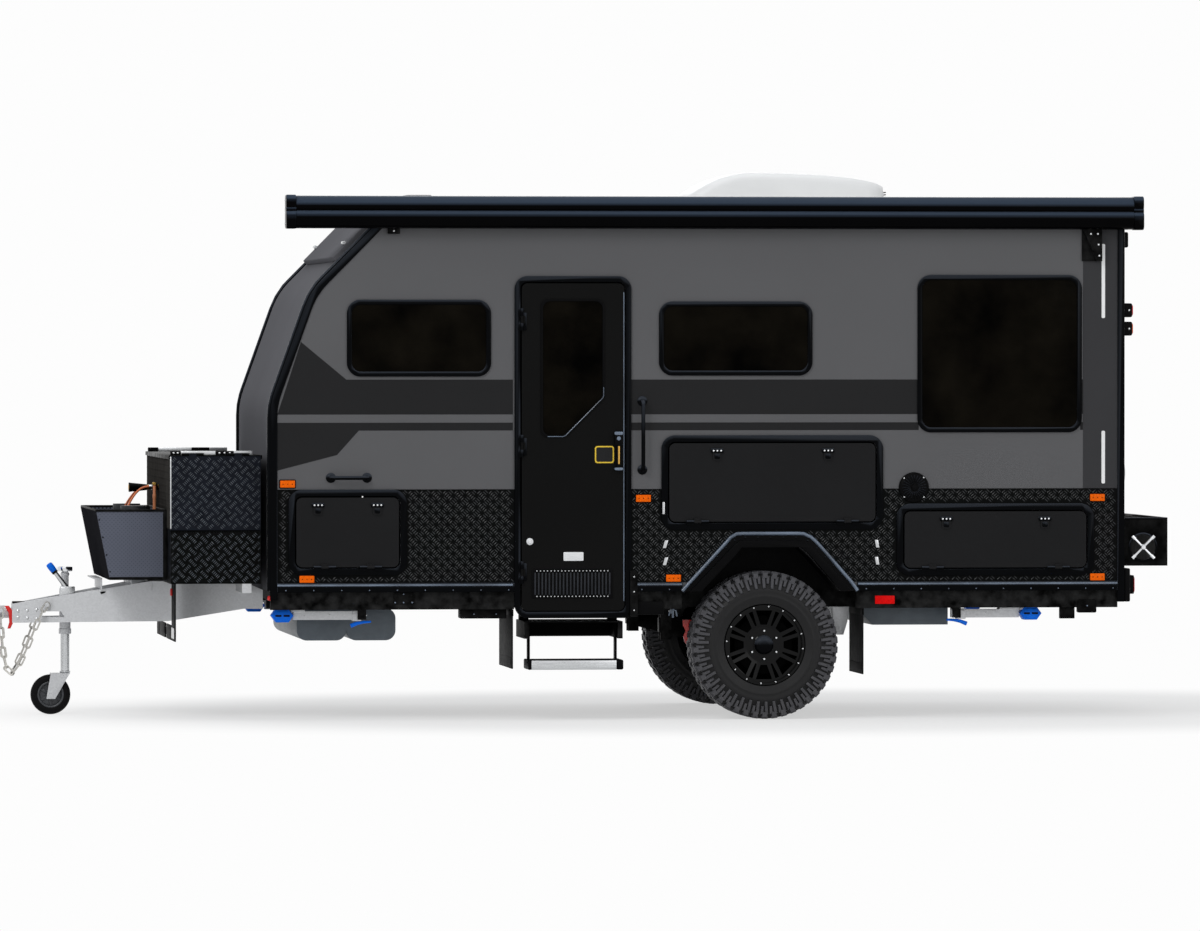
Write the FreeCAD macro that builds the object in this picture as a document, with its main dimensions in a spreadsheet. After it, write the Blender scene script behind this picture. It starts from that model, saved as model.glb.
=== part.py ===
import FreeCAD, Part
import math
import os
import Sketcher
from FreeCAD import Vector

# Off-road travel trailer, millimetres. X runs to the rear, -Y is the side with the entry door,
# Z is up. The origin is on the ground at mid-length.

SIZES = (
    # Body
    ("nose_x", -1704, "front face of the body"),
    ("knee_z", 1700, "height where the front face starts to lean back"),
    ("bend_x", -1486, "upper bend of the nose, along X"),
    ("bend_z", 2307, "upper bend of the nose, height"),
    ("brow_x", -1010, "where the nose meets the roof"),
    ("roof_z", 2790, "top of the roof"),
    ("rear_x", 2935, "rear face of the body"),
    ("wall_foot_z", 697, "lower edge of the walls"),
    ("half_width", 1100, "outer face of a side wall from the middle"),
    ("panel_t", 33, "thickness of walls and roof"),
    ("floor_t", 43, "thickness of the floor"),
    ("knee_r", 420, "radius of the lower nose bend"),
    ("bend_r", 420, "radius of the upper nose bend"),
    ("brow_r", 180, "radius where nose and roof meet"),
    ("stern_r", 45, "radius where roof and rear wall meet"),
    ("trim_w", 40, "width of the corner mouldings"),
    ("trim_t", 8, "thickness of the corner mouldings"),
    ("trim_foot_z", 650, "lower end of the front corner mouldings"),
    ("stern_trim_foot_z", 627, "lower end of the rear corner mouldings"),
    ("sill_z", 740, "top of the sill rail"),
    ("sill_foot_z", 691, "bottom of the sill rail"),
    ("sill_t", 15, "how far the sill rail stands out"),
    ("skirt_z", 1242, "top of the tread-plate skirt"),
    ("skirt_t", 3, "thickness of the tread plate"),
    ("frame_t", 12, "how far the frames stand out of the wall"),
    ("move_gap", 8, "gap round a door or hatch leaf"),
    ("overrun", 20, "how far cutters run past a face"),
    ("seat_gap", 0.3, "gap between pieces that sit on each other"),
    ("hinge_r", 8, "radius of a hinge barrel"),
    ("hinge_pin_r", 4, "radius of a hinge pin"),
    ("hinge_l", 120, "length of a hinge"),
    ("hinge_out", 10, "hinge axis in front of the frames"),
    ("hinge_leaf", 18, "width of a hinge leaf"),
    ("hinge_gap", 1, "gap between the knuckles of a hinge"),
    # Windows
    ("window_r", 74, "corner radius of the window frames"),
    ("window_w", 27, "width of the window frames"),
    ("pane_t", 6, "thickness of the glazing"),
    ("front_window_x0", -1291, "front window, front edge"),
    ("front_window_x1", -514, "front window, rear edge"),
    ("front_window_z0", 1847, "front window, lower edge"),
    ("front_window_z1", 2260, "front window, upper edge"),
    ("mid_window_x0", 394, "middle window, front edge"),
    ("mid_window_x1", 1228, "middle window, rear edge"),
    ("mid_window_z0", 1852, "middle window, lower edge"),
    ("mid_window_z1", 2252, "middle window, upper edge"),
    ("rear_window_x0", 1800, "rear window, front edge"),
    ("rear_window_x1", 2700, "rear window, rear edge"),
    ("rear_window_z0", 1545, "rear window, lower edge"),
    ("rear_window_z1", 2396, "rear window, upper edge"),
    # Entry door
    ("door_x0", -388, "door frame, front edge"),
    ("door_x1", 244, "door frame, rear edge"),
    ("door_z0", 551, "door frame, lower edge"),
    ("door_z1", 2387, "door frame, upper edge"),
    ("door_r", 70, "outer corner radius of the door frame"),
    ("door_frame_w", 31, "width of the door frame"),
    ("door_t", 30, "thickness of the door leaf"),
    ("door_glass_x0", -235, "door window, front edge"),
    ("door_glass_x1", 87, "door window, rear edge"),
    ("door_glass_z0", 1531, "door window, lower edge"),
    ("door_glass_z1", 2252, "door window, upper edge"),
    ("door_glass_cut_x", -124, "door window, end of the slanted corner"),
    ("door_glass_cut_z", 1742, "door window, start of the slanted corner"),
    ("door_glass_r", 40, "corner radius of the door window"),
    ("door_glass_w", 12, "width of the bead round the door window"),
    ("louvre_x0", -294, "door vent, front edge"),
    ("louvre_x1", 141, "door vent, rear edge"),
    ("louvre_z0", 657, "door vent, lower edge"),
    ("louvre_z1", 812, "door vent, upper edge"),
    ("louvre_t", 6, "how far the door vent stands out"),
    ("louvre_slot_w", 9, "width of a slot in the door vent"),
    ("louvre_rim", 16, "edge of the door vent round its slots"),
    ("handle_x0", 151, "door handle, front edge"),
    ("handle_x1", 194, "door handle, rear edge"),
    ("handle_z0", 1345, "door handle, lower edge"),
    ("handle_z1", 1550, "door handle, upper edge"),
    ("handle_t", 28, "how far the door handle stands out"),
    ("handle_plate_t", 6, "thickness of the handle's plate"),
    ("handle_foot_h", 30, "height of the lower foot of the door handle"),
    ("handle_lock_h", 70, "height of the lock case above the grip"),
    ("handle_r", 10, "corner radius of the door handle"),
    # Hatches
    ("hatch_r", 75, "outer corner radius of the hatch frames"),
    ("hatch_frame_w", 35, "width of the hatch frames"),
    ("hatch_t", 27, "thickness of the hatch leaves"),
    ("hatch_latch_w", 46, "width of a hatch latch"),
    ("hatch_latch_h", 62, "height of a hatch latch"),
    ("hatch_latch_r", 12, "corner radius of a hatch latch"),
    ("hatch_latch_t", 7, "how far a hatch latch stands out"),
    ("boot_x0", -1606, "through-boot hatch, front edge"),
    ("boot_x1", -969, "through-boot hatch, rear edge"),
    ("boot_z0", 783, "through-boot hatch, lower edge"),
    ("boot_z1", 1242, "through-boot hatch, upper edge"),
    ("table_x0", 407, "table hatch, front edge"),
    ("table_x1", 1613, "table hatch, rear edge"),
    ("table_z0", 1023, "table hatch, lower edge"),
    ("table_z1", 1531, "table hatch, upper edge"),
    ("locker_x0", 1687, "rear locker hatch, front edge"),
    ("locker_x1", 2766, "rear locker hatch, rear edge"),
    ("locker_z0", 772, "rear locker hatch, lower edge"),
    ("locker_z1", 1161, "rear locker hatch, upper edge"),
    # Wheels and arches
    ("axle_x", 969, "axle, along X"),
    ("wheel_r", 400, "tyre radius to the tips of its lugs"),
    ("tyre_w", 265, "width of a tyre"),
    ("tyre_out", 25, "how far a tyre stands out past the wall"),
    ("rim_r", 216, "radius of the rim flange"),
    ("rim_barrel_t", 11, "thickness of the rim barrel"),
    ("rim_w", 228, "width of the rim"),
    ("rim_disc_t", 26, "thickness of the wheel disc"),
    ("rim_disc_inset", 34, "wheel disc behind the rim flange"),
    ("hub_r", 57, "radius of the hub cap"),
    ("hub_flange_r", 96, "radius of the wheel's centre"),
    ("rim_edge_w", 14, "wheel disc outside the spoke windows"),
    ("rim_dish", 16, "how far the wheel's centre lies behind its edge"),
    ("bolt_circle_r", 76, "radius of the circle of wheel studs"),
    ("stud_r", 9, "radius of a wheel stud"),
    ("stud_h", 14, "height of a wheel stud"),
    ("lug_h", 13, "depth of the tyre's tread"),
    ("hub_cap_h", 22, "height of the hub cap"),
    ("spindle_gap", 1, "end clearance of a spindle in its hub"),
    ("spindle_r", 30, "radius of the wheel bearing bore"),
    ("bearing_gap", 0.05, "running clearance of the wheel on its spindle"),
    ("drum_r", 150, "radius of the brake drum"),
    ("drum_w", 70, "width of the brake drum"),
    ("arch_x0", 521, "wheel-arch flare, front foot"),
    ("arch_x1", 764, "wheel-arch flare, front shoulder start"),
    ("arch_x2", 816, "wheel-arch flare, front shoulder end"),
    ("arch_x3", 1178, "wheel-arch flare, rear shoulder start"),
    ("arch_x4", 1245, "wheel-arch flare, rear shoulder end"),
    ("arch_x5", 1471, "wheel-arch flare, rear foot"),
    ("arch_shoulder_z", 958, "wheel-arch flare, shoulder height"),
    ("arch_z", 999, "wheel-arch flare, top"),
    ("arch_w", 78, "width of the wheel-arch flare"),
    ("arch_lip", 72, "width of the top band of the flare"),
    ("arch_t", 62, "how far the flare stands out"),
    ("flange_t", 16, "thickness of the flare's flange on the wall"),
    ("flange_w", 34, "width of the flare's flange"),
    ("tub_t", 12, "wall of the wheel box"),
    ("tub_depth", 285, "depth of the wheel box from the wall's face"),
    # Chassis
    ("rail_gap", 60, "room between a main rail and a tyre"),
    ("rail_w", 50, "width of a main rail"),
    ("rail_h", 100, "height of a main rail"),
    ("cross_w", 50, "width of a cross-member"),
    ("cross_h", 50, "height of a cross-member"),
    ("edge_w", 40, "width of the outer edge rail"),
    ("edge_inset", 15, "outer face of the edge rail behind the wall"),
    ("rail_front_x", -1700, "front end of the main rails"),
    ("rail_rear_in", 35, "main rails, back from the body's rear"),
    ("drawbar_w", 50, "width of a drawbar rail"),
    ("drawbar_nose_x", -3031, "front end of the drawbar rails"),
    ("drawbar_nose_y", 55, "outer face of a drawbar rail at the coupling"),
    ("drawbar_nose_top_z", 606, "top of the drawbar at the coupling"),
    ("drawbar_nose_foot_z", 502, "bottom of the drawbar at the coupling"),
    ("drawbar_crown_x", -2290, "where the drawbar reaches its full height"),
    ("drawbar_top_z", 735, "top of the drawbar"),
    ("drawbar_belly_x", -2200, "rear end of the deep front part"),
    ("drawbar_belly_z", 518, "bottom of the deep front part"),
    ("drawbar_tail_x", -1800, "where the lower wedge ends"),
    ("slot_x0", -2869, "slot in a drawbar rail, front end"),
    ("slot_x1", -2750, "slot in a drawbar rail, rear end"),
    ("slot_z0", 535, "slot in a drawbar rail, lower edge"),
    ("slot_z1", 566, "slot in a drawbar rail, upper edge"),
    ("drawbar_foot_z", 588, "bottom of the drawbar rails at the body"),
    ("drawbar_rear_y", 560, "outer face of a drawbar rail at its rear end"),
    ("coupling_x", -3184, "front tip of the coupling"),
    ("coupling_h", 48, "height of the coupling tube"),
    ("coupling_w", 76, "width of the coupling tube"),
    ("coupling_z", 531, "bottom of the coupling tube"),
    ("neck_x", -3070, "rear end of the coupling's head"),
    ("neck_r", 28, "radius of the coupling's tube"),
    ("latch_l", 70, "length of the coupling's latch"),
    ("latch_h", 16, "height of the coupling's latch"),
    ("ball_r", 25, "radius of the ball socket"),
    ("ball_depth", 36, "depth of the ball socket"),
    ("ball_x", -3135, "ball socket, along X"),
    # Jockey wheel
    ("jockey_x", -2740, "jockey stem, along X"),
    ("jockey_stem_r", 24, "radius of the inner jockey tube"),
    ("jockey_sleeve_r", 30, "radius of the outer jockey tube"),
    ("jockey_head_z", 780, "top of the outer jockey tube"),
    ("jockey_neck_r", 20, "radius of the jockey stand's upper tube"),
    ("jockey_neck_z", 690, "lower end of the upper tube"),
    ("jockey_knob_r", 40, "radius of the jockey stand's hand wheel"),
    ("jockey_knob_h", 26, "height of the hand wheel"),
    ("jockey_sleeve_foot_z", 440, "lower end of the outer jockey tube"),
    ("jockey_flange_r", 58, "radius of the flange that the jockey stand hangs by"),
    ("jockey_clamp_t", 14, "wall of the jockey clamp"),
    ("jockey_trail", 80, "how far the jockey wheel trails its stem"),
    ("jockey_wheel_r", 109, "radius of the jockey wheel"),
    ("jockey_wheel_w", 62, "width of the jockey wheel"),
    ("jockey_fork_t", 6, "thickness of the jockey fork plates"),
    ("jockey_fork_gap", 8, "gap between the jockey wheel and its fork"),
    ("jockey_pin_r", 8, "radius of the jockey wheel's axle"),
    ("jockey_slide_gap", 0.5, "running clearance of the jockey tubes"),
    # Front box and basket
    ("box_x0", -2227, "front box, front face"),
    ("box_x1", -1742, "front box, rear face"),
    ("box_z1", 1420, "front box, upper face"),
    ("box_split_z", 1023, "lower edge of the front box doors"),
    ("box_y", 960, "outer face of the front box from the middle"),
    ("box_t", 4, "sheet of the front box"),
    ("box_door_t", 18, "thickness of the front box doors"),
    ("basket_x0", -2611, "basket, front at the top"),
    ("basket_foot_x0", -2537, "basket, front at the bottom"),
    ("basket_z0", 751, "basket, lower face"),
    ("basket_z1", 1130, "basket, upper edge"),
    ("basket_y", 680, "outer face of the basket from the middle"),
    ("basket_t", 4, "sheet of the basket"),
    ("bottle_r", 145, "radius of a gas bottle"),
    ("bottle_h", 300, "height of a gas bottle's body"),
    ("bottle_dome_h", 60, "height of a gas bottle's shoulder"),
    ("bottle_x", -2382, "gas bottles, along X"),
    ("bottle_y", 330, "gas bottles from the middle"),
    ("bottle_collar_r", 75, "radius of a gas bottle's collar"),
    ("bottle_collar_h", 90, "height of a gas bottle's collar"),
    # Awning and roof
    ("hose_r", 6, "radius of a gas hose"),
    ("gas_z", 1240, "middle of the gas regulator, height"),
    ("gas_cone_l", 164, "regulator, out from the box"),
    ("gas_cone_r", 26, "regulator, large end"),
    ("gas_cone_tip_r", 16, "regulator, small end"),
    ("gas_cone_shoulder", 64, "regulator, neck length"),
    ("gas_neck_r", 10, "regulator, radius of the neck"),
    ("gas_fitting_l", 38, "gas fitting, out from the box"),
    ("gas_fitting_w", 120, "gas fitting, across the trailer"),
    ("gas_fitting_h", 28, "gas fitting, height"),
    ("gas_fitting_in", 8, "gas fitting, off the box"),
    ("riser_r", 8, "radius of the gas riser"),
    ("riser_over", 8, "gas riser, above the fitting"),
    ("valve_r", 10, "radius of a bottle's valve"),
    ("valve_l", 20, "length of a bottle's valve"),
    ("valve_z", 1070, "bottle valves, height"),
    ("awning_x0", -1624, "awning, front end"),
    ("awning_over", 87, "how far the awning runs past the body"),
    ("awning_z0", 2641, "awning, lower edge"),
    ("awning_z1", 2816, "awning, upper edge"),
    ("awning_y", 112, "how far the awning stands out"),
    ("awning_cap", 55, "length of an awning end cap"),
    ("awning_cap_out", 4, "how far an end cap stands out of the case"),
    ("awning_r", 34, "edge radius of the awning"),
    ("groove_z", 2738, "lower edge of the awning's groove"),
    ("groove_h", 21, "height of the awning's groove"),
    ("groove_t", 5, "depth of the awning's groove"),
    ("awning_arm_in", 180, "rear awning bracket, ahead of the body's rear"),
    ("awning_arm_w", 100, "width of an awning bracket"),
    ("awning_arm_z", 2471, "lower end of the rear awning bracket"),
    ("cooler_x0", 648, "roof air conditioner, front end"),
    ("cooler_x1", 1761, "roof air conditioner, rear end"),
    ("cooler_z", 2966, "roof air conditioner, top"),
    ("cooler_y", 360, "half width of the roof air conditioner"),
    ("cooler_nose_h", 60, "height of the air conditioner's nose"),
    ("cooler_crest_x", 980, "highest point of the air conditioner"),
    ("cooler_tail_h", 95, "height of the air conditioner's tail"),
    ("cooler_r", 60, "edge radius of the air conditioner"),
    ("fairing_y", 960, "half width of the nose fairing"),
    ("fairing_t", 34, "thickness of the nose fairing"),
    ("fairing_x0", -1330, "lower end of the nose fairing"),
    ("fairing_x1", -820, "rear end of the nose fairing"),
    ("skylight_x", -250, "roof hatch, along X"),
    ("skylight_size", 560, "side of a roof hatch"),
    ("skylight_h", 62, "height of a roof hatch"),
    # Below the floor
    ("tank_x0", -1535, "front water tank, front"),
    ("tank_x1", -1000, "front water tank, rear"),
    ("tank_z0", 423, "front water tank, lower face"),
    ("tank_inset", 10, "sides of tank and guard behind the rails' faces"),
    ("tank_r", 110, "edge radius of the water tanks"),
    ("guard_x0", 1512, "rear tank guard, front"),
    ("guard_x1", 2017, "rear tank guard, rear"),
    ("guard_z", 497, "rear tank guard, lower face"),
    ("guard_slope", 90, "run of the sloped front of the guard"),
    ("arm_pivot_x", 475, "suspension pivot, along X"),
    ("arm_pivot_z", 500, "suspension pivot, height"),
    ("arm_pivot_r", 38, "radius of the suspension pivot eye"),
    ("arm_h", 96, "height of a trailing arm at the axle"),
    ("arm_w", 60, "width of a trailing arm"),
    ("arm_inset", 40, "outer face of a trailing arm behind the rail's"),
    ("hanger_t", 10, "plates of the suspension hanger"),
    ("hanger_w", 60, "width of the suspension hanger"),
    ("hanger_foot_z", 421, "lower end of the suspension hanger"),
    ("spring_r", 60, "radius of a suspension spring"),
    ("spring_x", 1010, "suspension spring, along X"),
    ("flap_t", 8, "thickness of a mud flap"),
    ("flap_front_z0", 416, "front mud flaps, lower edge"),
    ("flap_front_y0", 60, "front mud flaps, inner edge"),
    ("flap_front_y1", 950, "front mud flaps, outer edge"),
    ("flap_step_x", -403, "mud flap ahead of the step, along X"),
    ("flap_step_z0", 275, "mud flap ahead of the step, lower edge"),
    ("flap_step_y", 460, "mud flap ahead of the step, inner edge"),
    ("flap_wheel_x", 1500, "mud flap behind the wheel, along X"),
    ("flap_wheel_z0", 238, "mud flap behind the wheel, lower edge"),
    ("flap_wheel_y", 620, "mud flap behind the wheel, inner edge"),
    ("step_x0", -317, "step tread, front edge"),
    ("step_x1", 191, "step tread, rear edge"),
    ("step_z0", 275, "step tread, lower face"),
    ("step_z1", 324, "step tread, upper face"),
    ("step_out", 70, "how far the step tread stands out past the wall"),
    ("step_depth", 230, "depth of the step tread"),
    ("step_arm_t", 12, "thickness of the step arms"),
    ("step_arm_w", 60, "width of the step arms"),
    ("step_house_x0", -329, "step housing, front edge"),
    ("step_house_x1", 203, "step housing, rear edge"),
    ("step_house_z0", 437, "step housing, lower edge"),
    ("step_house_z1", 530, "step housing, upper edge"),
    ("step_house_l", 420, "step housing, across the body"),
    ("step_house_in", 40, "outer end of the step housing behind the wall"),
    ("step_house_t", 6, "sheet of the step housing"),
    # Stabilisers
    ("leg_front_x0", -1691, "front stabiliser, foot end"),
    ("leg_front_x1", -1202, "front stabiliser, pivot"),
    ("leg_rear_x0", 2030, "rear stabiliser, pivot"),
    ("leg_rear_x1", 2495, "rear stabiliser, foot end"),
    ("leg_z", 541, "lower face of a stowed stabiliser"),
    ("leg_h", 46, "height of a stabiliser channel"),
    ("leg_w", 56, "width of a stabiliser channel"),
    ("leg_inset", 85, "outer face of a stabiliser behind the edge rail's"),
    ("leg_foot_l", 120, "length of a stabiliser foot"),
    ("leg_foot_h", 71, "height of a stabiliser foot"),
    ("leg_foot_w", 110, "width of a stabiliser foot"),
    ("leg_pin_r", 10, "radius of a stabiliser pivot"),
    ("leg_ear_t", 6, "plates of a stabiliser bracket"),
    ("leg_gap", 6, "gap beside and above a stabiliser"),
    # Rear
    ("bumper_z0", 627, "rear bumper, lower edge"),
    ("bumper_z1", 808, "rear bumper, upper edge"),
    ("bumper_t", 33, "depth of the rear bumper"),
    ("carrier_l", 241, "depth of the rear carrier"),
    ("carrier_z0", 821, "rear carrier, lower edge"),
    ("carrier_z1", 1082, "rear carrier, upper edge"),
    ("carrier_y", 640, "half width of the rear carrier"),
    ("carrier_t", 5, "plate of the rear carrier"),
    ("pod_z", 1323, "middle of the domed rear cover, height"),
    ("pod_r", 143, "radius of the domed rear cover"),
    ("pod_t", 36, "depth of the domed rear cover"),
    ("carrier_hole_r", 70, "radius of the holes in the carrier's ends"),
    ("carrier_hole_in", 106, "holes in the carrier's ends behind the body"),
    ("carrier_hole_z", 922, "holes in the carrier's ends, height"),
    ("rear_lamp_y", 900, "rear lamps from the middle"),
    ("rear_lamp_w", 120, "width of a rear lamp"),
    ("rear_lamp_t", 36, "depth of a rear lamp"),
    ("rear_block_z0", 2068, "rear lamp blocks, lower edge"),
    ("rear_block_h", 76, "height of a rear lamp block"),
    ("rear_block_step", 100, "spacing of the rear lamp blocks"),
    ("rear_block_t", 59, "depth of a rear lamp block"),
    # Small fittings
    ("lamp_w", 80, "length of a marker lamp"),
    ("lamp_h", 38, "height of a marker lamp"),
    ("lamp_t", 14, "depth of a marker lamp"),
    ("lamp_front_x", -1610, "front marker lamps, along X"),
    ("lamp_front_z", 1272, "upper front marker lamp, height"),
    ("lamp_low_x", -1507, "lower front marker lamp, along X"),
    ("lamp_low_z", 762, "lower marker lamps, height"),
    ("lamp_mid_x", 309, "upper middle marker lamp, along X"),
    ("lamp_mid_low_x", 472, "lower middle marker lamp, along X"),
    ("lamp_mid_z", 1192, "upper middle marker lamp, height"),
    ("lamp_rear_x", 2785, "rear marker lamps, along X"),
    ("grab_r", 11, "radius of a grab handle"),
    ("grab_out", 48, "how far a grab handle stands out"),
    ("grab_x0", -1377, "front grab handle, front post"),
    ("grab_x1", -1183, "front grab handle, rear post"),
    ("grab_z", 1305, "front grab handle, height"),
    ("grab_door_x", 304, "door grab handle, along X"),
    ("grab_door_z0", 1335, "door grab handle, lower post"),
    ("grab_door_z1", 1726, "door grab handle, upper post"),
    ("vent_x", 1781, "round flue cover, along X"),
    ("vent_z", 1248, "round flue cover, height"),
    ("vent_r", 82, "radius of the round flue cover"),
    ("vent_t", 22, "depth of the round flue cover"),
    ("lever_x", -2724, "handbrake pivot, along X"),
    ("lever_y", -72, "handbrake lever, across"),
    ("lever_z", 680, "handbrake pivot, height"),
    ("lever_grip_x", -2831, "handbrake grip end, along X"),
    ("lever_grip_z", 821, "handbrake grip end, height"),
    ("lever_r", 11, "radius of the handbrake lever"),
    ("grip_r", 17, "radius of the handbrake grip"),
    ("chain_bar", 9, "thickness of a chain link's bar"),
    ("link_w", 15, "inner width of a chain link"),
    ("link_l", 48, "inner length of a chain link"),
    ("chain_pin_r", 6, "radius of the pins that hold the chains"),
    ("chain_pin_head_r", 12, "radius of the heads of those pins"),
    ("chain_pin_head_t", 5, "thickness of the heads of those pins"),
    ("chain_x0", -2856, "safety chain, rear end along X"),
    ("chain_z0", 590, "safety chain, rear end height"),
    ("chain_low_x", -3011, "safety chain, lowest point along X"),
    ("chain_low_z", 255, "safety chain, lowest point height"),
    ("chain_x1", -3094, "safety chain, front end along X"),
    ("chain_z1", 555, "safety chain, front end height"),
    ("head_rear_x", -2640, "rear edge of the plate between the drawbar rails"),
    ("head_t", 40, "thickness of the plate between the drawbar rails"),
)


class Size:
    """A length with its present value and the sheet expression that it is bound to."""

    def __init__(self, value, text):
        self.value = value
        self.text = text

    def __float__(self):
        return float(self.value)

    def __neg__(self):
        return Size(-self.value, "(-1 * " + self.text + ")")

    def __add__(self, other):
        return Size(self.value + float(other), "(" + self.text + " + " + words(other) + ")")

    def __radd__(self, other):
        return self + other

    def __sub__(self, other):
        return Size(self.value - float(other), "(" + self.text + " - " + words(other) + ")")

    def __rsub__(self, other):
        return -self + other

    def __mul__(self, other):
        return Size(self.value * float(other), "(" + self.text + " * " + words(other) + ")")

    def __rmul__(self, other):
        return self * other

    def __truediv__(self, other):
        return Size(self.value / float(other), "(" + self.text + " / " + words(other) + ")")


def words(size):
    """The text of a size, or of a plain number, in an expression."""
    return size.text if isinstance(size, Size) else repr(size)


class Sizes:
    """The rows of the sheet as attributes."""


doc = FreeCAD.newDocument("offroad_travel_trailer")
sheet = doc.addObject("Spreadsheet::Sheet", "sizes")
s = Sizes()
for row, (alias, value, meaning) in enumerate(SIZES, start=1):
    sheet.set("A%d" % row, meaning)
    sheet.set("B%d" % row, str(value))
    sheet.setAlias("B%d" % row, alias)
    setattr(s, alias, Size(value, "sizes." + alias))
doc.recompute()

# Places that follow the walls and the rear face
tyre_y = s.half_width + s.tyre_out
rail_y = tyre_y - s.tyre_w - s.rail_gap
arm_y = rail_y - s.arm_inset
edge_y = s.half_width - s.edge_inset
leg_y = edge_y - s.leg_inset
tank_y = rail_y - s.tank_inset
step_y = s.half_width + s.step_out
house_y = s.half_width - s.step_house_in
step_house_y0 = house_y - s.step_house_l
carrier_x = s.rear_x + s.carrier_l
rail_rear_x = s.rear_x - s.rail_rear_in
awning_arm_x = s.rear_x - s.awning_arm_in
awning_x1 = s.rear_x + s.awning_over

NODES = []
ROLES = {"xy": "XY_Plane", "xz": "XZ_Plane", "yz": "YZ_Plane"}
NORMALS = {"xy": Vector(0, 0, 1), "xz": Vector(0, -1, 0), "yz": Vector(1, 0, 0)}


def bind(thing, name, size):
    """Tie one property to the sheet."""
    if isinstance(size, Size):
        thing.setExpression(name, size.text)


def place(thing, x, y, z):
    """Put a thing at a point worked out from the sheet."""
    turn = thing.Placement.Rotation
    thing.Placement = FreeCAD.Placement(Vector(float(x), float(y), float(z)), turn)
    bind(thing, "Placement.Base.x", x)
    bind(thing, "Placement.Base.y", y)
    bind(thing, "Placement.Base.z", z)


def block(name, x, y, z):
    """A box between two corners."""
    thing = doc.addObject("Part::Box", name)
    bind(thing, "Length", x[1] - x[0])
    bind(thing, "Width", y[1] - y[0])
    bind(thing, "Height", z[1] - z[0])
    place(thing, x[0], y[0], z[0])
    return thing


TURNS = {
    "x": FreeCAD.Rotation(Vector(0, 1, 0), 90),
    "y": FreeCAD.Rotation(Vector(1, 0, 0), -90),
    "z": FreeCAD.Rotation(),
}


def rod(name, axis, radius, length, x, y, z):
    """A cylinder from a point, along an axis of the frame."""
    thing = doc.addObject("Part::Cylinder", name)
    thing.Placement.Rotation = TURNS[axis]
    bind(thing, "Radius", radius)
    bind(thing, "Height", length)
    place(thing, x, y, z)
    return thing


def outline(body, plane, points, level):
    """A closed sketch of straight sides, each corner held by two lengths of the sheet."""
    sketch = body.newObject("Sketcher::SketchObject", body.Name + "_outline")
    origin = [one for one in body.Origin.OriginFeatures if one.Role == ROLES[plane]][0]
    sketch.AttachmentSupport = (origin, [""])
    sketch.MapMode = "FlatFace"
    sketch.AttachmentOffset = FreeCAD.Placement(Vector(0, 0, float(level)), FreeCAD.Rotation())
    bind(sketch, "AttachmentOffset.Base.z", level)
    corners = [Vector(float(a), float(b), 0) for a, b in points]
    count = len(corners)
    sketch.addGeometry([Part.LineSegment(corners[i], corners[(i + 1) % count]) for i in range(count)])
    held = [Sketcher.Constraint("Coincident", i, 2, (i + 1) % count, 1) for i in range(count)]
    first = len(held)
    for i, corner in enumerate(corners):
        held.append(Sketcher.Constraint("DistanceX", -1, 1, i, 1, corner.x))
        held.append(Sketcher.Constraint("DistanceY", -1, 1, i, 1, corner.y))
    sketch.addConstraint(held)
    for i, pair in enumerate(points):
        for side, size in enumerate(pair):
            index = first + 2 * i + side
            sketch.renameConstraint(index, "p%d_%s" % (i, "ab"[side]))
            bind(sketch, "Constraints.p%d_%s" % (i, "ab"[side]), size)
    return sketch


def corner_edges(feature, plane, spot):
    """The edges of a padded outline that stand on one of its corners."""
    found = []
    for i, edge in enumerate(feature.Shape.Edges, start=1):
        if len(edge.Vertexes) != 2:
            continue
        along = edge.Vertexes[1].Point - edge.Vertexes[0].Point
        if along.cross(NORMALS[plane]).Length > 1e-6 * along.Length:
            continue
        at = edge.Vertexes[0].Point
        flat = {"xy": (at.x, at.y), "xz": (at.x, at.z), "yz": (at.y, at.z)}[plane]
        if math.dist(flat, spot) < 1e-6 * feature.Shape.BoundBox.DiagonalLength:
            found.append("Edge%d" % i)
    return found


def prism(name, plane, points, low, high, rounds=None):
    """An outline padded between two levels, with the listed corners rounded."""
    body = doc.addObject("PartDesign::Body", name)
    level = -high if plane == "xz" else low
    sketch = outline(body, plane, points, level)
    pad = body.newObject("PartDesign::Pad", name + "_pad")
    pad.Profile = sketch
    bind(pad, "Length", high - low)
    if rounds:
        doc.recompute()
    groups = {}
    for index, radius in (rounds or {}).items():
        groups.setdefault(words(radius), (radius, []))[1].append(index)
    last = pad
    for radius, indices in groups.values():
        names = []
        for index in indices:
            spot = (float(points[index][0]), float(points[index][1]))
            names += corner_edges(last, plane, spot)
        fillet = body.newObject("PartDesign::Fillet", name + "_fillet")
        fillet.Base = (last, names)
        bind(fillet, "Radius", radius)
        doc.recompute()
        last = fillet
    return body


def rectangle(a, b):
    """The corners of a rectangle."""
    return [(a[0], b[0]), (a[1], b[0]), (a[1], b[1]), (a[0], b[1])]


def rounded_slab(name, plane, a, b, low, high, radius):
    """A slab with four round corners."""
    return prism(name, plane, rectangle(a, b), low, high, {i: radius for i in range(4)})


def turned(name, points, x, y, z):
    """A body of revolution about an axis along Y; the outline gives places along Y and radii."""
    body = doc.addObject("PartDesign::Body", name)
    sketch = outline(body, "yz", points, 0)
    ring = body.newObject("PartDesign::Revolution", name + "_turn")
    ring.Profile = sketch
    ring.ReferenceAxis = (sketch, ["H_Axis"])
    ring.Angle = 360
    place(body, x, y, z)
    return body


def joined(name, things):
    """Several pieces made one."""
    thing = doc.addObject("Part::MultiFuse", name)
    thing.Shapes = list(things)
    return thing


def less(name, base, tools):
    """A piece with others cut out of it."""
    thing = doc.addObject("Part::Cut", name)
    thing.Base = base
    thing.Tool = tools[0] if len(tools) == 1 else joined(name + "_cuts", tools)
    return thing


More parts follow.
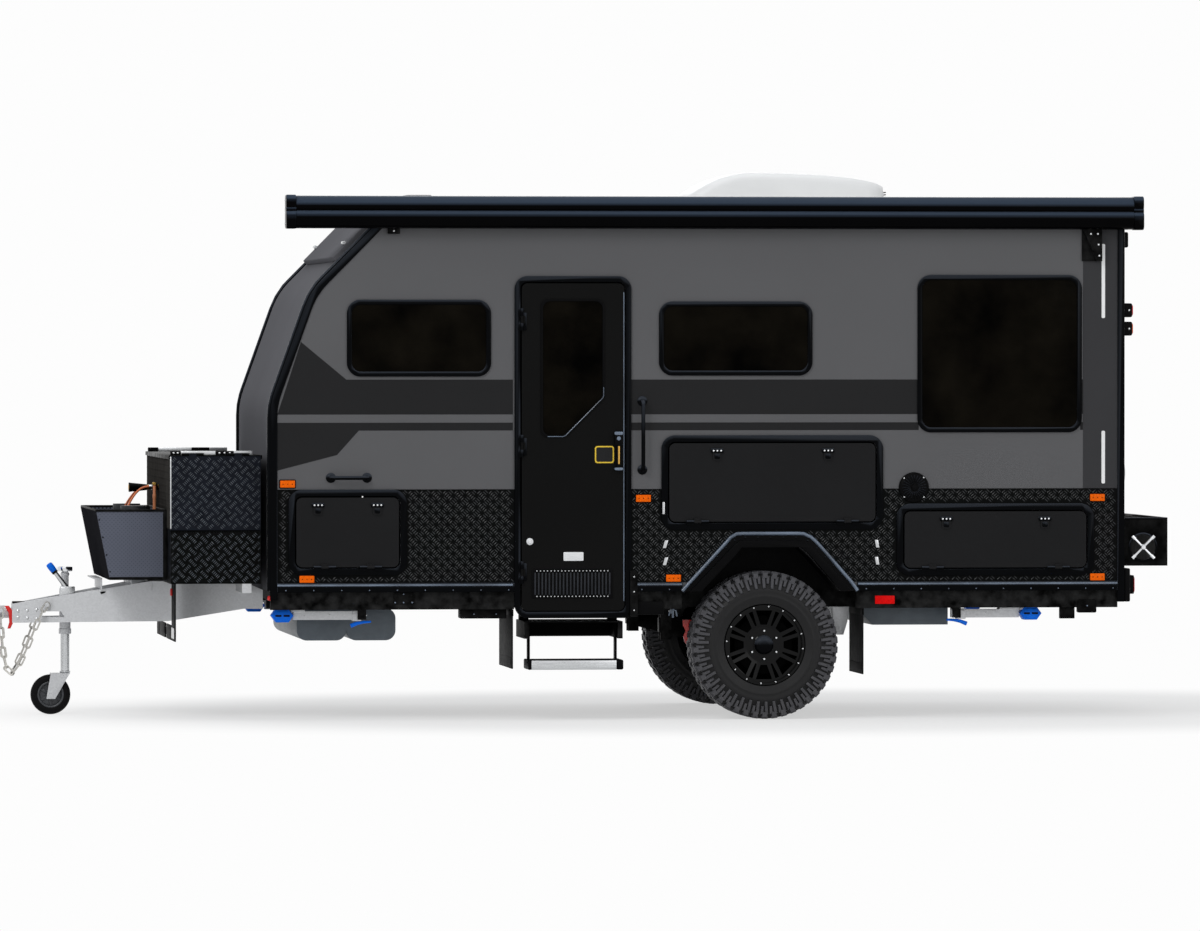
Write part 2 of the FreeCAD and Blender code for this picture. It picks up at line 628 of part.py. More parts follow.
def grouped(name, things):
    """Like pieces side by side."""
    thing = doc.addObject("Part::Compound", name)
    thing.Links = list(things)
    return thing


def other_side(name, source):
    """The same piece on the other side of the trailer."""
    thing = doc.addObject("Part::Mirroring", name)
    thing.Source = source
    thing.Normal = Vector(0, 1, 0)
    return thing


def both(name, source):
    """A piece and its twin on the other side."""
    return [source, other_side(name, source)]


def node(label, thing):
    """Name a finished piece."""
    thing.Label = label
    NODES.append(thing)
    return thing


def strip(name, points, radii, width, low, high, outwards=False):
    """A bent sheet that follows an open line in the XZ plane, with its width to the inside unless told."""
    edges = []
    spots = [Vector(float(x), 0, float(z)) for x, z in points]
    start = spots[0]
    for i in range(1, len(spots) - 1):
        before = (spots[i - 1] - spots[i]).normalize()
        after = (spots[i + 1] - spots[i]).normalize()
        half = before.getAngle(after) / 2
        reach = float(radii[i]) / math.tan(half)
        one = spots[i] + before * reach
        two = spots[i] + after * reach
        middle = spots[i] + (before + after).normalize() * (float(radii[i]) / math.sin(half) - float(radii[i]))
        edges.append(Part.LineSegment(start, one).toShape())
        edges.append(Part.Arc(one, middle, two).toShape())
        start = two
    edges.append(Part.LineSegment(start, spots[-1]).toShape())
    line = Part.Wire(edges)
    sheets = [line.makeOffset2D(side * float(width), 0, False, True) for side in (-1, 1)]
    sheets.sort(key=lambda sheet: sheet.BoundBox.ZMax)
    inner = sheets[1] if outwards else sheets[0]
    ends = line.OrderedVertexes[0].Point, line.OrderedVertexes[-1].Point
    inner_wire = Part.Wire(Part.__sortEdges__(inner.Edges))
    inner_ends = inner_wire.OrderedVertexes[0].Point, inner_wire.OrderedVertexes[-1].Point
    if inner_ends[0].distanceToPoint(ends[0]) > inner_ends[1].distanceToPoint(ends[0]):
        inner_ends = inner_ends[1], inner_ends[0]
    caps = [Part.LineSegment(ends[0], inner_ends[0]).toShape(), Part.LineSegment(ends[1], inner_ends[1]).toShape()]
    face = Part.Face(Part.Wire(Part.__sortEdges__(line.Edges + inner.Edges + caps)))
    thing = doc.addObject("Part::Feature", name)
    solid = face.extrude(Vector(0, float(high) - float(low), 0))
    solid.translate(Vector(0, float(low), 0))
    thing.Shape = solid
    return thing


# Body profile, seen from the side
near_y = -s.half_width
wall_inner_y = near_y + s.panel_t
face_y = near_y - s.frame_t
brow_end_x = s.brow_x + s.brow_r * 2
stern_start_x = s.rear_x - s.stern_r * 2
inner_half = s.half_width - s.panel_t

PROFILE = [
    (s.nose_x, s.wall_foot_z),
    (s.nose_x, s.knee_z),
    (s.bend_x, s.bend_z),
    (s.brow_x, s.roof_z),
    (s.rear_x, s.roof_z),
    (s.rear_x, s.wall_foot_z),
]
PROFILE_ROUNDS = {1: s.knee_r, 2: s.bend_r, 3: s.brow_r, 4: s.stern_r}

WINDOWS = (
    ((s.front_window_x0, s.front_window_x1), (s.front_window_z0, s.front_window_z1)),
    ((s.mid_window_x0, s.mid_window_x1), (s.mid_window_z0, s.mid_window_z1)),
    ((s.rear_window_x0, s.rear_window_x1), (s.rear_window_z0, s.rear_window_z1)),
)
HATCHES = {
    "boot_hatch": ((s.boot_x0, s.boot_x1), (s.boot_z0, s.boot_z1)),
    "table_hatch": ((s.table_x0, s.table_x1), (s.table_z0, s.table_z1)),
    "locker_hatch": ((s.locker_x0, s.locker_x1), (s.locker_z0, s.locker_z1)),
}

HINGE_SHARES = (0.1, 0.47, 0.84)

ARCH_OUTER = [
    (s.arch_x0, s.sill_foot_z),
    (s.arch_x1, s.arch_shoulder_z),
    (s.arch_x2, s.arch_z),
    (s.arch_x3, s.arch_z),
    (s.arch_x4, s.arch_shoulder_z),
    (s.arch_x5, s.sill_foot_z),
]


def shrunk(span, by):
    """A span with its two ends moved inwards."""
    return (span[0] + by, span[1] - by)


def arch_outline(inset, top_inset, foot):
    """The arch's outline moved inwards."""
    return [
        (s.arch_x0 + inset, foot),
        (s.arch_x1 + inset / 2, s.arch_shoulder_z - top_inset),
        (s.arch_x2 + inset / 4, s.arch_z - top_inset),
        (s.arch_x3 - inset / 4, s.arch_z - top_inset),
        (s.arch_x4 - inset / 2, s.arch_shoulder_z - top_inset),
        (s.arch_x5 - inset, foot),
    ]


def ring(name, x, z, radius, width, low, high):
    """A frame with round corners on the side wall."""
    outer = rounded_slab(name + "_outer", "xz", x, z, low, high, radius)
    hole = rounded_slab(name + "_hole", "xz", shrunk(x, width), shrunk(z, width),
                        low - s.overrun, high + s.overrun, radius - width)
    return less(name, outer, [hole])


def wall_hole(name, x, z, radius, width):
    """The hole in the side wall behind a frame."""
    return rounded_slab(name, "xz", shrunk(x, width), shrunk(z, width),
                        near_y - s.overrun, wall_inner_y + s.overrun, radius - width)


def make_walls():
    """Side walls with their windows, door, hatches and wheel arches cut out."""
    arch_hole = prism("arch_hole", "xz", arch_outline(s.arch_w, s.arch_lip, s.wall_foot_z - s.overrun),
                      near_y - s.overrun, wall_inner_y + s.overrun)
    windows = [wall_hole("window_hole", x, z, s.window_r, s.window_w) for x, z in WINDOWS]
    hatches = [wall_hole("hatch_hole", x, z, s.hatch_r, s.hatch_frame_w) for x, z in HATCHES.values()]
    door = prism("door_hole", "xz", [
        (s.door_x0 + s.door_frame_w, s.wall_foot_z - s.overrun),
        (s.door_x1 - s.door_frame_w, s.wall_foot_z - s.overrun),
        (s.door_x1 - s.door_frame_w, s.door_z1 - s.door_frame_w),
        (s.door_x0 + s.door_frame_w, s.door_z1 - s.door_frame_w),
    ], near_y - s.overrun, wall_inner_y + s.overrun,
        {2: s.door_r - s.door_frame_w, 3: s.door_r - s.door_frame_w})
    left = prism("left_panel", "xz", PROFILE, near_y, wall_inner_y, PROFILE_ROUNDS)
    node("left_wall", less("left_wall", left, windows + hatches + [door, arch_hole]))
    blank = prism("right_panel", "xz", PROFILE, near_y, wall_inner_y, PROFILE_ROUNDS)
    right = less("right_panel_cut", blank, windows + hatches[:1] + [arch_hole])
    node("right_wall", other_side("right_wall", right))


def make_shell():
    """Nose, roof, rear wall and floor between the side walls."""
    nose = strip("nose_panel", PROFILE[:4] + [(brow_end_x, s.roof_z)],
                 [0, s.knee_r, s.bend_r, s.brow_r, 0], s.panel_t, -inner_half, inner_half)
    node("nose_panel", nose)
    roof = block("roof_panel", (brow_end_x, stern_start_x), (-inner_half, inner_half),
                 (s.roof_z - s.panel_t, s.roof_z))
    node("roof_panel", roof)
    rear = strip("rear_wall", [(stern_start_x, s.roof_z)] + PROFILE[4:],
                 [0, s.stern_r, 0], s.panel_t, -inner_half, inner_half)
    node("rear_wall", rear)
    floor = block("floor_blank", (s.nose_x + s.panel_t, s.rear_x - s.panel_t), (-inner_half, inner_half),
                  (s.wall_foot_z, s.wall_foot_z + s.floor_t))
    well = block("floor_well", (s.arch_x0 + s.arch_w - s.tub_t, s.arch_x5 - s.arch_w + s.tub_t),
                 (-inner_half - s.overrun, -s.half_width + s.tub_depth),
                 (s.wall_foot_z - s.overrun, s.wall_foot_z + s.floor_t + s.overrun))
    entry = block("floor_entry", (s.door_x0 + s.door_frame_w, s.door_x1 - s.door_frame_w),
                  (-inner_half - s.overrun, -inner_half + s.door_t),
                  (s.wall_foot_z - s.overrun, s.wall_foot_z + s.floor_t + s.overrun))
    node("floor_panel", less("floor_panel", floor, both("floor_well_twin", well) + [entry]))


def make_trims():
    """Corner mouldings, sill rails and tread-plate skirts."""
    line = [(s.nose_x, s.trim_foot_z)] + PROFILE[1:5] + [(s.rear_x, s.stern_trim_foot_z)]
    radii = [0, s.knee_r, s.bend_r, s.brow_r, s.stern_r, 0]
    trim = strip("corner_trim", line, radii, s.trim_w, near_y - s.trim_t, near_y)
    trims = both("corner_trim_twin", trim)
    rear_sill = (s.arch_x5, s.rear_x - s.trim_w)
    front_sill = (s.nose_x + s.trim_w, s.door_x0)
    low = (near_y - s.sill_t, near_y)
    height = (s.sill_foot_z, s.sill_z)
    rails = [
        block("sill_front", front_sill, low, height),
        block("sill_mid", (s.door_x1, s.arch_x0), low, height),
        block("sill_rear", rear_sill, low, height),
    ]
    far = block("sill_far", (s.nose_x + s.trim_w, s.arch_x0), low, height)
    rails += [other_side("sill_far_twin", far), other_side("sill_rear_twin", rails[2])]
    node("body_mouldings", joined("body_mouldings", trims + rails))
    plate_y = (near_y - s.skirt_t, near_y)
    plate_z = (s.sill_z, s.skirt_z)
    whole = (s.nose_x + s.trim_w, s.rear_x - s.trim_w)
    plate = block("skirt_blank", whole, plate_y, plate_z)
    door = block("skirt_door", (s.door_x0, s.door_x1), (near_y - s.overrun, near_y + s.overrun),
                 (s.sill_foot_z, s.skirt_z + s.overrun))
    arch = prism("skirt_arch", "xz", ARCH_OUTER, near_y - s.overrun, near_y + s.overrun)
    cuts = [rounded_slab("skirt_hatch", "xz", x, z, near_y - s.overrun, near_y + s.overrun, s.hatch_r)
            for x, z in HATCHES.values()]
    near = less("skirt_near", plate, [door, arch] + cuts)
    far_plate = block("skirt_far_blank", whole, plate_y, plate_z)
    far_skirt = less("skirt_far", far_plate, [arch, cuts[0]])
    node("tread_plate_skirts", grouped("tread_plate_skirts", [near, other_side("skirt_far_twin", far_skirt)]))


def make_arches():
    """Wheel-arch flares and the wheel boxes inside the body."""
    flange = prism("flare_flange", "xz", ARCH_OUTER, near_y - s.flange_t, near_y, {1: s.arch_w, 4: s.arch_w})
    lip = prism("flare_lip", "xz", arch_outline(s.flange_w, s.flange_w, s.sill_foot_z), near_y - s.arch_t, near_y,
                {1: s.arch_w, 4: s.arch_w})
    inner = prism("flare_inner", "xz", arch_outline(s.arch_w, s.arch_lip, s.sill_foot_z - s.overrun),
                  near_y - s.arch_t - s.overrun, near_y + s.overrun, {1: s.arch_lip, 4: s.arch_lip})
    flare = less("flare", joined("flare_solid", [flange, lip]), [inner])
    node("arch_flares", grouped("arch_flares", both("flare_twin", flare)))
    box_inner_y = near_y + s.tub_depth
    shell = prism("wheel_box_outer", "xz",
                  arch_outline(s.arch_w - s.tub_t, s.arch_lip - s.tub_t, s.wall_foot_z),
                  wall_inner_y, box_inner_y)
    hollow = prism("wheel_box_inner", "xz", arch_outline(s.arch_w, s.arch_lip, s.wall_foot_z - s.overrun),
                   wall_inner_y - s.overrun, box_inner_y - s.tub_t)
    tub = less("wheel_box", shell, [hollow])
    node("wheel_boxes", grouped("wheel_boxes", both("wheel_box_twin", tub)))


def make_windows():
    """Window frames and tinted panes on both sides."""
    frames = []
    panes = []
    for x, z in WINDOWS:
        frame = ring("window_frame", x, z, s.window_r, s.window_w, face_y, near_y)
        frames += both("window_frame_twin", frame)
        pane = rounded_slab("window_pane", "xz", shrunk(x, s.window_w), shrunk(z, s.window_w),
                            near_y - s.pane_t, near_y, s.window_r - s.window_w)
        panes += both("window_pane_twin", pane)
    node("window_frames", grouped("window_frames", frames))
    node("window_panes", grouped("window_panes", panes))


def hinge(axis, along, centre, root_web, leaf_web):
    """A pin held at both ends by the frame, and the leaf's barrel between with its bore."""
    third = (along[1] - along[0]) / 3
    middle = (along[0] + third + s.hinge_gap, along[1] - third - s.hinge_gap)

    def bar(name, radius, span):
        if axis == "z":
            return rod(name, "z", radius, span[1] - span[0], centre[0], centre[1], span[0])
        return rod(name, "x", radius, span[1] - span[0], span[0], centre[0], centre[1])

    def web(name, span, cross):
        if axis == "z":
            return block(name, cross[0], cross[1], span)
        return block(name, span, cross[0], cross[1])

    held = [bar("hinge_pin", s.hinge_pin_r, along)]
    for span in ((along[0], along[0] + third), (along[1] - third, along[1])):
        held += [bar("hinge_knuckle", s.hinge_r, span), web("hinge_root_web", span, root_web)]
    barrel = joined("hinge_barrel_web", [bar("hinge_barrel", s.hinge_r, middle),
                                         web("hinge_leaf_web", middle, leaf_web)])
    bore = bar("hinge_bore", s.hinge_pin_r + s.bearing_gap, along)
    return held, less("hinge_leaf_side", barrel, [bore])


pin_y = face_y - s.hinge_out


def door_hinges():
    """Three hinges down the door's front edge."""
    x = s.door_x0 + s.door_frame_w + s.move_gap
    height = s.door_z1 - s.door_z0
    found = []
    for share in HINGE_SHARES:
        low = s.door_z0 + height * share
        found.append(hinge("z", (low, low + s.hinge_l), (x, pin_y),
                           ((x - s.hinge_leaf, x), (pin_y, face_y)), ((x, x + s.hinge_leaf), (pin_y, face_y))))
    return found


def hatch_hinges(x, z):
    """Two hinges along a hatch's lower edge."""
    level = z[0] + s.hatch_frame_w + s.move_gap
    found = []
    for low in (x[0] + s.hatch_r + s.hinge_l / 2, x[1] - s.hatch_r - s.hinge_l * 3 / 2):
        found.append(hinge("x", (low, low + s.hinge_l), (pin_y, level),
                           ((pin_y, face_y), (level - s.hinge_leaf, level)),
                           ((pin_y, face_y), (level, level + s.hinge_leaf))))
    return found


VENT_SLOTS = 21


def door_vent(back):
    """The vent's plate with its row of upright slots."""
    plate = block("door_vent", (s.louvre_x0, s.louvre_x1), (back - s.louvre_t, back), (s.louvre_z0, s.louvre_z1))
    step = (s.louvre_x1 - s.louvre_x0 - s.louvre_rim * 2) / VENT_SLOTS
    slots = []
    for i in range(VENT_SLOTS):
        middle = s.louvre_x0 + s.louvre_rim + step * (i + 0.5)
        slots.append(block("door_vent_slot", (middle - s.louvre_slot_w / 2, middle + s.louvre_slot_w / 2),
                           (back - s.louvre_t - s.overrun, back + s.overrun),
                           (s.louvre_z0 + s.louvre_rim, s.louvre_z1 - s.louvre_rim)))
    return less("door_vent_cut", plate, slots)


def door_handle(back):
    """A grip between a foot and the lock case, on a plate."""
    x = (s.handle_x0, s.handle_x1)
    plate = rounded_slab("handle_plate", "xz", x, (s.handle_z0, s.handle_z1), back - s.handle_plate_t, back, s.handle_r)
    case_z = s.handle_z1 - s.handle_lock_h
    out = back - s.handle_t
    case = rounded_slab("handle_case", "xz", x, (case_z, s.handle_z1), out, back, s.handle_r)
    foot = block("handle_foot", shrunk(x, s.handle_r), (out, back), (s.handle_z0, s.handle_z0 + s.handle_foot_h))
    grip = block("handle_grip", shrunk(x, s.handle_r), (out, out + s.handle_r), (s.handle_z0, case_z))
    return joined("door_handle", [plate, case, foot, grip])


def make_entry_door():
    """The door's leaf with its window, vent and handle."""
    x = (s.door_x0, s.door_x1)
    z = (s.door_z0, s.door_z1)
    inset = s.door_frame_w + s.move_gap
    leaf_y = (face_y, face_y + s.door_t)
    leaf = rounded_slab("door_leaf_blank", "xz", shrunk(x, inset), shrunk(z, inset),
                        leaf_y[0], leaf_y[1], s.door_r - inset)
    def glass_outline(grow):
        return [
            (s.door_glass_x0 - grow, s.door_glass_z0 - grow),
            (s.door_glass_cut_x + grow, s.door_glass_z0 - grow),
            (s.door_glass_x1 + grow, s.door_glass_cut_z - grow),
            (s.door_glass_x1 + grow, s.door_glass_z1 + grow),
            (s.door_glass_x0 - grow, s.door_glass_z1 + grow),
        ]
    rounds = {i: s.door_glass_r for i in range(5)}
    hole = prism("door_glass_hole", "xz", glass_outline(0), leaf_y[0] - s.overrun, leaf_y[1] + s.overrun, rounds)
    barrels = [leaf_side for held, leaf_side in door_hinges()]
    node("entry_door", joined("entry_door", [less("door_leaf", leaf, [hole])] + barrels))
    bead = prism("door_bead", "xz", glass_outline(s.door_glass_w), leaf_y[0] - s.pane_t, leaf_y[0], rounds)
    bead_hole = prism("door_bead_hole", "xz", glass_outline(0),
                      leaf_y[0] - s.pane_t - s.overrun, leaf_y[0] + s.overrun, rounds)
    vent = door_vent(leaf_y[0])
    handle = door_handle(leaf_y[0])
    node("door_fittings", grouped("door_fittings", [less("door_bead_ring", bead, [bead_hole]), vent, handle]))
    pane = prism("door_window", "xz", glass_outline(0), leaf_y[0], leaf_y[0] + s.pane_t, rounds)
    node("door_window", pane)


def make_hatches():
    """Door and hatch frames on the wall and the hinged leaves with their latches."""
    door = ring("door_frame", (s.door_x0, s.door_x1), (s.door_z0, s.door_z1), s.door_r, s.door_frame_w,
                face_y, near_y)
    pins = [thing for held, leaf_side in door_hinges() for thing in held]
    frames = [joined("door_frame_hinges", [door] + pins)]
    inset = s.hatch_frame_w + s.move_gap
    for name, (x, z) in HATCHES.items():
        hinges = hatch_hinges(x, z)
        pins = [thing for held, leaf_side in hinges for thing in held]
        frame = ring("hatch_frame", x, z, s.hatch_r, s.hatch_frame_w, face_y, near_y)
        frames.append(joined("hatch_frame_hinges", [frame] + pins))
        leaf = rounded_slab("leaf", "xz", shrunk(x, inset), shrunk(z, inset), face_y, face_y + s.hatch_t,
                            s.hatch_r - inset)
        spot = (x[1] - x[0]) / 4
        top = z[1] - inset - s.hatch_latch_h / 2
        latches = [
            rounded_slab("latch", "xz", (middle - s.hatch_latch_w / 2, middle + s.hatch_latch_w / 2),
                         (top - s.hatch_latch_h, top), face_y - s.hatch_latch_t, face_y, s.hatch_latch_r)
            for middle in (x[0] + spot, x[1] - spot)
        ]
        whole = joined(name, [leaf] + latches + [leaf_side for held, leaf_side in hinges])
        node(name, whole)
        if name == "boot_hatch":
            frames.append(other_side("hatch_frame_far", frames[-1]))
            node("boot_hatch_far", other_side("boot_hatch_far", whole))
    node("door_and_hatch_frames", grouped("door_and_hatch_frames", frames))


def hanger_plates():
    """Plates under the main rails that hold the arms' pivots."""
    x = (s.arm_pivot_x - s.hanger_w / 2, s.arm_pivot_x + s.hanger_w / 2)
    z = (s.hanger_foot_z, s.wall_foot_z - s.rail_h)
    outer = block("hanger_outer", x, (-arm_y - s.hanger_t, -arm_y), z)
    inner_y = -arm_y + s.arm_w
    inner = block("hanger_inner", x, (inner_y, inner_y + s.hanger_t), z)
    bridge = block("hanger_bridge", x, (-arm_y - s.hanger_t, inner_y + s.hanger_t), (z[1] - s.hanger_t, z[1]))
    return both("hanger_outer_twin", outer) + both("hanger_inner_twin", inner) + both("hanger_bridge_twin", bridge)


CROSS_PLACES = (s.rail_front_x, s.tank_x1, s.door_x0 - s.cross_w * 2, s.door_x1 + s.cross_w,
                s.arch_x0 - s.cross_w, s.arch_x5, s.guard_x1 + s.cross_w, rail_rear_x - s.cross_w)


def make_chassis():
    """Main rails, edge rails, cross-members, and what hangs under them."""
    top = s.wall_foot_z
    rail = block("main_rail", (s.rail_front_x, rail_rear_x), (-rail_y, -rail_y + s.rail_w), (top - s.rail_h, top))
    spans = ((s.rail_front_x, s.door_x0), (s.door_x1, s.arch_x0), (s.arch_x5, rail_rear_x))
    rails = both("main_rail_twin", rail)
    for span in spans:
        edge = block("edge_rail", span, (-edge_y, -edge_y + s.edge_w), (top - s.cross_h * 2, top))
        rails += both("edge_rail_twin", edge)
    node("chassis_rails", grouped("chassis_rails", rails))
    members = []
    for spot in CROSS_PLACES:
        span = (spot, spot + s.cross_w)
        height = (top - s.cross_h, top)
        members.append(block("cross_member", span, (-rail_y + s.rail_w, rail_y - s.rail_w), height))
        members += both("outrigger_twin", block("outrigger", span, (-edge_y + s.edge_w, -rail_y), height))
    node("cross_members", grouped("cross_members", members))
    node("suspension_hangers", joined("suspension_hangers", hanger_plates()))
    node("stabiliser_brackets", joined("stabiliser_brackets", stabiliser_brackets()))


def rail_out(x):
    """Outer face of a drawbar rail from the middle, at a place along X."""
    run = s.rail_front_x - s.drawbar_nose_x
    return s.drawbar_nose_y + (s.drawbar_rear_y - s.drawbar_nose_y) * (x - s.drawbar_nose_x) / run


def make_drawbar():
    """The A-frame: two rails that meet at the coupling, deep at the front."""
    side = prism("drawbar_side", "xz", [
        (s.drawbar_nose_x, s.drawbar_nose_foot_z),
        (s.drawbar_belly_x, s.drawbar_belly_z),
        (s.drawbar_tail_x, s.drawbar_foot_z),
        (s.rail_front_x, s.drawbar_foot_z),
        (s.rail_front_x, s.sill_foot_z),
        (s.drawbar_tail_x, s.drawbar_top_z),
        (s.drawbar_crown_x, s.drawbar_top_z),
        (s.drawbar_nose_x, s.drawbar_nose_top_z),
    ], -s.half_width, s.half_width)
    plan = prism("drawbar_plan", "xy", [
        (s.drawbar_nose_x, -s.drawbar_nose_y),
        (s.rail_front_x, -s.drawbar_rear_y),
        (s.rail_front_x, -s.drawbar_rear_y + s.drawbar_w),
        (s.drawbar_nose_x, -s.drawbar_nose_y + s.drawbar_w),
    ], s.drawbar_nose_foot_z - s.overrun, s.drawbar_top_z + s.overrun)
    rail = doc.addObject("Part::Common", "drawbar_rail")
    rail.Base = side
    rail.Tool = plan
    slot = prism("drawbar_slot", "xz", [
        (s.slot_x0, s.slot_z0), (s.slot_x1, s.slot_z0), (s.slot_x1 - s.overrun, s.slot_z1), (s.slot_x0, s.slot_z1),
    ], -s.half_width, s.half_width)
    rails = less("drawbar_rails", joined("drawbar_rail_pair", both("drawbar_rail_twin", rail)), [slot])
    head_y = rail_out(s.head_rear_x) - s.drawbar_w / 2
    plate = prism("drawbar_plate", "xy", [
        (s.drawbar_nose_x, -s.drawbar_nose_y), (s.head_rear_x, -head_y),
        (s.head_rear_x, head_y), (s.drawbar_nose_x, s.drawbar_nose_y),
    ], s.drawbar_nose_top_z - s.head_t, s.drawbar_nose_top_z)
    opening = rod("jockey_seat", "z", s.jockey_sleeve_r + s.seat_gap, s.head_t + s.overrun * 2,
                  s.jockey_x, 0, s.drawbar_nose_top_z - s.head_t - s.overrun)
    head = less("drawbar_head", plate, [opening])
    tie = block("drawbar_tie", (s.drawbar_crown_x, s.drawbar_crown_x + s.drawbar_w * 2),
                (-s.basket_y / 2, s.basket_y / 2), (s.drawbar_top_z - s.drawbar_w, s.drawbar_top_z))
    arms = block("box_arms", (s.box_x1 - s.drawbar_w * 2, s.box_x1 - s.drawbar_w), (-s.box_y, s.box_y),
                 (s.drawbar_top_z - s.drawbar_w, s.drawbar_top_z))
    root_y = float(rail_out(s.chain_x0) - s.drawbar_w / 2)
    pins = [chain_pin(side, False, root_y) for side in (-1, 1)]
    node("drawbar", joined("drawbar", [rails, head, tie, arms] + pins))
    head = rounded_slab("coupling_head", "xz", (s.coupling_x, s.neck_x), (s.coupling_z, s.coupling_z + s.coupling_h),
                        -s.coupling_w / 2, s.coupling_w / 2, s.coupling_h / 4)
    tube = rod("coupling_tube", "x", s.neck_r, s.drawbar_nose_x - s.neck_x + s.overrun, s.neck_x - s.overrun, 0,
               s.coupling_z + s.coupling_h / 2)
    latch = block("coupling_latch", (s.neck_x - s.latch_l, s.neck_x), (-s.neck_r / 2, s.neck_r / 2),
                  (s.coupling_z + s.coupling_h, s.coupling_z + s.coupling_h + s.latch_h))
    socket = rod("ball_socket", "z", s.ball_r, s.ball_depth, s.ball_x, 0, s.coupling_z)
    flush = block("coupling_flush", (s.drawbar_nose_x, s.drawbar_nose_x + s.overrun * 2), (-s.coupling_w, s.coupling_w),
                  (s.coupling_z - s.overrun, s.coupling_z + s.coupling_h + s.overrun))
    pins = [chain_pin(side, True, float(s.coupling_w) / 2 - float(s.trim_t)) for side in (-1, 1)]
    node("coupling", less("coupling", joined("coupling_solid", [head, tube, latch] + pins), [socket, flush]))


def make_handbrake():
    """Handbrake lever with its grip on the drawbar."""
    length = math.dist((float(s.lever_x), float(s.lever_z)), (float(s.lever_grip_x), float(s.lever_grip_z)))
    thing = doc.addObject("Part::Feature", "handbrake_lever")
    start = Vector(float(s.lever_x), 0, float(s.lever_z))
    along = Vector(float(s.lever_grip_x - s.lever_x), 0, float(s.lever_grip_z - s.lever_z)).normalize()
    foot_z = float(s.drawbar_nose_top_z + s.seat_gap) + float(s.lever_r) * abs(along.x)
    base = start - along * ((float(s.lever_z) - foot_z) / along.z)
    bar = Part.makeCylinder(float(s.lever_r), length + base.distanceToPoint(start), base, along)
    grip = Part.makeCylinder(float(s.grip_r), length / 3, start + along * length * 2 / 3, along)
    lever = bar.fuse(grip)
    lever.translate(Vector(0, float(s.lever_y), 0))
    thing.Shape = lever
    node("handbrake_lever", thing)


def chain_places(side):
    """Middle, direction and flat side of each link of a safety chain, each a quarter turn from the last."""
    off = float(s.link_w / 2 + s.chain_bar + s.hinge_gap)
    rear_y = float(rail_out(s.chain_x0 + s.link_l)) + off
    front_y = float(s.coupling_w) / 2 + off
    spots = [
        Vector(float(s.chain_x0), side * rear_y, float(s.chain_z0)),
        Vector(float(s.chain_x0 + s.chain_low_x) / 2, side * rear_y, float(s.chain_z0 + s.chain_low_z) / 2),
        Vector(float(s.chain_low_x), side * (rear_y + front_y) / 2, float(s.chain_low_z)),
        Vector(float(s.chain_x1), side * front_y, float(s.chain_z1)),
    ]
    curve = Part.BSplineCurve()
    curve.interpolate(spots)
    line = curve.toShape()
    count = int(line.Length / float(s.link_l) / 2) * 2
    places = []
    for i in range(count + 1):
        at = line.getParameterByLength(line.Length * i / count)
        along = line.tangentAt(at).normalize()
        level = along.cross(Vector(0, 1, 0)).normalize()
        flat = level if i % 2 else along.cross(level)
        places.append((line.valueAt(at), along, flat))
    return places


def chain_pin(side, last, root_y):
    """The pin with its head that holds an end of a safety chain."""
    middle, along, flat = chain_places(side)[-1 if last else 0]
    shift = float(s.link_l / 2 - s.chain_pin_r - s.hinge_gap * 2)
    spot = middle + along * (shift if last else -shift)
    end = middle.y + side * float(s.chain_bar / 2 + s.hinge_gap * 4)
    start = Vector(spot.x, side * root_y, spot.z)
    out = Vector(0, side, 0)
    pin = Part.makeCylinder(float(s.chain_pin_r), abs(end - start.y), start, out)
    head = Part.makeCylinder(float(s.chain_pin_head_r), float(s.chain_pin_head_t), Vector(spot.x, end, spot.z), out)
    thing = doc.addObject("Part::Feature", "chain_pin")
    thing.Shape = pin.fuse(head)
    return thing


def chain_link():
    """One link: a bar bent to a long ring, with flat facets."""
    bar = float(s.chain_bar)
    half_l = float(s.link_l) / 2
    half_w = float(s.link_w) / 2

    def loop(grow):
        corner = (half_w + grow) / 2
        return [(half_l + grow, corner), (half_l + grow - corner, half_w + grow),
                (-half_l - grow + corner, half_w + grow), (-half_l - grow, corner),
                (-half_l - grow, -corner), (-half_l - grow + corner, -half_w - grow),
                (half_l + grow - corner, -half_w - grow), (half_l + grow, -corner)]

    rings = []
    for grow in (bar, 0):
        spots = [Vector(x, y, -bar / 2) for x, y in loop(grow)]
        rings.append(Part.Face(Part.makePolygon(spots + spots[:1])).extrude(Vector(0, 0, bar)))
    return rings[0].cut(rings[1])


def make_chains():
    """Safety chains between the drawbar's rails and the coupling."""
    link = chain_link()
    shapes = []
    for side in (-1, 1):
        for middle, along, flat in chain_places(side):
            copy = link.copy()
            turn = FreeCAD.Rotation(along, Vector(0, 0, 0), flat, "XZY")
            copy.Placement = FreeCAD.Placement(middle, turn)
            shapes.append(copy)
    thing = doc.addObject("Part::Feature", "safety_chains")
    thing.Shape = Part.makeCompound(shapes)
    node("safety_chains", thing)


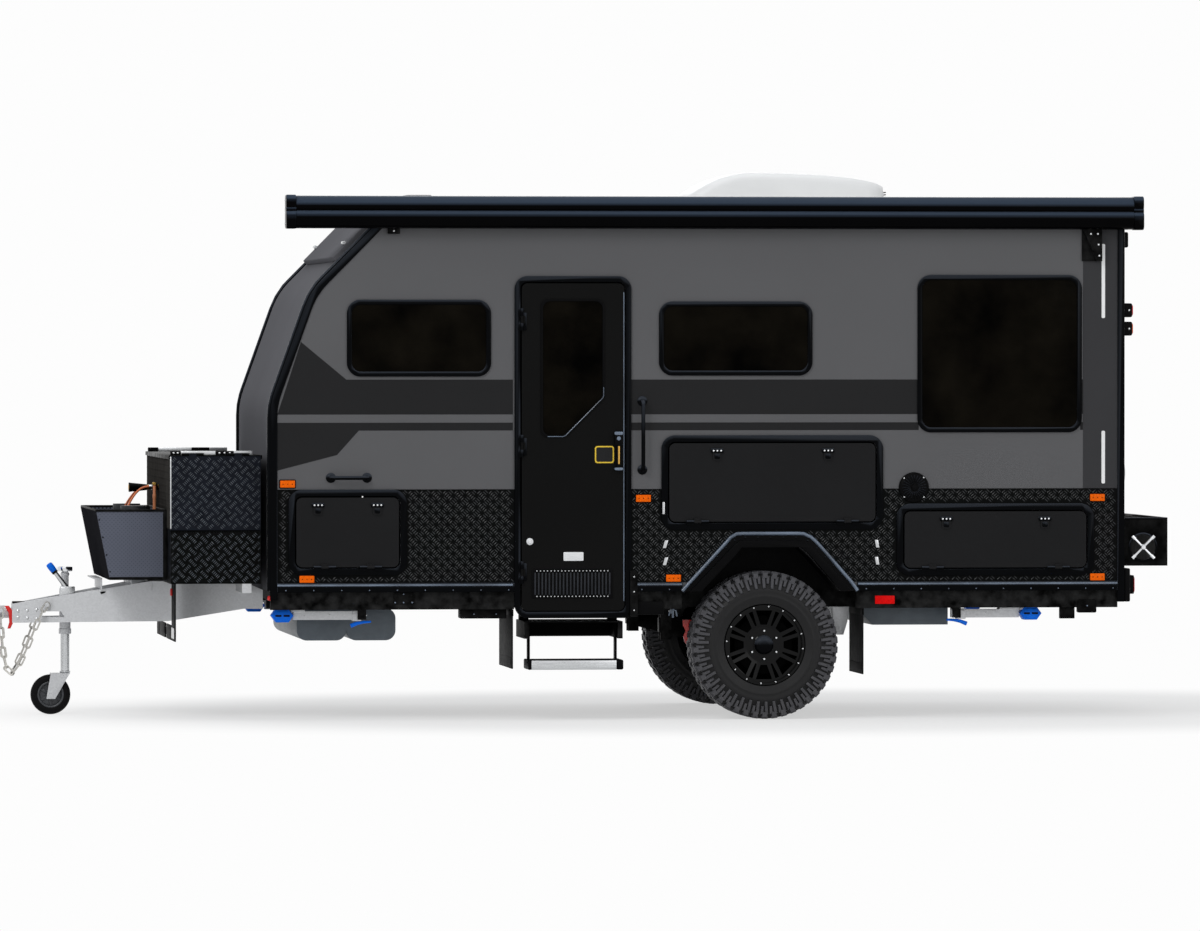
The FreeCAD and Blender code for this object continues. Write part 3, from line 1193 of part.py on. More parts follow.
def make_jockey():
    """Jockey stand: sleeve in its clamp, sliding stem with swivelling fork, and the wheel."""
    wall = s.jockey_clamp_t
    sleeve = rod("jockey_tube", "z", s.jockey_sleeve_r, s.jockey_neck_z - s.jockey_sleeve_foot_z,
                 s.jockey_x, 0, s.jockey_sleeve_foot_z)
    neck = rod("jockey_neck", "z", s.jockey_neck_r, s.jockey_head_z - s.jockey_neck_z, s.jockey_x, 0, s.jockey_neck_z)
    knob = rod("jockey_knob", "z", s.jockey_knob_r, s.jockey_knob_h, s.jockey_x, 0, s.jockey_head_z)
    flange_z = s.drawbar_nose_top_z + s.seat_gap
    flange = rod("jockey_flange", "z", s.jockey_flange_r, wall, s.jockey_x, 0, flange_z)
    bore = rod("jockey_bore", "z", s.jockey_stem_r + s.jockey_slide_gap,
               s.jockey_neck_z - s.jockey_sleeve_foot_z - wall, s.jockey_x, 0, s.jockey_sleeve_foot_z)
    node("jockey_sleeve", less("jockey_sleeve_cut", joined("jockey_sleeve_solid", [sleeve, neck, knob, flange]), [bore]))
    plate_y = s.jockey_wheel_w / 2 + s.jockey_fork_gap
    fork_top = s.jockey_wheel_r * 2 + s.jockey_fork_gap
    stem = rod("jockey_stem", "z", s.jockey_stem_r, s.jockey_sleeve_foot_z - fork_top,
               s.jockey_x, 0, fork_top)
    node("jockey_stem", stem)
    wheel_x = s.jockey_x - s.jockey_trail
    crown = block("fork_crown", (wheel_x, s.jockey_x + s.jockey_stem_r),
                  (-plate_y - s.jockey_fork_t, plate_y + s.jockey_fork_t),
                  (fork_top - s.jockey_fork_t - s.jockey_slide_gap, fork_top - s.jockey_slide_gap))
    cheek = prism("fork_cheek", "xz", [
        (wheel_x - s.jockey_stem_r, s.jockey_wheel_r - s.jockey_stem_r),
        (wheel_x + s.jockey_stem_r, s.jockey_wheel_r - s.jockey_stem_r),
        (s.jockey_x + s.jockey_stem_r, fork_top - s.jockey_slide_gap),
        (wheel_x, fork_top - s.jockey_slide_gap),
    ], -plate_y - s.jockey_fork_t, -plate_y)
    far_cheek = prism("fork_cheek_far", "xz", [
        (wheel_x - s.jockey_stem_r, s.jockey_wheel_r - s.jockey_stem_r),
        (wheel_x + s.jockey_stem_r, s.jockey_wheel_r - s.jockey_stem_r),
        (s.jockey_x + s.jockey_stem_r, fork_top - s.jockey_slide_gap),
        (wheel_x, fork_top - s.jockey_slide_gap),
    ], plate_y, plate_y + s.jockey_fork_t)
    pin = rod("jockey_pin", "y", s.jockey_pin_r, plate_y * 2 + s.jockey_fork_t * 2,
              wheel_x, -plate_y - s.jockey_fork_t, s.jockey_wheel_r)
    node("jockey_fork", joined("jockey_fork", [crown, cheek, far_cheek, pin]))
    half = s.jockey_wheel_w / 2
    tyre = turned("jockey_wheel", [
        (-half, s.jockey_pin_r + s.bearing_gap),
        (half, s.jockey_pin_r + s.bearing_gap),
        (half, s.jockey_wheel_r * JOCKEY_SHOULDER_SHARES[1]),
        (half * JOCKEY_SHOULDER_SHARES[0], s.jockey_wheel_r),
        (-half * JOCKEY_SHOULDER_SHARES[0], s.jockey_wheel_r),
        (-half, s.jockey_wheel_r * JOCKEY_SHOULDER_SHARES[1]),
    ], wheel_x, 0, s.jockey_wheel_r)
    node("jockey_wheel", tyre)


SPOKES = 8
WINDOW_TURN_SHARES = (0.30, 0.20)
SLOT_TURN_SHARES = (0.075, 0.05)
LUGS = 18
LUG_TURN_SHARES = (0.30, 0.24)
SIDEWALL_SHARES = ((0.80, 0.0), (1.0, 0.45), (0.93, 0.80))
ROW_SHARES = ((-0.86, -0.42), (-0.36, -0.03), (0.03, 0.36), (0.42, 0.86))
JOCKEY_SHOULDER_SHARES = (0.6, 0.9)
HUB_RING_SHARE = 0.62


def on_circle(radius, turn):
    """A point of a circle in the XZ plane, by its share of a full turn."""
    angle = 2 * math.pi * turn
    return (radius * math.sin(angle), radius * math.cos(angle))


def spoke_window(name, middle, shares, radii, low, high):
    """A cutter between two spokes: wide at the outer radius and narrow at the inner."""
    pitch = 1 / SPOKES
    corners = [on_circle(radii[1], middle - shares[0] * pitch), on_circle(radii[1], middle + shares[0] * pitch),
               on_circle(radii[0], middle + shares[1] * pitch), on_circle(radii[0], middle - shares[1] * pitch)]
    return prism(name, "xz", corners, low, high)


def wheel_disc(prefix, disc, inner):
    """The wheel's dished disc with eight twin spokes and its studs."""
    dish = disc + s.rim_dish
    face = turned(prefix + "_disc", [
        (disc, inner), (disc + s.rim_disc_t, inner),
        (dish + s.rim_disc_t, s.hub_flange_r), (dish + s.rim_disc_t, s.spindle_r + s.bearing_gap),
        (dish, s.spindle_r + s.bearing_gap), (dish, s.hub_flange_r), (disc, inner - s.rim_edge_w),
    ], 0, 0, 0)
    radii = (s.hub_flange_r + s.rim_edge_w, inner - s.rim_edge_w)
    cuts = []
    for i in range(SPOKES):
        turn = i / SPOKES
        for shares, middle in ((WINDOW_TURN_SHARES, turn), (SLOT_TURN_SHARES, turn + 1 / (2 * SPOKES))):
            cuts.append(spoke_window(prefix + "_window", middle, shares, radii,
                                     disc - s.overrun, dish + s.rim_disc_t + s.overrun))
    studs = []
    for i in range(6):
        x, z = on_circle(s.bolt_circle_r, i / 6)
        studs.append(rod(prefix + "_stud", "y", s.stud_r, s.stud_h, x, dish - s.stud_h, z))
    return less(prefix + "_spokes", face, cuts), studs, dish


def facet_ring(name, rings, count):
    """A solid ring of flat facets through circles given as places along Y and radii."""
    faces = []
    loops = []
    for y, radius in rings:
        loops.append([Vector(radius * math.sin(2 * math.pi * i / count), y, radius * math.cos(2 * math.pi * i / count))
                      for i in range(count)])
    for one, two in zip(loops, loops[1:] + loops[:1]):
        for i in range(count):
            j = (i + 1) % count
            faces.append(Part.Face(Part.makePolygon([one[i], one[j], two[j], two[i], one[i]])))
    thing = doc.addObject("Part::Feature", name)
    thing.Shape = Part.Solid(Part.Shell(faces))
    return thing


def tyre_shape(prefix):
    """The tyre: a facetted carcass and four staggered rows of tread lugs."""
    half = float(s.tyre_w) / 2
    bead = float(s.rim_r + s.seat_gap) / math.cos(math.pi / (LUGS * 2))
    wall = float(s.wheel_r) - bead
    tread = float(s.wheel_r - s.lug_h)
    near = [(-half * across, bead + wall * out) for across, out in SIDEWALL_SHARES]
    near.append((-half * ROW_SHARES[3][1], tread))
    far = [(-y, radius) for y, radius in reversed(near)]
    carcass = facet_ring(prefix + "_carcass", near + far, LUGS * 2)
    pieces = [carcass]
    pitch = 1 / LUGS
    foot = tread - float(s.lug_h)
    tip = float(s.wheel_r) / math.cos(math.pi * LUG_TURN_SHARES[1] * pitch)
    for row, (start, end) in enumerate(ROW_SHARES):
        offset = pitch / 2 * (row % 2)
        for i in range(LUGS):
            middle = i * pitch + offset
            corners = [on_circle(foot, middle - LUG_TURN_SHARES[0] * pitch), on_circle(foot, middle + LUG_TURN_SHARES[0] * pitch),
                       on_circle(tip, middle + LUG_TURN_SHARES[1] * pitch), on_circle(tip, middle - LUG_TURN_SHARES[1] * pitch)]
            wire = Part.makePolygon([Vector(x, half * start, z) for x, z in corners + corners[:1]])
            lug = doc.addObject("Part::Feature", prefix + "_lug")
            lug.Shape = Part.Face(wire).extrude(Vector(0, half * (end - start), 0))
            pieces.append(lug)
    thing = doc.addObject("Part::Feature", prefix + "_tyre")
    thing.Shape = carcass.Shape.multiFuse([piece.Shape for piece in pieces[1:]]).Solids[0]
    for piece in pieces:
        doc.removeObject(piece.Name)
    return thing


def wheel_pieces(prefix):
    """A tyre and a rim about an axis along Y, outer side towards -Y."""
    bead = s.rim_r
    tyre = tyre_shape(prefix)
    rim_half = s.rim_w / 2
    inner = s.rim_r - s.rim_barrel_t
    disc = -rim_half + s.rim_disc_inset
    barrel = turned(prefix + "_barrel", [
        (-rim_half, inner), (-rim_half, bead), (rim_half, bead), (rim_half, inner),
    ], 0, 0, 0)
    spokes, studs, dish = wheel_disc(prefix, disc, inner)
    hub = turned(prefix + "_hub", [
        (dish - s.hub_cap_h, 0),
        (dish - s.hub_cap_h, s.hub_r * HUB_RING_SHARE),
        (dish - s.hub_cap_h / 2, s.hub_r),
        (dish, s.hub_r),
        (dish, 0),
    ], 0, 0, 0)
    return tyre, [barrel, spokes, hub] + studs, dish


def make_wheels():
    """Road wheels on both sides."""
    centre_y = tyre_y - s.tyre_w / 2
    tyre, rim_parts, disc = wheel_pieces("road")
    drum = turned("brake_drum", [
        (disc + s.rim_disc_t, s.spindle_r + s.bearing_gap),
        (disc + s.rim_disc_t, s.drum_r),
        (disc + s.rim_disc_t + s.drum_w, s.drum_r),
        (disc + s.rim_disc_t + s.drum_w, s.spindle_r + s.bearing_gap),
    ], 0, 0, 0)
    wheel = joined("road_rim_whole", rim_parts + [drum])
    for side, name in ((-1, "left"), (1, "right")):
        for piece, source in (("tyre", tyre), ("rim", wheel)):
            if side < 0:
                copy = doc.addObject("Part::Compound", "%s_%s" % (name, piece))
                copy.Links = [source]
                place(copy, s.axle_x, -centre_y, s.wheel_r)
            else:
                flipped = other_side("%s_%s_flip" % (name, piece), source)
                copy = doc.addObject("Part::Compound", "%s_%s" % (name, piece))
                copy.Links = [flipped]
                place(copy, s.axle_x, centre_y, s.wheel_r)
            node("%s_%s" % (name, piece), copy)


def make_suspension():
    """Trailing arms with their hangers, springs and spindles."""
    centre_y = tyre_y - s.tyre_w / 2
    disc_inner_y = -centre_y - s.rim_w / 2 + s.rim_disc_inset + s.rim_dish
    arm_span = (-arm_y, -arm_y + s.arm_w)
    arm = prism("trailing_arm", "xz", [
        (s.arm_pivot_x - s.arm_pivot_r, s.arm_pivot_z - s.arm_pivot_r),
        (s.axle_x - s.arm_h, s.wheel_r - s.arm_h / 2),
        (s.axle_x + s.arm_h, s.wheel_r - s.arm_h / 2),
        (s.axle_x + s.arm_h, s.wheel_r + s.arm_h / 2),
        (s.arm_pivot_x - s.arm_pivot_r, s.arm_pivot_z + s.arm_pivot_r),
    ], arm_span[0], arm_span[1])
    spindle_end = disc_inner_y + s.spindle_gap
    spindle = rod("spindle", "y", s.spindle_r, -arm_y - spindle_end, s.axle_x, spindle_end, s.wheel_r)
    spring = rod("spring", "z", s.spring_r, s.wall_foot_z - s.rail_h - s.wheel_r - s.arm_h / 2,
                 s.spring_x, -arm_y + s.arm_w / 2, s.wheel_r + s.arm_h / 2)
    side = joined("arm_and_spindle", [arm, spindle, spring])
    node("suspension", grouped("suspension", both("suspension_twin", side)))


def gas_regulator():
    """Regulator, fitting and riser on the box's front face."""
    cone = doc.addObject("Part::Cone", "gas_cone")
    cone.Placement.Rotation = TURNS["x"]
    bind(cone, "Radius1", s.gas_cone_r)
    bind(cone, "Radius2", s.gas_cone_tip_r)
    bind(cone, "Height", s.gas_cone_l - s.gas_cone_shoulder)
    place(cone, s.box_x0 - s.gas_cone_l, 0, s.gas_z)
    neck = rod("gas_neck", "x", s.gas_neck_r, s.gas_cone_l - s.box_t, s.box_x0 - s.gas_cone_l + s.box_t, 0, s.gas_z)
    fitting_x = s.box_x0 - s.gas_fitting_in
    fitting_top = s.gas_z + s.gas_fitting_h / 2
    half = s.gas_fitting_w / 2
    fitting = block("gas_fitting", (fitting_x - s.gas_fitting_l + s.gas_fitting_in, fitting_x), (-half, half),
                    (fitting_top - s.gas_fitting_h, fitting_top))
    foot = s.basket_z0 + s.basket_t + s.seat_gap
    riser = rod("gas_riser", "z", s.riser_r, fitting_top + s.riser_over - foot, fitting_x - s.gas_fitting_l / 2,
                -half - s.riser_r / 2, foot)
    return [cone, neck, fitting, riser]


# The gas hose on the near side, from the fitting to the bottle's valve.
HOSE_ROUTE = (
    (-2265.3, -45, 1246),
    (-2302, -45, 1246),
    (-2343, -58, 1225),
    (-2377, -80, 1183),
    (-2403, -109, 1138),
    (-2413, -136, 1104),
    (-2406, -168, 1081),
    (-2391, -196, 1071),
    (-2382, -216, 1070),
    (-2382, -234.7, 1070),
)
HOSE_ARC_SHARE = 0.45


def hose_path(points):
    """Straight runs joined by tangent arcs along a hose's route."""
    edges = []
    start = points[0]
    for before, corner, after in zip(points, points[1:], points[2:]):
        back = before - corner
        ahead = after - corner
        half_turn = (math.pi - back.getAngle(ahead)) / 2
        reach = HOSE_ARC_SHARE * min(back.Length, ahead.Length)
        radius = reach / math.tan(half_turn)
        back.normalize()
        ahead.normalize()
        inwards = (back + ahead).normalize()
        first = corner + back * reach
        last = corner + ahead * reach
        middle = corner + inwards * (radius / math.cos(half_turn) - radius)
        edges += [Part.LineSegment(start, first).toShape(), Part.Arc(first, middle, last).toShape()]
        print("hose arc radius %.0f" % radius)
        start = last
    edges.append(Part.LineSegment(start, points[-1]).toShape())
    return Part.Wire(edges)


def make_hoses():
    """Gas hoses from the fitting to the two bottles."""
    radius = float(s.hose_r)
    for name, side in (("gas_hose_left", 1), ("gas_hose_right", -1)):
        points = [Vector(x, y * side, z) for x, y, z in HOSE_ROUTE]
        path = hose_path(points)
        circle = Part.Wire(Part.makeCircle(radius, points[0], points[1] - points[0]))
        thing = doc.addObject("Part::Feature", name)
        thing.Shape = path.makePipeShell([circle], True, False)
        print(name, "length %.0f" % path.Length, "volume share %.3f" % (thing.Shape.Volume / (math.pi * radius ** 2 * path.Length)))
        node(name, thing)


def make_front_box():
    """Tread-plate box across the drawbar with a top-hinged door at each end."""
    body_y = s.box_y - s.box_door_t
    outer = block("box_outer", (s.box_x0, s.box_x1), (-body_y, body_y), (s.drawbar_top_z, s.box_z1))
    hollow = block("box_hollow", (s.box_x0 + s.box_t, s.box_x1 - s.box_t), (-body_y + s.box_t, body_y - s.box_t),
                   (s.drawbar_top_z + s.box_t, s.box_z1 - s.box_t))
    mouth = block("box_mouth", (s.box_x0 + s.box_t * 4, s.box_x1 - s.box_t * 4), (-s.box_y, s.box_y),
                  (s.box_split_z + s.box_t * 4, s.box_z1 - s.box_t * 6))
    lower = block("box_lower", (s.box_x0, s.box_x1), (-s.box_y, -body_y), (s.drawbar_top_z, s.box_split_z - s.move_gap))
    axis = (-body_y - s.hinge_gap * 2, s.box_z1 + s.hinge_r + s.hinge_gap)
    pins = []
    barrels = []
    for low in (s.box_x0 + s.hinge_l / 2, s.box_x1 - s.hinge_l * 3 / 2):
        held, barrel = hinge("x", (low, low + s.hinge_l), axis,
                             ((axis[0], axis[0] + s.hinge_leaf), (s.box_z1, axis[1])),
                             ((-s.box_y, axis[0]), (s.box_z1, axis[1])))
        pins += held
        barrels.append(barrel)
    pin_set = joined("box_pins", pins)
    node("front_box", joined("front_box", [less("box_shell", outer, [hollow, mouth])]
                             + both("box_lower_twin", lower) + both("box_pins_twin", pin_set) + gas_regulator()))
    slab = block("box_door", (s.box_x0, s.box_x1), (-s.box_y, -body_y - s.box_t), (s.box_split_z, s.box_z1))
    door = joined("box_door_left", [slab] + barrels)
    node("box_door_left", door)
    node("box_door_right", other_side("box_door_far", door))


def make_basket():
    """Open basket of perforated sheet ahead of the box, with two gas bottles."""
    side = prism("basket_outer", "xz", [
        (s.basket_foot_x0, s.basket_z0),
        (s.box_x0, s.basket_z0),
        (s.box_x0, s.basket_z1),
        (s.basket_x0, s.basket_z1),
    ], -s.basket_y, s.basket_y)
    hollow = prism("basket_inner", "xz", [
        (s.basket_foot_x0 + s.basket_t, s.basket_z0 + s.basket_t),
        (s.box_x0 - s.basket_t, s.basket_z0 + s.basket_t),
        (s.box_x0 - s.basket_t, s.basket_z1 + s.overrun),
        (s.basket_x0 + s.basket_t, s.basket_z1 + s.overrun),
    ], -s.basket_y + s.basket_t, s.basket_y - s.basket_t)
    node("front_basket", less("front_basket", side, [hollow]))
    foot = s.basket_z0 + s.basket_t
    bottle = doc.addObject("Part::Cylinder", "bottle_body")
    bind(bottle, "Radius", s.bottle_r)
    bind(bottle, "Height", s.bottle_h - s.bottle_dome_h)
    place(bottle, s.bottle_x, -s.bottle_y, foot)
    dome = doc.addObject("Part::Cone", "bottle_dome")
    bind(dome, "Radius1", s.bottle_r)
    bind(dome, "Radius2", s.bottle_collar_r)
    bind(dome, "Height", s.bottle_dome_h)
    place(dome, s.bottle_x, -s.bottle_y, foot + s.bottle_h - s.bottle_dome_h)
    collar = rod("bottle_collar", "z", s.bottle_collar_r, s.bottle_collar_h, s.bottle_x, -s.bottle_y, foot + s.bottle_h)
    valve = rod("bottle_valve", "y", s.valve_r, s.bottle_collar_r + s.valve_l, s.bottle_x, -s.bottle_y, s.valve_z)
    whole = joined("bottle", [bottle, dome, collar, valve])
    node("gas_bottles", grouped("gas_bottles", both("bottle_twin", whole)))


def awning_profile(name, front, back, low, high, start, end):
    """A length of the awning's case, flat at the wall and round at the front."""
    return prism(name, "yz", [(front, low), (back, low), (back, high), (front, high)], start, end,
                 {0: s.awning_r, 3: s.awning_r})


def make_roof_fittings():
    """Awning, air conditioner, roof hatch and nose fairing."""
    back = near_y - s.trim_t
    front = back - s.awning_y
    case = awning_profile("awning_case", front, back, s.awning_z0, s.awning_z1, s.awning_x0, awning_x1)
    groove = block("awning_groove", (s.awning_x0 + s.awning_cap, awning_x1 - s.awning_cap),
                   (front - s.overrun, front + s.groove_t), (s.groove_z, s.groove_z + s.groove_h))
    out = s.awning_cap_out
    caps = [awning_profile("awning_end", front - out, back, s.awning_z0 - out, s.awning_z1 + out, low, low + s.awning_cap)
            for low in (s.awning_x0, awning_x1 - s.awning_cap)]
    arm = block("awning_arm", (awning_arm_x - s.awning_arm_w / 2, awning_arm_x + s.awning_arm_w / 2),
                (near_y - s.trim_w, near_y), (s.awning_arm_z, s.awning_z0))
    node("awning", joined("awning", [less("awning_grooved", case, [groove]), arm] + caps))
    side = prism("cooler_side", "xz", [
        (s.cooler_x0, s.roof_z), (s.cooler_x1, s.roof_z), (s.cooler_x1, s.roof_z + s.cooler_tail_h),
        (s.cooler_crest_x, s.cooler_z), (s.cooler_x0, s.roof_z + s.cooler_nose_h),
    ], -s.cooler_y, s.cooler_y)
    front_view = prism("cooler_front", "yz", rectangle((-s.cooler_y, s.cooler_y), (s.roof_z, s.cooler_z)),
                       s.cooler_x0, s.cooler_x1, {2: s.cooler_r, 3: s.cooler_r})
    plan = rounded_slab("cooler_plan", "xy", (s.cooler_x0, s.cooler_x1), (-s.cooler_y, s.cooler_y),
                        s.roof_z, s.cooler_z, s.cooler_r)
    cooler = doc.addObject("Part::MultiCommon", "cooler")
    cooler.Shapes = [side, front_view, plan]
    node("roof_air_conditioner", cooler)
    half = s.skylight_size / 2
    hatch = rounded_slab("skylight", "xy", (s.skylight_x - half, s.skylight_x + half), (-half, half),
                         s.roof_z, s.roof_z + s.skylight_h, s.stern_r)
    slope = (s.roof_z - s.bend_z) / (s.brow_x - s.bend_x)
    line = [(s.fairing_x0, s.bend_z + (s.fairing_x0 - s.bend_x) * slope), PROFILE[3], (s.fairing_x1, s.roof_z)]
    fairing = strip("fairing", line, [0, s.brow_r, 0], s.fairing_t, -s.fairing_y, s.fairing_y, outwards=True)
    node("roof_hatches", grouped("roof_hatches", [hatch, fairing]))


def make_below():
    """Water tanks, tank guard, mud flaps and the step."""
    lobe = (s.tank_x1 - s.tank_x0) / 2
    lobes = [rounded_slab("tank_lobe", "xz", (low, low + lobe), (s.tank_z0, s.wall_foot_z - s.rail_h),
                          -tank_y, tank_y, s.tank_r / 2) for low in (s.tank_x0, s.tank_x0 + lobe)]
    web = block("tank_web", (s.tank_x0 + s.tank_r, s.tank_x1 - s.tank_r), (-tank_y, tank_y),
                (s.tank_z0 + s.tank_r / 2, s.wall_foot_z - s.rail_h))
    tank = joined("front_tank", lobes + [web])
    guard = prism("rear_guard", "xz", [
        (s.guard_x0 + s.guard_slope, s.guard_z), (s.guard_x1, s.guard_z), (s.guard_x1, s.wall_foot_z - s.rail_h),
        (s.guard_x0, s.wall_foot_z - s.rail_h),
    ], -tank_y, tank_y)
    node("water_tanks", grouped("water_tanks", [tank, guard]))
    under = s.wall_foot_z - s.rail_h
    front_x = s.drawbar_crown_x + s.drawbar_w * 2 + s.seat_gap
    rail_y = rail_out(front_x)
    front = block("flap_front", (front_x, front_x + s.flap_t), (-s.flap_front_y1, -s.flap_front_y0),
                  (s.flap_front_z0, s.drawbar_top_z))
    slot = block("flap_slot", (front_x - s.overrun, front_x + s.overrun),
                 (-rail_y - s.move_gap, -rail_y + s.drawbar_w + s.move_gap),
                 (s.drawbar_belly_z - s.overrun, s.drawbar_top_z + s.overrun))
    flaps = [
        less("flap_front_cut", front, [slot]),
        block("flap_step", (s.flap_step_x, s.flap_step_x + s.flap_t), (-s.half_width, -s.flap_step_y),
              (s.flap_step_z0, under)),
        block("flap_wheel", (s.flap_wheel_x, s.flap_wheel_x + s.flap_t), (-s.half_width, -s.flap_wheel_y),
              (s.flap_wheel_z0, under)),
    ]
    twins = [other_side("flap_twin", flap) for flap in flaps]
    node("mud_flaps", grouped("mud_flaps", flaps + twins))


def make_step():
    """Slide-out entry step under the door."""
    house_x = (s.step_house_x0, s.step_house_x1)
    house_span = (-house_y, -step_house_y0)
    house = block("step_house_outer", house_x, house_span, (s.step_house_z0, s.step_house_z1))
    hollow = block("step_house_inner", shrunk(house_x, s.step_house_t * 4),
                   (house_span[0] - s.overrun, house_span[1] - s.step_house_t),
                   (s.step_house_z0 - s.overrun, s.step_house_z1 - s.step_house_t))
    strap = block("step_strap", (house_x[0], house_x[0] + s.cross_w), (-rail_y, -rail_y + s.rail_w),
                  (s.step_house_z1, s.wall_foot_z - s.rail_h))
    strap_rear = block("step_strap_rear", (house_x[1] - s.cross_w, house_x[1]), (-rail_y, -rail_y + s.rail_w),
                       (s.step_house_z1, s.wall_foot_z - s.rail_h))
    node("step_housing", joined("step_housing", [less("step_house", house, [hollow]), strap, strap_rear]))
    tread = block("step_tread", (s.step_x0, s.step_x1), (-step_y, -step_y + s.step_depth), (s.step_z0, s.step_z1))
    inner_x = shrunk(house_x, s.step_house_t * 4 + s.seat_gap)
    step_arm_y = (-step_y + s.step_depth - s.step_arm_w, -step_y + s.step_depth)
    arms = [
        block("step_arm", (inner_x[0], inner_x[0] + s.step_arm_t), step_arm_y, (s.step_z1, s.step_house_z1 - s.step_house_t * 2)),
        block("step_arm", (inner_x[1] - s.step_arm_t, inner_x[1]), step_arm_y, (s.step_z1, s.step_house_z1 - s.step_house_t * 2)),
    ]
    node("entry_step", joined("entry_step", [tread] + arms))


STABILISERS = (
    ("front", s.leg_front_x1, s.leg_front_x0, -1),
    ("rear", s.leg_rear_x0, s.leg_rear_x1, 1),
)


def stabiliser_brackets():
    """Ears, pins and bridges that hold the four stabilisers under the chassis."""
    things = []
    half = s.leg_h / 2
    under = s.wall_foot_z - s.cross_h
    outer_y = -leg_y - s.leg_gap - s.leg_ear_t
    inner_y = -leg_y + s.leg_w + s.leg_gap
    for name, pivot, foot, sign in STABILISERS:
        x = (pivot - half, pivot + half)
        for y in (outer_y, inner_y):
            things += both("leg_ear_twin", block("leg_ear", x, (y, y + s.leg_ear_t), (s.leg_z, under)))
        pin = rod("leg_pin", "y", s.leg_pin_r, inner_y - outer_y, pivot, outer_y, s.leg_z + half)
        bridge = block("leg_bridge", x, (outer_y, -rail_y), (under - s.leg_ear_t, under))
        things += both("leg_pin_twin", pin) + both("leg_bridge_twin", bridge)
    return things


def make_stabilisers():
    """Four drop-down stabiliser legs."""
    middle_y = -leg_y + s.leg_w / 2
    middle_z = s.leg_z + s.leg_h / 2
    for name, pivot, foot, sign in STABILISERS:
        near = pivot - s.leg_h / 2 * sign
        channel_end = foot - s.leg_foot_l * sign
        span = (channel_end, near) if sign < 0 else (near, channel_end)
        channel = block("leg_channel", span, (-leg_y, -leg_y + s.leg_w), (s.leg_z, s.leg_z + s.leg_h))
        span = (foot, channel_end) if sign < 0 else (channel_end, foot)
        pad = block("leg_foot", span, (middle_y - s.leg_foot_w / 2, middle_y + s.leg_foot_w / 2),
                    (middle_z - s.leg_foot_h / 2, middle_z + s.leg_foot_h / 2))
        hole = rod("leg_hole", "y", s.leg_pin_r + s.bearing_gap, s.leg_w + s.overrun * 2, pivot,
                   -leg_y - s.overrun, middle_z)
        leg = less("leg_" + name, joined("leg_solid_" + name, [channel, pad]), [hole])
        node("stabiliser_%s_left" % name, leg)
        node("stabiliser_%s_right" % name, other_side("leg_right_" + name, leg))


def make_rear():
    """Bumper, carrier, lamps."""
    node("rear_bumper", block("rear_bumper", (s.rear_x, s.rear_x + s.bumper_t), (-s.half_width, s.half_width),
                              (s.bumper_z0, s.bumper_z1)))
    outer = block("carrier_outer", (s.rear_x, carrier_x), (-s.carrier_y, s.carrier_y), (s.carrier_z0, s.carrier_z1))
    hollow = block("carrier_inner", (s.rear_x + s.carrier_t, carrier_x - s.carrier_t),
                   (-s.carrier_y + s.carrier_t, s.carrier_y - s.carrier_t), (s.carrier_z0 + s.carrier_t, s.carrier_z1 + s.overrun))
    holes = rod("carrier_hole", "y", s.carrier_hole_r, s.carrier_y * 2 + s.overrun * 2, s.rear_x + s.carrier_hole_in,
                -s.carrier_y - s.overrun, s.carrier_hole_z)
    node("rear_carrier", less("rear_carrier", outer, [hollow, holes]))
    lamps = []
    for i in range(2):
        low = s.rear_block_z0 + s.rear_block_step * i
        lamps.append(block("rear_block", (s.rear_x, s.rear_x + s.rear_block_t),
                           (-s.rear_lamp_y - s.rear_lamp_w, -s.rear_lamp_y), (low, low + s.rear_block_h)))
    lamps.append(block("bumper_lamp", (s.rear_x + s.bumper_t, s.rear_x + s.bumper_t + s.rear_lamp_t),
                       (-s.rear_lamp_y - s.rear_lamp_w, -s.rear_lamp_y),
                       (s.bumper_z0 + s.trim_w, s.bumper_z1 - s.trim_w)))
    twins = [other_side("rear_lamp_twin", lamp) for lamp in lamps]
    pod = doc.addObject("Part::Feature", "rear_pod")
    sphere_r = (s.pod_r * s.pod_r / s.pod_t + s.pod_t) / 2
    ball = Part.makeSphere(float(sphere_r), Vector(float(s.rear_x + s.pod_t - sphere_r), 0, float(s.pod_z)))
    reach = float(sphere_r) * 2
    cutter = Part.makeBox(reach, reach * 2, reach * 2, Vector(float(s.rear_x), -reach, float(s.pod_z) - reach))
    pod.Shape = ball.common(cutter)
    node("rear_lamps", grouped("rear_lamps", lamps + twins + [pod]))


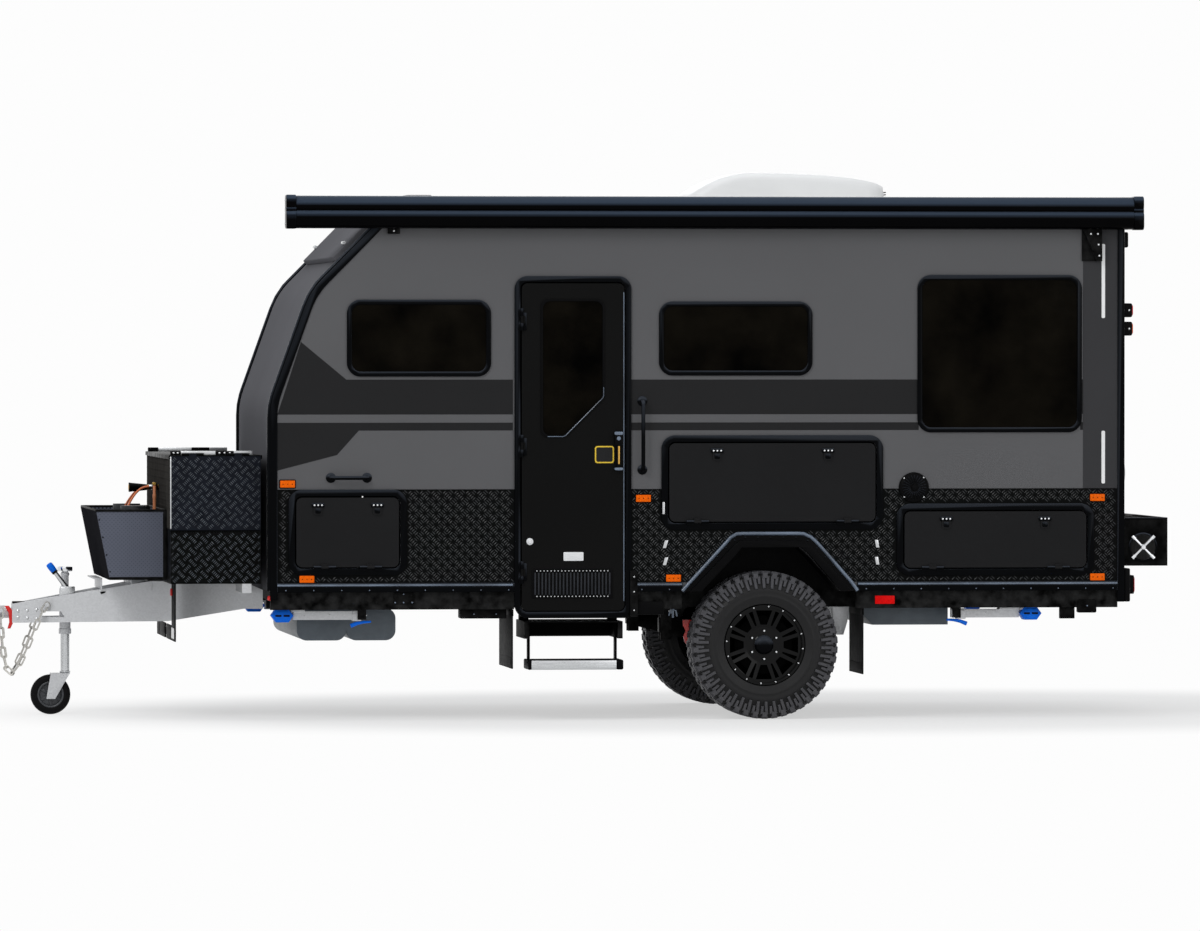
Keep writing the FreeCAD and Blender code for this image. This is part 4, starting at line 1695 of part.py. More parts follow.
def make_fittings():
    """Grab handles, flue cover."""
    out = near_y - s.grab_out
    bar = rod("grab_bar", "x", s.grab_r, s.grab_x1 - s.grab_x0 + s.grab_r * 2, s.grab_x0 - s.grab_r, out, s.grab_z)
    posts = [rod("grab_post", "y", s.grab_r, s.grab_out, spot, out, s.grab_z) for spot in (s.grab_x0, s.grab_x1)]
    tall = rod("grab_tall", "z", s.grab_r, s.grab_door_z1 - s.grab_door_z0, s.grab_door_x, out, s.grab_door_z0)
    tall_posts = [rod("grab_post", "y", s.grab_r, s.grab_out, s.grab_door_x, out, spot)
                  for spot in (s.grab_door_z0 + s.grab_r, s.grab_door_z1 - s.grab_r)]
    cover = rod("flue_cover", "y", s.vent_r, s.vent_t, s.vent_x, near_y - s.skirt_t - s.vent_t, s.vent_z)
    node("wall_fittings", joined("wall_fittings", [bar] + posts + [tall] + tall_posts + [cover]))
    lamps = []
    back = near_y - s.skirt_t
    for x, z in ((s.lamp_front_x, s.lamp_front_z), (s.lamp_low_x, s.lamp_low_z), (s.lamp_mid_x, s.lamp_mid_z),
                 (s.lamp_mid_low_x, s.lamp_low_z), (s.lamp_rear_x, s.lamp_mid_z), (s.lamp_rear_x, s.lamp_low_z)):
        seat = near_y if z is s.lamp_front_z else back
        lamp = block("marker_lamp", (x - s.lamp_w / 2, x + s.lamp_w / 2), (seat - s.lamp_t, seat),
                     (z - s.lamp_h / 2, z + s.lamp_h / 2))
        lamps += both("marker_lamp_twin", lamp)
    node("marker_lamps", grouped("marker_lamps", lamps))


make_walls()
make_shell()
make_trims()
make_arches()
make_windows()
make_entry_door()
make_hatches()
make_chassis()
make_drawbar()
make_handbrake()
make_chains()
make_jockey()
make_wheels()
make_suspension()
make_front_box()
make_basket()
make_hoses()
make_roof_fittings()
make_below()
make_step()
make_stabilisers()
make_rear()
make_fittings()
doc.recompute()

os.makedirs("parts", exist_ok=True)
faults = [thing.Name for thing in doc.Objects if "Invalid" in thing.State or "Error" in thing.State]
faults += [thing.Label for thing in NODES if thing.Shape.isNull() or not thing.Shape.isValid()]
if faults:
    raise RuntimeError("failed pieces: " + ", ".join(faults))
for thing in NODES:
    thing.Shape.exportStep("parts/%s.step" % thing.Label)
print("%d pieces" % len(NODES))
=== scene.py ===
"""Looks of a single-axle off-road travel trailer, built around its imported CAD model."""

import math

import bmesh
import bpy
from mathutils import Matrix, Vector


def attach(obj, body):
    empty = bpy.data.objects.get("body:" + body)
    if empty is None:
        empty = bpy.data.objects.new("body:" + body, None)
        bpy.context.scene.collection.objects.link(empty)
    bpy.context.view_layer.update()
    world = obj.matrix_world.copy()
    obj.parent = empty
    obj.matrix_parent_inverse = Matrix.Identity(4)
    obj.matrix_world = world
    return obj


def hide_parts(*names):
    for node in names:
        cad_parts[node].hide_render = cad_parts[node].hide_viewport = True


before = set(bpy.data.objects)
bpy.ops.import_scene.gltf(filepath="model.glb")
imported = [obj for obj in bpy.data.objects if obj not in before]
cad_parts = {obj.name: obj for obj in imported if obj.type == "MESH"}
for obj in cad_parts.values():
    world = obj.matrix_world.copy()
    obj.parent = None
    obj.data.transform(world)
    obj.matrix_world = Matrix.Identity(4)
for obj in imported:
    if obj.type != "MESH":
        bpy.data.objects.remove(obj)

bl_info = {
    "name": "Off-road travel trailer",
    "version": (1, 0, 0),
    "blender": (4, 5, 0),
    "location": "3D View > Sidebar > Trailer",
    "description": "Skins, trims and fittings of an off-road travel trailer, with its stage",
    "category": "Object",
}

ROOT = "trailer"
# From here on sizes and places are in millimetres, X to the rear, Y across and Z up.
# Half widths over the side walls and over the tread-plate skirts.
WALL = 1100.0
SKIRT = 1103.0
SIDES = ((-1, "left"), (1, "right"))
# X and Z of the wheels' axle and of the flue cover, and the door's louvre as its X and Z limits.
AXLE = (969.0, 400.0)
FLUE = (1781, 1248)
LOUVRE = (-294, 141, 657, 812)
# Side marker lamps as X and Z. Those at this height stand on the wall, and the others on the skirt.
MARKER_ON_WALL = 1272
MARKERS = ((-1610, 1272), (-1507, 762), (309, 1192), (472, 762), (2785, 1192), (2785, 762))
# Rivet line and upper edge of the wheel-arch flare, as X and Z.
ARCH = ((540, 708), (782, 948), (826, 979), (1171, 979), (1229, 944), (1453, 706))
ARCH_EDGE = ((519, 693), (560, 738), (700, 890), (758, 953), (782, 980), (814, 999), (845, 1001),
             (1150, 1001), (1180, 999), (1218, 982), (1250, 953), (1300, 898), (1440, 738), (1473, 693))
# Hatch body, middles of its latches, their height, and the side.
LATCHES = (("boot_hatch", (-1446.8, -1128.3), 1137, -1), ("boot_hatch_far", (-1446.8, -1128.3), 1137, 1),
           ("table_hatch", (708.5, 1311.5), 1426, -1), ("locker_hatch", (1956.8, 2496.3), 1056, -1))
# Mud flaps: place along X, both edges across, lower and upper edge.
FLAPS = ((-2189, -710, -470, 416, 733), (-2189, -470, -60, 416, 496), (-2189, 60, 470, 416, 496),
         (-2189, 470, 710, 416, 733), (-403, -1098, -462, 277, 596), (-403, 462, 900, 545, 596),
         (1500, -1098, -622, 240, 596), (1500, 622, 1098, 240, 596))
# Ribs of the air conditioner's shroud: X, half width, foot and top.
COOLER_RIBS = ((650, 300, 2790, 2815), (668, 325, 2790, 2840), (700, 345, 2790, 2864),
               (760, 355, 2790, 2900), (830, 360, 2790, 2932), (900, 360, 2790, 2951),
               (980, 360, 2790, 2962), (1200, 360, 2790, 2960), (1400, 360, 2790, 2950),
               (1550, 359, 2790, 2936), (1640, 356, 2790, 2920), (1695, 345, 2790, 2906),
               (1735, 300, 2790, 2890), (1757, 180, 2790, 2868))
# Section of the awning's case, an upper and a lower lobe with a groove between them, as Y and Z.
AWNING_LINE = ((-1103, 2641), (-1150, 2641), (-1178, 2643), (-1196, 2650), (-1209, 2664), (-1216, 2682),
               (-1218, 2700), (-1217, 2716), (-1214, 2727), (-1208, 2733), (-1196, 2736), (-1196, 2741),
               (-1207, 2744), (-1211, 2751), (-1212, 2764), (-1210, 2780), (-1203, 2794), (-1190, 2806),
               (-1172, 2813), (-1150, 2816), (-1103, 2816))
# Edge of the side walls along the nose, as X and Z.
NOSE_EDGE = ((-1708, 700), (-1708, 1627), (-1704, 1685), (-1692, 1741), (-1683, 1769), (-1521, 2221),
             (-1491, 2288), (-1450, 2349), (-1424, 2376), (-1064, 2739))
# Stabilisers: name, end at the pivot, end of the channel and tip of the pad along X.
LEGS = (("front", -1179, -1571, -1691), ("rear", 2007, 2375, 2495))
# Tyre: its middle across, half width, and the radii of the tread's foot and top.
TYRE_MIDDLE = -992.5
TYRE_HALF = 126.0
TREAD_FOOT = 383
TREAD_TOP = 398.5
# Jockey stand: X of its tube, and X and Z of its roller.
JOCKEY = -2740
ROLLER = (-2820, 109)
# X and Z of the wheel brace that hangs on the rear carrier's end.
BRACE = (3041, 922)
# The near gas hose in metres, from the fitting to the valve.
HOSE_ROUTE = (
    (-2.2653, -0.045, 1.246), (-2.302, -0.045, 1.246), (-2.343, -0.058, 1.225), (-2.377, -0.080, 1.183),
    (-2.403, -0.109, 1.138), (-2.413, -0.136, 1.104), (-2.406, -0.168, 1.081), (-2.391, -0.196, 1.071),
    (-2.382, -0.216, 1.070), (-2.382, -0.2347, 1.070),
)


def linear(code):
    """An sRGB hex colour as linear red, green, blue and alpha."""
    parts = [(code >> shift & 255) / 255 for shift in (16, 8, 0)]
    return tuple(c / 12.92 if c <= 0.04045 else ((c + 0.055) / 1.055) ** 2.4 for c in parts) + (1.0,)


def add(tree, kind, links=None, **settings):
    """Adds a node to a tree with its settings, and its inputs' values or links."""
    made = tree.nodes.new(kind)
    for name, value in settings.items():
        setattr(made, name, value)
    for name, value in (links or {}).items():
        socket = made.inputs[name]
        if isinstance(value, bpy.types.NodeSocket):
            tree.links.new(value, socket)
        else:
            socket.default_value = value
    return made


def worked(tree, operation, *values):
    """What a maths node makes of values or links."""
    return add(tree, "ShaderNodeMath", dict(enumerate(values)), operation=operation).outputs[0]


def scaled(tree, vector, by):
    """A vector times a number."""
    return add(tree, "ShaderNodeVectorMath", {0: vector, "Scale": by}, operation="SCALE").outputs[0]


def moved(tree, vector, by):
    """One vector added to another."""
    return add(tree, "ShaderNodeVectorMath", {0: vector, 1: by}, operation="ADD").outputs[0]


def ranged(tree, value, low, high, start=0.0, end=1.0, **settings):
    """A value that runs from low to high, made to run from start to end."""
    limits = {"Value": value, "From Min": low, "From Max": high, "To Min": start, "To Max": end}
    return add(tree, "ShaderNodeMapRange", limits, **settings).outputs["Result"]


def blended(tree, share, one, two):
    """A colour between two others, by the share of the second."""
    return add(tree, "ShaderNodeMix", {0: share, 6: one, 7: two}, data_type="RGBA").outputs[2]


def seen_directly(tree):
    """1 on rays from the camera, off a gloss or through glass, and 0 on those that only bring light."""
    path = add(tree, "ShaderNodeLightPath").outputs
    seen = worked(tree, "MAXIMUM", path["Is Camera Ray"], path["Is Glossy Ray"])
    return worked(tree, "MAXIMUM", seen, path["Is Transmission Ray"])


def colour_choice(name, description, code):
    """A colour that an owner would choose, by its sRGB code."""
    return bpy.props.FloatVectorProperty(name=name, description=description, subtype="COLOR", size=4,
                                         min=0, max=1, default=linear(code))


class TrailerPaint(bpy.types.PropertyGroup):
    """Colours that an owner would choose."""
    panel: colour_choice("Wall panel", "Paint of the upper wall panels", 0x58585A)
    # The nose's default is the wall's enamel made lighter: painted light for the slant of the nose.
    nose: colour_choice("Nose panel", "Paint of the sloped nose", 0x6C6C70)
    stripe: colour_choice("Stripes", "Film of the dark stripes", 0x242425)
    band: colour_choice("Rear band", "Film of the band at the rear corner", 0x38383A)
    arms: colour_choice("Trailing arms", "Powder coat of the suspension arms", 0xD8140C)
    pads: colour_choice("Stabiliser pads", "Plastic of the stabiliser pads", 0x0A6CE6)


class TrailerTrim(bpy.types.PropertyGroup):
    """Sizes of the trim that an owner would change."""
    tread_pitch: bpy.props.FloatProperty(
        name="Tread pitch", description="Repeat of the five-bar tread pattern", unit="LENGTH", default=0.062)
    bar_length: bpy.props.FloatProperty(
        name="Bar length", description="Length of a tread bar", unit="LENGTH", default=0.027)
    bar_width: bpy.props.FloatProperty(
        name="Bar width", description="Width of a tread bar", unit="LENGTH", default=0.006)
    bar_height: bpy.props.FloatProperty(
        name="Bar height", description="Height of a tread bar", unit="LENGTH", default=0.0015)
    bar_gap: bpy.props.FloatProperty(
        name="Bar spacing", description="Spacing of the five bars of a group", unit="LENGTH", default=0.0125)
    tread_blocks: bpy.props.IntProperty(
        name="Tread blocks", description="Blocks in each row around a tyre", default=46, min=20, max=80)
    edge_round: bpy.props.FloatProperty(
        name="Edge round", description="Round on the edges of frames and trims", unit="LENGTH", default=0.003)


# Finishes by name. The CAD file brings plain materials, some under the same names, so these stay apart.
FINISHES = {}


def finish(name, colour, rough, metal=0.0, coat=0.0, coat_rough=0.08, specular=0.5, tone=(80, 0.05),
           grain=(0.8, 0.08), stretch=(1, 1, 1), rough_by=0.05, wear=None, dust=0.0, cells=None, holes=None,
           sky=None):
    """A procedural material: tone and roughness vary over a length in mm, and a fine grain gives the bump.

    wear shows on sharp edges, dust gathers low down, and faces that turn up take a lighter tone, a painted
    reflection of the sky.
    """
    made = bpy.data.materials.new(name)
    made.use_nodes = True
    tree = made.node_tree
    tree.nodes.clear()
    colour = linear(colour) if isinstance(colour, int) else tuple(colour)
    place = add(tree, "ShaderNodeTexCoord").outputs["Object"]
    place = add(tree, "ShaderNodeMapping", {"Vector": place, "Scale": stretch}).outputs["Vector"]
    if cells:
        drift = add(tree, "ShaderNodeTexVoronoi", {"Vector": place, "Scale": 1000 / cells}).outputs["Color"]
        drift = add(tree, "ShaderNodeSeparateColor", {"Color": drift}).outputs["Red"]
    else:
        drift = add(tree, "ShaderNodeTexNoise", {"Vector": place, "Scale": 1000 / tone[0],
                "Detail": 4.0}).outputs["Fac"]
        drift = ranged(tree, drift, 0.3, 0.7)
    low = tuple(c * (1 - tone[1]) for c in colour[:3]) + (1.0,)
    high = tuple(min(c * (1 + tone[1]), 1.0) for c in colour[:3]) + (1.0,)
    shade = blended(tree, drift, low, high)
    bumps = add(tree, "ShaderNodeTexNoise", {"Vector": place, "Scale": 1000 / grain[0],
            "Detail": 2.0}).outputs["Fac"]
    if holes:
        askew = add(tree, "ShaderNodeMapping", {"Vector": place,
                "Rotation": (0, math.pi / 4, 0)}).outputs["Vector"]
        dots = add(tree, "ShaderNodeTexVoronoi", {"Vector": askew, "Scale": 1000 / holes, "Randomness": 0.0})
        hole = ranged(tree, dots.outputs["Distance"], 0.42, 0.30)
        shade = blended(tree, hole, shade, linear(0x2E3139))
        bumps = worked(tree, "SUBTRACT", bumps, hole)
    # Painted reflection: faces that turn up are mixed towards a lighter blue-grey.
    if sky:
        painted_reflection_mask = add(tree, "ShaderNodeTexCoord").outputs["Normal"]
        painted_reflection_mask = add(tree, "ShaderNodeSeparateXYZ", {"Vector": painted_reflection_mask}).outputs["Z"]
        painted_reflection_mask = ranged(tree, painted_reflection_mask, 0.0, 0.3)
        shade = blended(tree, painted_reflection_mask, shade, linear(sky))
    if wear:
        edge = add(tree, "ShaderNodeNewGeometry").outputs["Pointiness"]
        edge = ranged(tree, edge, 0.53, 0.60)
        edge = worked(tree, "MULTIPLY", edge, drift)
        shade = blended(tree, edge, shade, linear(wear))
    if dust:
        height = add(tree, "ShaderNodeSeparateXYZ", {"Vector": place}).outputs["Z"]
        height = ranged(tree, height, 0.75, 0.1, 0.0, dust)
        height = worked(tree, "MULTIPLY", height, drift)
        shade = blended(tree, height, shade, linear(0x8A8378))
    roughness = ranged(tree, drift, 0.0, 1.0, max(rough - rough_by, 0.02), min(rough + rough_by, 1.0))
    bump = add(tree, "ShaderNodeBump", {"Height": bumps, "Strength": grain[1],
            "Distance": grain[0] / 1000}).outputs["Normal"]
    shader = add(tree, "ShaderNodeBsdfPrincipled", {
        "Base Color": shade, "Roughness": roughness, "Metallic": metal, "Coat Weight": coat,
        "Coat Roughness": coat_rough, "Specular IOR Level": specular, "Normal": bump})
    add(tree, "ShaderNodeOutputMaterial", {"Surface": shader.outputs["BSDF"]})
    made.diffuse_color = colour
    FINISHES[name] = made
    return made


def make_finishes(paint):
    """Every finish of the trailer, by a maker's plain name."""
    table = {
        # Baked enamel on flat aluminium panel: an even satin with a soft drift of tone.
        "panel_paint": dict(colour=paint.panel, rough=0.42, specular=0.2, tone=(900, 0.04),
                            grain=(1.5, 0.03)),
        # The same enamel on the nose, duller and painted lighter than on the walls: painted light for the
        # slant at which the nose takes the light of the sky.
        "nose_paint_with_painted_light": dict(colour=paint.nose, rough=0.5, specular=0.0, tone=(900, 0.04), grain=(1.5, 0.03)),
        # Cast vinyl film: flatter than the paint, faintly pebbled.
        "stripe_film": dict(colour=paint.stripe, rough=0.5, specular=0.06, tone=(400, 0.04),
                            grain=(2.5, 0.05)),
        "band_film": dict(colour=paint.band, rough=0.5, specular=0.08, tone=(400, 0.04), grain=(2.5, 0.05)),
        "white_film": dict(colour=0xEDEDED, rough=0.4, tone=(200, 0.02), grain=(2.5, 0.04)),
        # Pressed aluminium tread plate under satin black powder coat, with bars painted paler as a painted
        # highlight.
        "tread_coat": dict(colour=0x070808, rough=0.36, specular=0.03, tone=(70, 0.25), grain=(1.2, 0.12),
                           rough_by=0.12),
        # Bars of the tread plate, painted paler than the plate: a painted highlight where they catch the
        # light, brighter on the box.
        "tread_bar_coat": dict(colour=0x1C1E20, rough=0.2, specular=0.25, tone=(40, 0.45),
                grain=(0.8, 0.05), rough_by=0.1),
        "box_tread_bar": dict(colour=0x50555C, rough=0.2, specular=0.5, tone=(25, 0.4), grain=(0.8, 0.05),
                rough_by=0.1),
        # The same plate under a slate coat. The front sheets of the box and the basket are out of the light:
        # their dark tones are painted shade.
        "slate_tread_coat": dict(colour=0x15181F, rough=0.36, specular=0.04, tone=(70, 0.2),
                grain=(1.2, 0.12), rough_by=0.12),
        "box_front_painted_shade": dict(colour=0x3A3836, rough=0.5, specular=0.0, tone=(90, 0.15), grain=(1.2, 0.12)),
        "basket_sheet_painted_shade": dict(colour=0x232326, rough=0.5, specular=0.0, tone=(90, 0.12), grain=(1.2, 0.12)),
        # Cast iron behind the spokes, near black and without shine: painted shade where the drum is unlit.
        "drum_iron_painted_shade": dict(colour=0x060606, rough=0.7, specular=0.0, tone=(40, 0.2), grain=(1.5, 0.2)),
        # Extruded aluminium trim, anodised gloss black: a wet line of light along every edge, and a painted
        # reflection of the sky's blue-grey on faces that turn up.
        "black_trim": dict(colour=0x040507, rough=0.12, specular=0.03, tone=(300, 0.2), grain=(1.0, 0.02),
                           sky=0x34383F),
        # Painted highlight: a black edge that turns its round to the sky, coloured as its pale steel-blue
        # line of light; small rivets, bolts and clips take it as their glint.
        "painted_highlight_edge": dict(colour=0x5C6878, rough=0.2, specular=0.5, tone=(240, 0.55), grain=(1.0, 0.02)),
        # Pressed louvres under black coat, painted lighter than the door: a painted highlight for the dim
        # line of light that each blade catches.
        "slat_painted_highlight": dict(colour=0x26282D, rough=0.3, specular=0.15, tone=(60, 0.3), grain=(1.0, 0.05)),
        # Coated awning case: gloss black, with a painted reflection: its upturned curve is coloured the sky's
        # blue-grey.
        "awning_coat": dict(colour=0x030304, rough=0.16, specular=0.02, tone=(400, 0.15), grain=(1.2, 0.02),
                            sky=0x343E4C),
        # Moulded ABS plastic, fine spark-eroded grain.
        "black_abs": dict(colour=0x070708, rough=0.42, specular=0.04, tone=(60, 0.12), grain=(1.4, 0.22)),
        "white_abs": dict(colour=0xE4E5E6, rough=0.42, tone=(250, 0.03), grain=(1.4, 0.12)),
        "grey_abs": dict(colour=0x3A3C40, rough=0.5, tone=(80, 0.08), grain=(1.4, 0.2)),
        # Smoked acrylic: near black and glossy; its warm brown drift is a painted reflection.
        "smoked_acrylic_painted_reflection": dict(colour=0x0B0906, rough=0.08, specular=0.01, tone=(260, 0.9),
                grain=(90, 0.01), rough_by=0.01),
        # Coated aluminium skins of the door and the hatches: flat, dark, with a fine peel.
        "door_skin": dict(colour=0x0F0F0F, rough=0.45, specular=0.04, tone=(500, 0.08), grain=(1.8, 0.06)),
        "hatch_skin": dict(colour=0x1F1F20, rough=0.48, specular=0.04, tone=(400, 0.05), grain=(1.8, 0.06)),
        # Powder-coated steel: satin black with rubbed corners and road dust low down.
        "black_coat": dict(colour=0x040404, rough=0.42, specular=0.015, tone=(50, 0.2), grain=(1.2, 0.15),
                           wear=0x2A2A2A, dust=0.004),
        # Hot-dip galvanised steel: pale grey with flakes of crystal, each of its own tone.
        "galvanised_steel": dict(colour=0xD0D1D3, rough=0.42, metal=0.15, specular=0.3, tone=(60, 0.05),
                grain=(1.2, 0.06), cells=9),
        # Zinc-plated links: brighter and smoother than the dipped steel.
        "zinc_chain": dict(colour=0xB9B7B2, rough=0.3, metal=0.9, tone=(12, 0.18), grain=(1.0, 0.1),
                           rough_by=0.12),
        # Chromed steel and stainless fasteners: a bright, small, sharp light.
        "chrome": dict(colour=0xD9DBDE, rough=0.1, metal=1.0, tone=(30, 0.05), grain=(0.6, 0.02),
                       rough_by=0.03),
        "stainless": dict(colour=0xC2C4C6, rough=0.28, metal=1.0, tone=(15, 0.1), grain=(0.5, 0.06),
                          stretch=(1, 1, 6)),
        # Brushed aluminium: fine lines along the length.
        "brushed_aluminium": dict(colour=0xC4C6C8, rough=0.34, metal=0.9, tone=(6, 0.12), grain=(1.0, 0.15),
                stretch=(0.05, 1, 1)),
        # Vulcanised rubber: dull charcoal.
        "tyre_rubber": dict(colour=0x19191A, rough=0.45, specular=0.2, tone=(35, 0.12), grain=(1.5, 0.15)),
        # Tread rubber, moulded and a little dusty, painted greyer than the sidewall: a painted highlight
        # where the lugs catch the light.
        "tread_rubber_painted_highlight": dict(colour=0x444448, rough=0.5, specular=0.25, tone=(35, 0.15), grain=(1.5, 0.2),
                dust=0.06),
        # Solid rubber of the flaps and the jockey's roller: soft and almost without shine.
        "black_rubber": dict(colour=0x0C0C0D, rough=0.6, specular=0.08, tone=(40, 0.12), grain=(1.2, 0.25)),
        # Cast alloy, gloss black lacquer.
        "black_alloy": dict(colour=0x030304, rough=0.16, specular=0.1, coat=0.08, coat_rough=0.05,
                            tone=(60, 0.2), grain=(1.0, 0.03)),
        # Red powder coat, glossy, rubbed darker at its edges, and the moulded red plastic of the sockets.
        "red_coat": dict(colour=paint.arms, rough=0.35, coat=0.3, tone=(60, 0.08), grain=(1.2, 0.08),
                         wear=0x7A1A14),
        "red_plastic": dict(colour=0xD8160E, rough=0.4, tone=(30, 0.06), grain=(1.0, 0.08)),
        # Perforated sheet: holes drawn 15 mm apart, twice as coarse as on the real sheet, so that they show.
        "perforated_sheet": dict(colour=0x5E626F, rough=0.45, specular=0.1, tone=(200, 0.05),
                grain=(1.2, 0.12), holes=15),
        # Enamel on the steel gas bottles.
        "bottle_paint": dict(colour=0x2C2E32, rough=0.4, tone=(90, 0.05), grain=(1.5, 0.1)),
        # Rotomoulded polyethylene of the water tanks: waxy, faintly pebbled, dusty low down.
        "grey_polyethylene": dict(colour=0x6C6E70, rough=0.55, tone=(90, 0.08), grain=(2.5, 0.15), dust=0.3),
        "dark_polyethylene": dict(colour=0x5C646B, rough=0.42, specular=0.3, tone=(60, 0.1),
                grain=(2.0, 0.2), dust=0.05),
        # Coated boards of the floor, and of the roof and the rear wall.
        "floor_board": dict(colour=0x2A2826, rough=0.8, tone=(20, 0.15), grain=(2.0, 0.3),
                            stretch=(0.1, 1, 1)),
        "white_board": dict(colour=0xD6D6D3, rough=0.55, tone=(200, 0.03), grain=(1.5, 0.06)),
        # Clear-moulded lenses over bright reflectors.
        "amber_lens": dict(colour=0xF06400, rough=0.3, specular=0.08, tone=(8, 0.12), grain=(3.0, 0.2)),
        "red_lens": dict(colour=0xE20606, rough=0.3, specular=0.08, tone=(8, 0.12), grain=(3.0, 0.2)),
        "clear_lens": dict(colour=0xD8DADC, rough=0.12, coat=0.6, tone=(6, 0.1), grain=(3.0, 0.2)),
        # Moulded nylon of the stabiliser pads and the handbrake grip: clear blue with a soft sheen.
        "blue_plastic": dict(colour=paint.pads, rough=0.4, specular=0.12, tone=(40, 0.08), grain=(1.4, 0.15)),
        # Film of the border on the door, the sleeve on the gas riser, and turned brass nuts.
        "yellow_film": dict(colour=0xE2BE2A, rough=0.45, tone=(20, 0.04), grain=(1.5, 0.05)),
        "riser_sleeve": dict(colour=0xD98A5E, rough=0.45, tone=(20, 0.08), grain=(1.5, 0.12)),
        "brass": dict(colour=0xC39A4E, rough=0.28, metal=1.0, tone=(12, 0.12), grain=(0.8, 0.05)),
    }
    return {name: finish(name, **facts) for name, facts in table.items()}


# Shapes, all drawn in millimetres


def block(shape, low, high, round_by=0.0, steps=2):
    """A box with rounded edges."""
    made = bmesh.ops.create_cube(shape, size=1.0)["verts"]
    low, high = Vector(low), Vector(high)
    size = high - low
    for vert in made:
        vert.co = Vector(c * s for c, s in zip(vert.co, size)) + (low + high) / 2
    if round_by:
        edges = list({edge for vert in made for edge in vert.link_edges})
        bmesh.ops.bevel(shape, geom=edges, offset=round_by, segments=steps, profile=0.5, affect="EDGES")


def span(shape, loops):
    """Faces between loops of vertices that follow each other. A loop of one vertex is a tip."""
    faces = []
    for one, two in zip(loops, loops[1:]):
        if len(one) == len(two) == 1:
            continue
        count = max(len(one), len(two))
        for i in range(count):
            j = (i + 1) % count
            corners = (one[i % len(one)], two[i % len(two)], two[j % len(two)], one[j % len(one)])
            faces.append(shape.faces.new(list(dict.fromkeys(corners))))
    return faces


def shell(shape, loops):
    """A closed shell over loops of vertices, with its two ends."""
    faces = span(shape, loops) + [shape.faces.new(loops[0][::-1]), shape.faces.new(loops[-1])]
    bmesh.ops.recalc_face_normals(shape, faces=faces)


def prism(shape, points, level, thick, plane="xz", round_by=0.0, steps=2):
    """A flat plate from an outline in a plane, between a level and that level plus a thickness."""
    loops = []
    for c in (level, level + thick):
        spots = [{"xz": (a, c, b), "xy": (a, b, c), "yz": (c, a, b)}[plane] for a, b in points]
        loops.append([shape.verts.new(spot) for spot in spots])
    near, far = loops
    faces = [shape.faces.new(near), shape.faces.new(far[::-1])]
    for i in range(len(points)):
        j = (i + 1) % len(points)
        faces.append(shape.faces.new((near[j], near[i], far[i], far[j])))
    bmesh.ops.recalc_face_normals(shape, faces=faces)
    if round_by:
        edges = list({edge for face in faces[:2] for edge in face.edges})
        bmesh.ops.bevel(shape, geom=edges, offset=round_by, segments=steps, profile=0.5, affect="EDGES")


def rounded(x, z, radius, steps=6):
    """The outline of a rectangle with round corners."""
    points = []
    for cx, cz, start in ((x[1] - radius, z[1] - radius, 0), (x[0] + radius, z[1] - radius, 90),
                          (x[0] + radius, z[0] + radius, 180), (x[1] - radius, z[0] + radius, 270)):
        for i in range(steps + 1):
            turn = math.radians(start + 90 * i / steps)
            points.append((cx + radius * math.cos(turn), cz + radius * math.sin(turn)))
    return points


# Turns a shape that is drawn about Z to lie about another axis.
AXES = {"x": Matrix(((0, 0, 1), (1, 0, 0), (0, 1, 0))), "y": Matrix(((1, 0, 0), (0, 0, 1), (0, -1, 0))),
        "z": Matrix.Identity(3)}


def hoop(shape, centre, axis, along, radius, sides):
    """The vertices of a circle about an axis, or of its middle where the radius is nought."""
    turns = [2 * math.pi * i / sides for i in range(sides if radius > 0 else 1)]
    radius = max(radius, 0)
    return [shape.verts.new(Vector(centre) + AXES[axis] @ Vector(
        (radius * math.cos(turn), radius * math.sin(turn), along))) for turn in turns]


def turned(shape, profile, centre, axis="y", sides=32):
    """A body of revolution: profile of places along the axis and radii, closed at both ends."""
    loops = [hoop(shape, centre, axis, along, radius, sides) for along, radius in profile]
    faces = span(shape, loops)
    faces += [shape.faces.new(loop) for loop in (loops[0], loops[-1]) if len(loop) > 1]
    bmesh.ops.recalc_face_normals(shape, faces=faces)


def ring_of(shape, profile, centre, axis="y", sides=32):
    """A ring of revolution whose profile is a closed loop."""
    loops = [hoop(shape, centre, axis, along, radius, sides) for along, radius in profile]
    bmesh.ops.recalc_face_normals(shape, faces=span(shape, loops + loops[:1]))


def tube(shape, points, radius, sides=10):
    """A round bar along points, with closed ends. A radius may be given for each point."""
    points = [Vector(point) for point in points]
    radii = radius if isinstance(radius, (list, tuple)) else [radius] * len(points)
    loops = []
    normal = None
    for i, point in enumerate(points):
        ahead = points[min(i + 1, len(points) - 1)] - points[max(i - 1, 0)]
        ahead.normalize()
        if normal is None:
            normal = ahead.orthogonal().normalized()
        normal = (normal - ahead * normal.dot(ahead)).normalized()
        side = ahead.cross(normal)
        loops.append([shape.verts.new(point + (normal * math.cos(2 * math.pi * k / sides)
                                               + side * math.sin(2 * math.pi * k / sides)) * radii[i])
                      for k in range(sides)])
    shell(shape, loops)


def flipped(shape):
    """The same shape on the other side of the trailer."""
    for vert in shape.verts:
        vert.co.y = -vert.co.y
    bmesh.ops.reverse_faces(shape, faces=shape.faces[:])


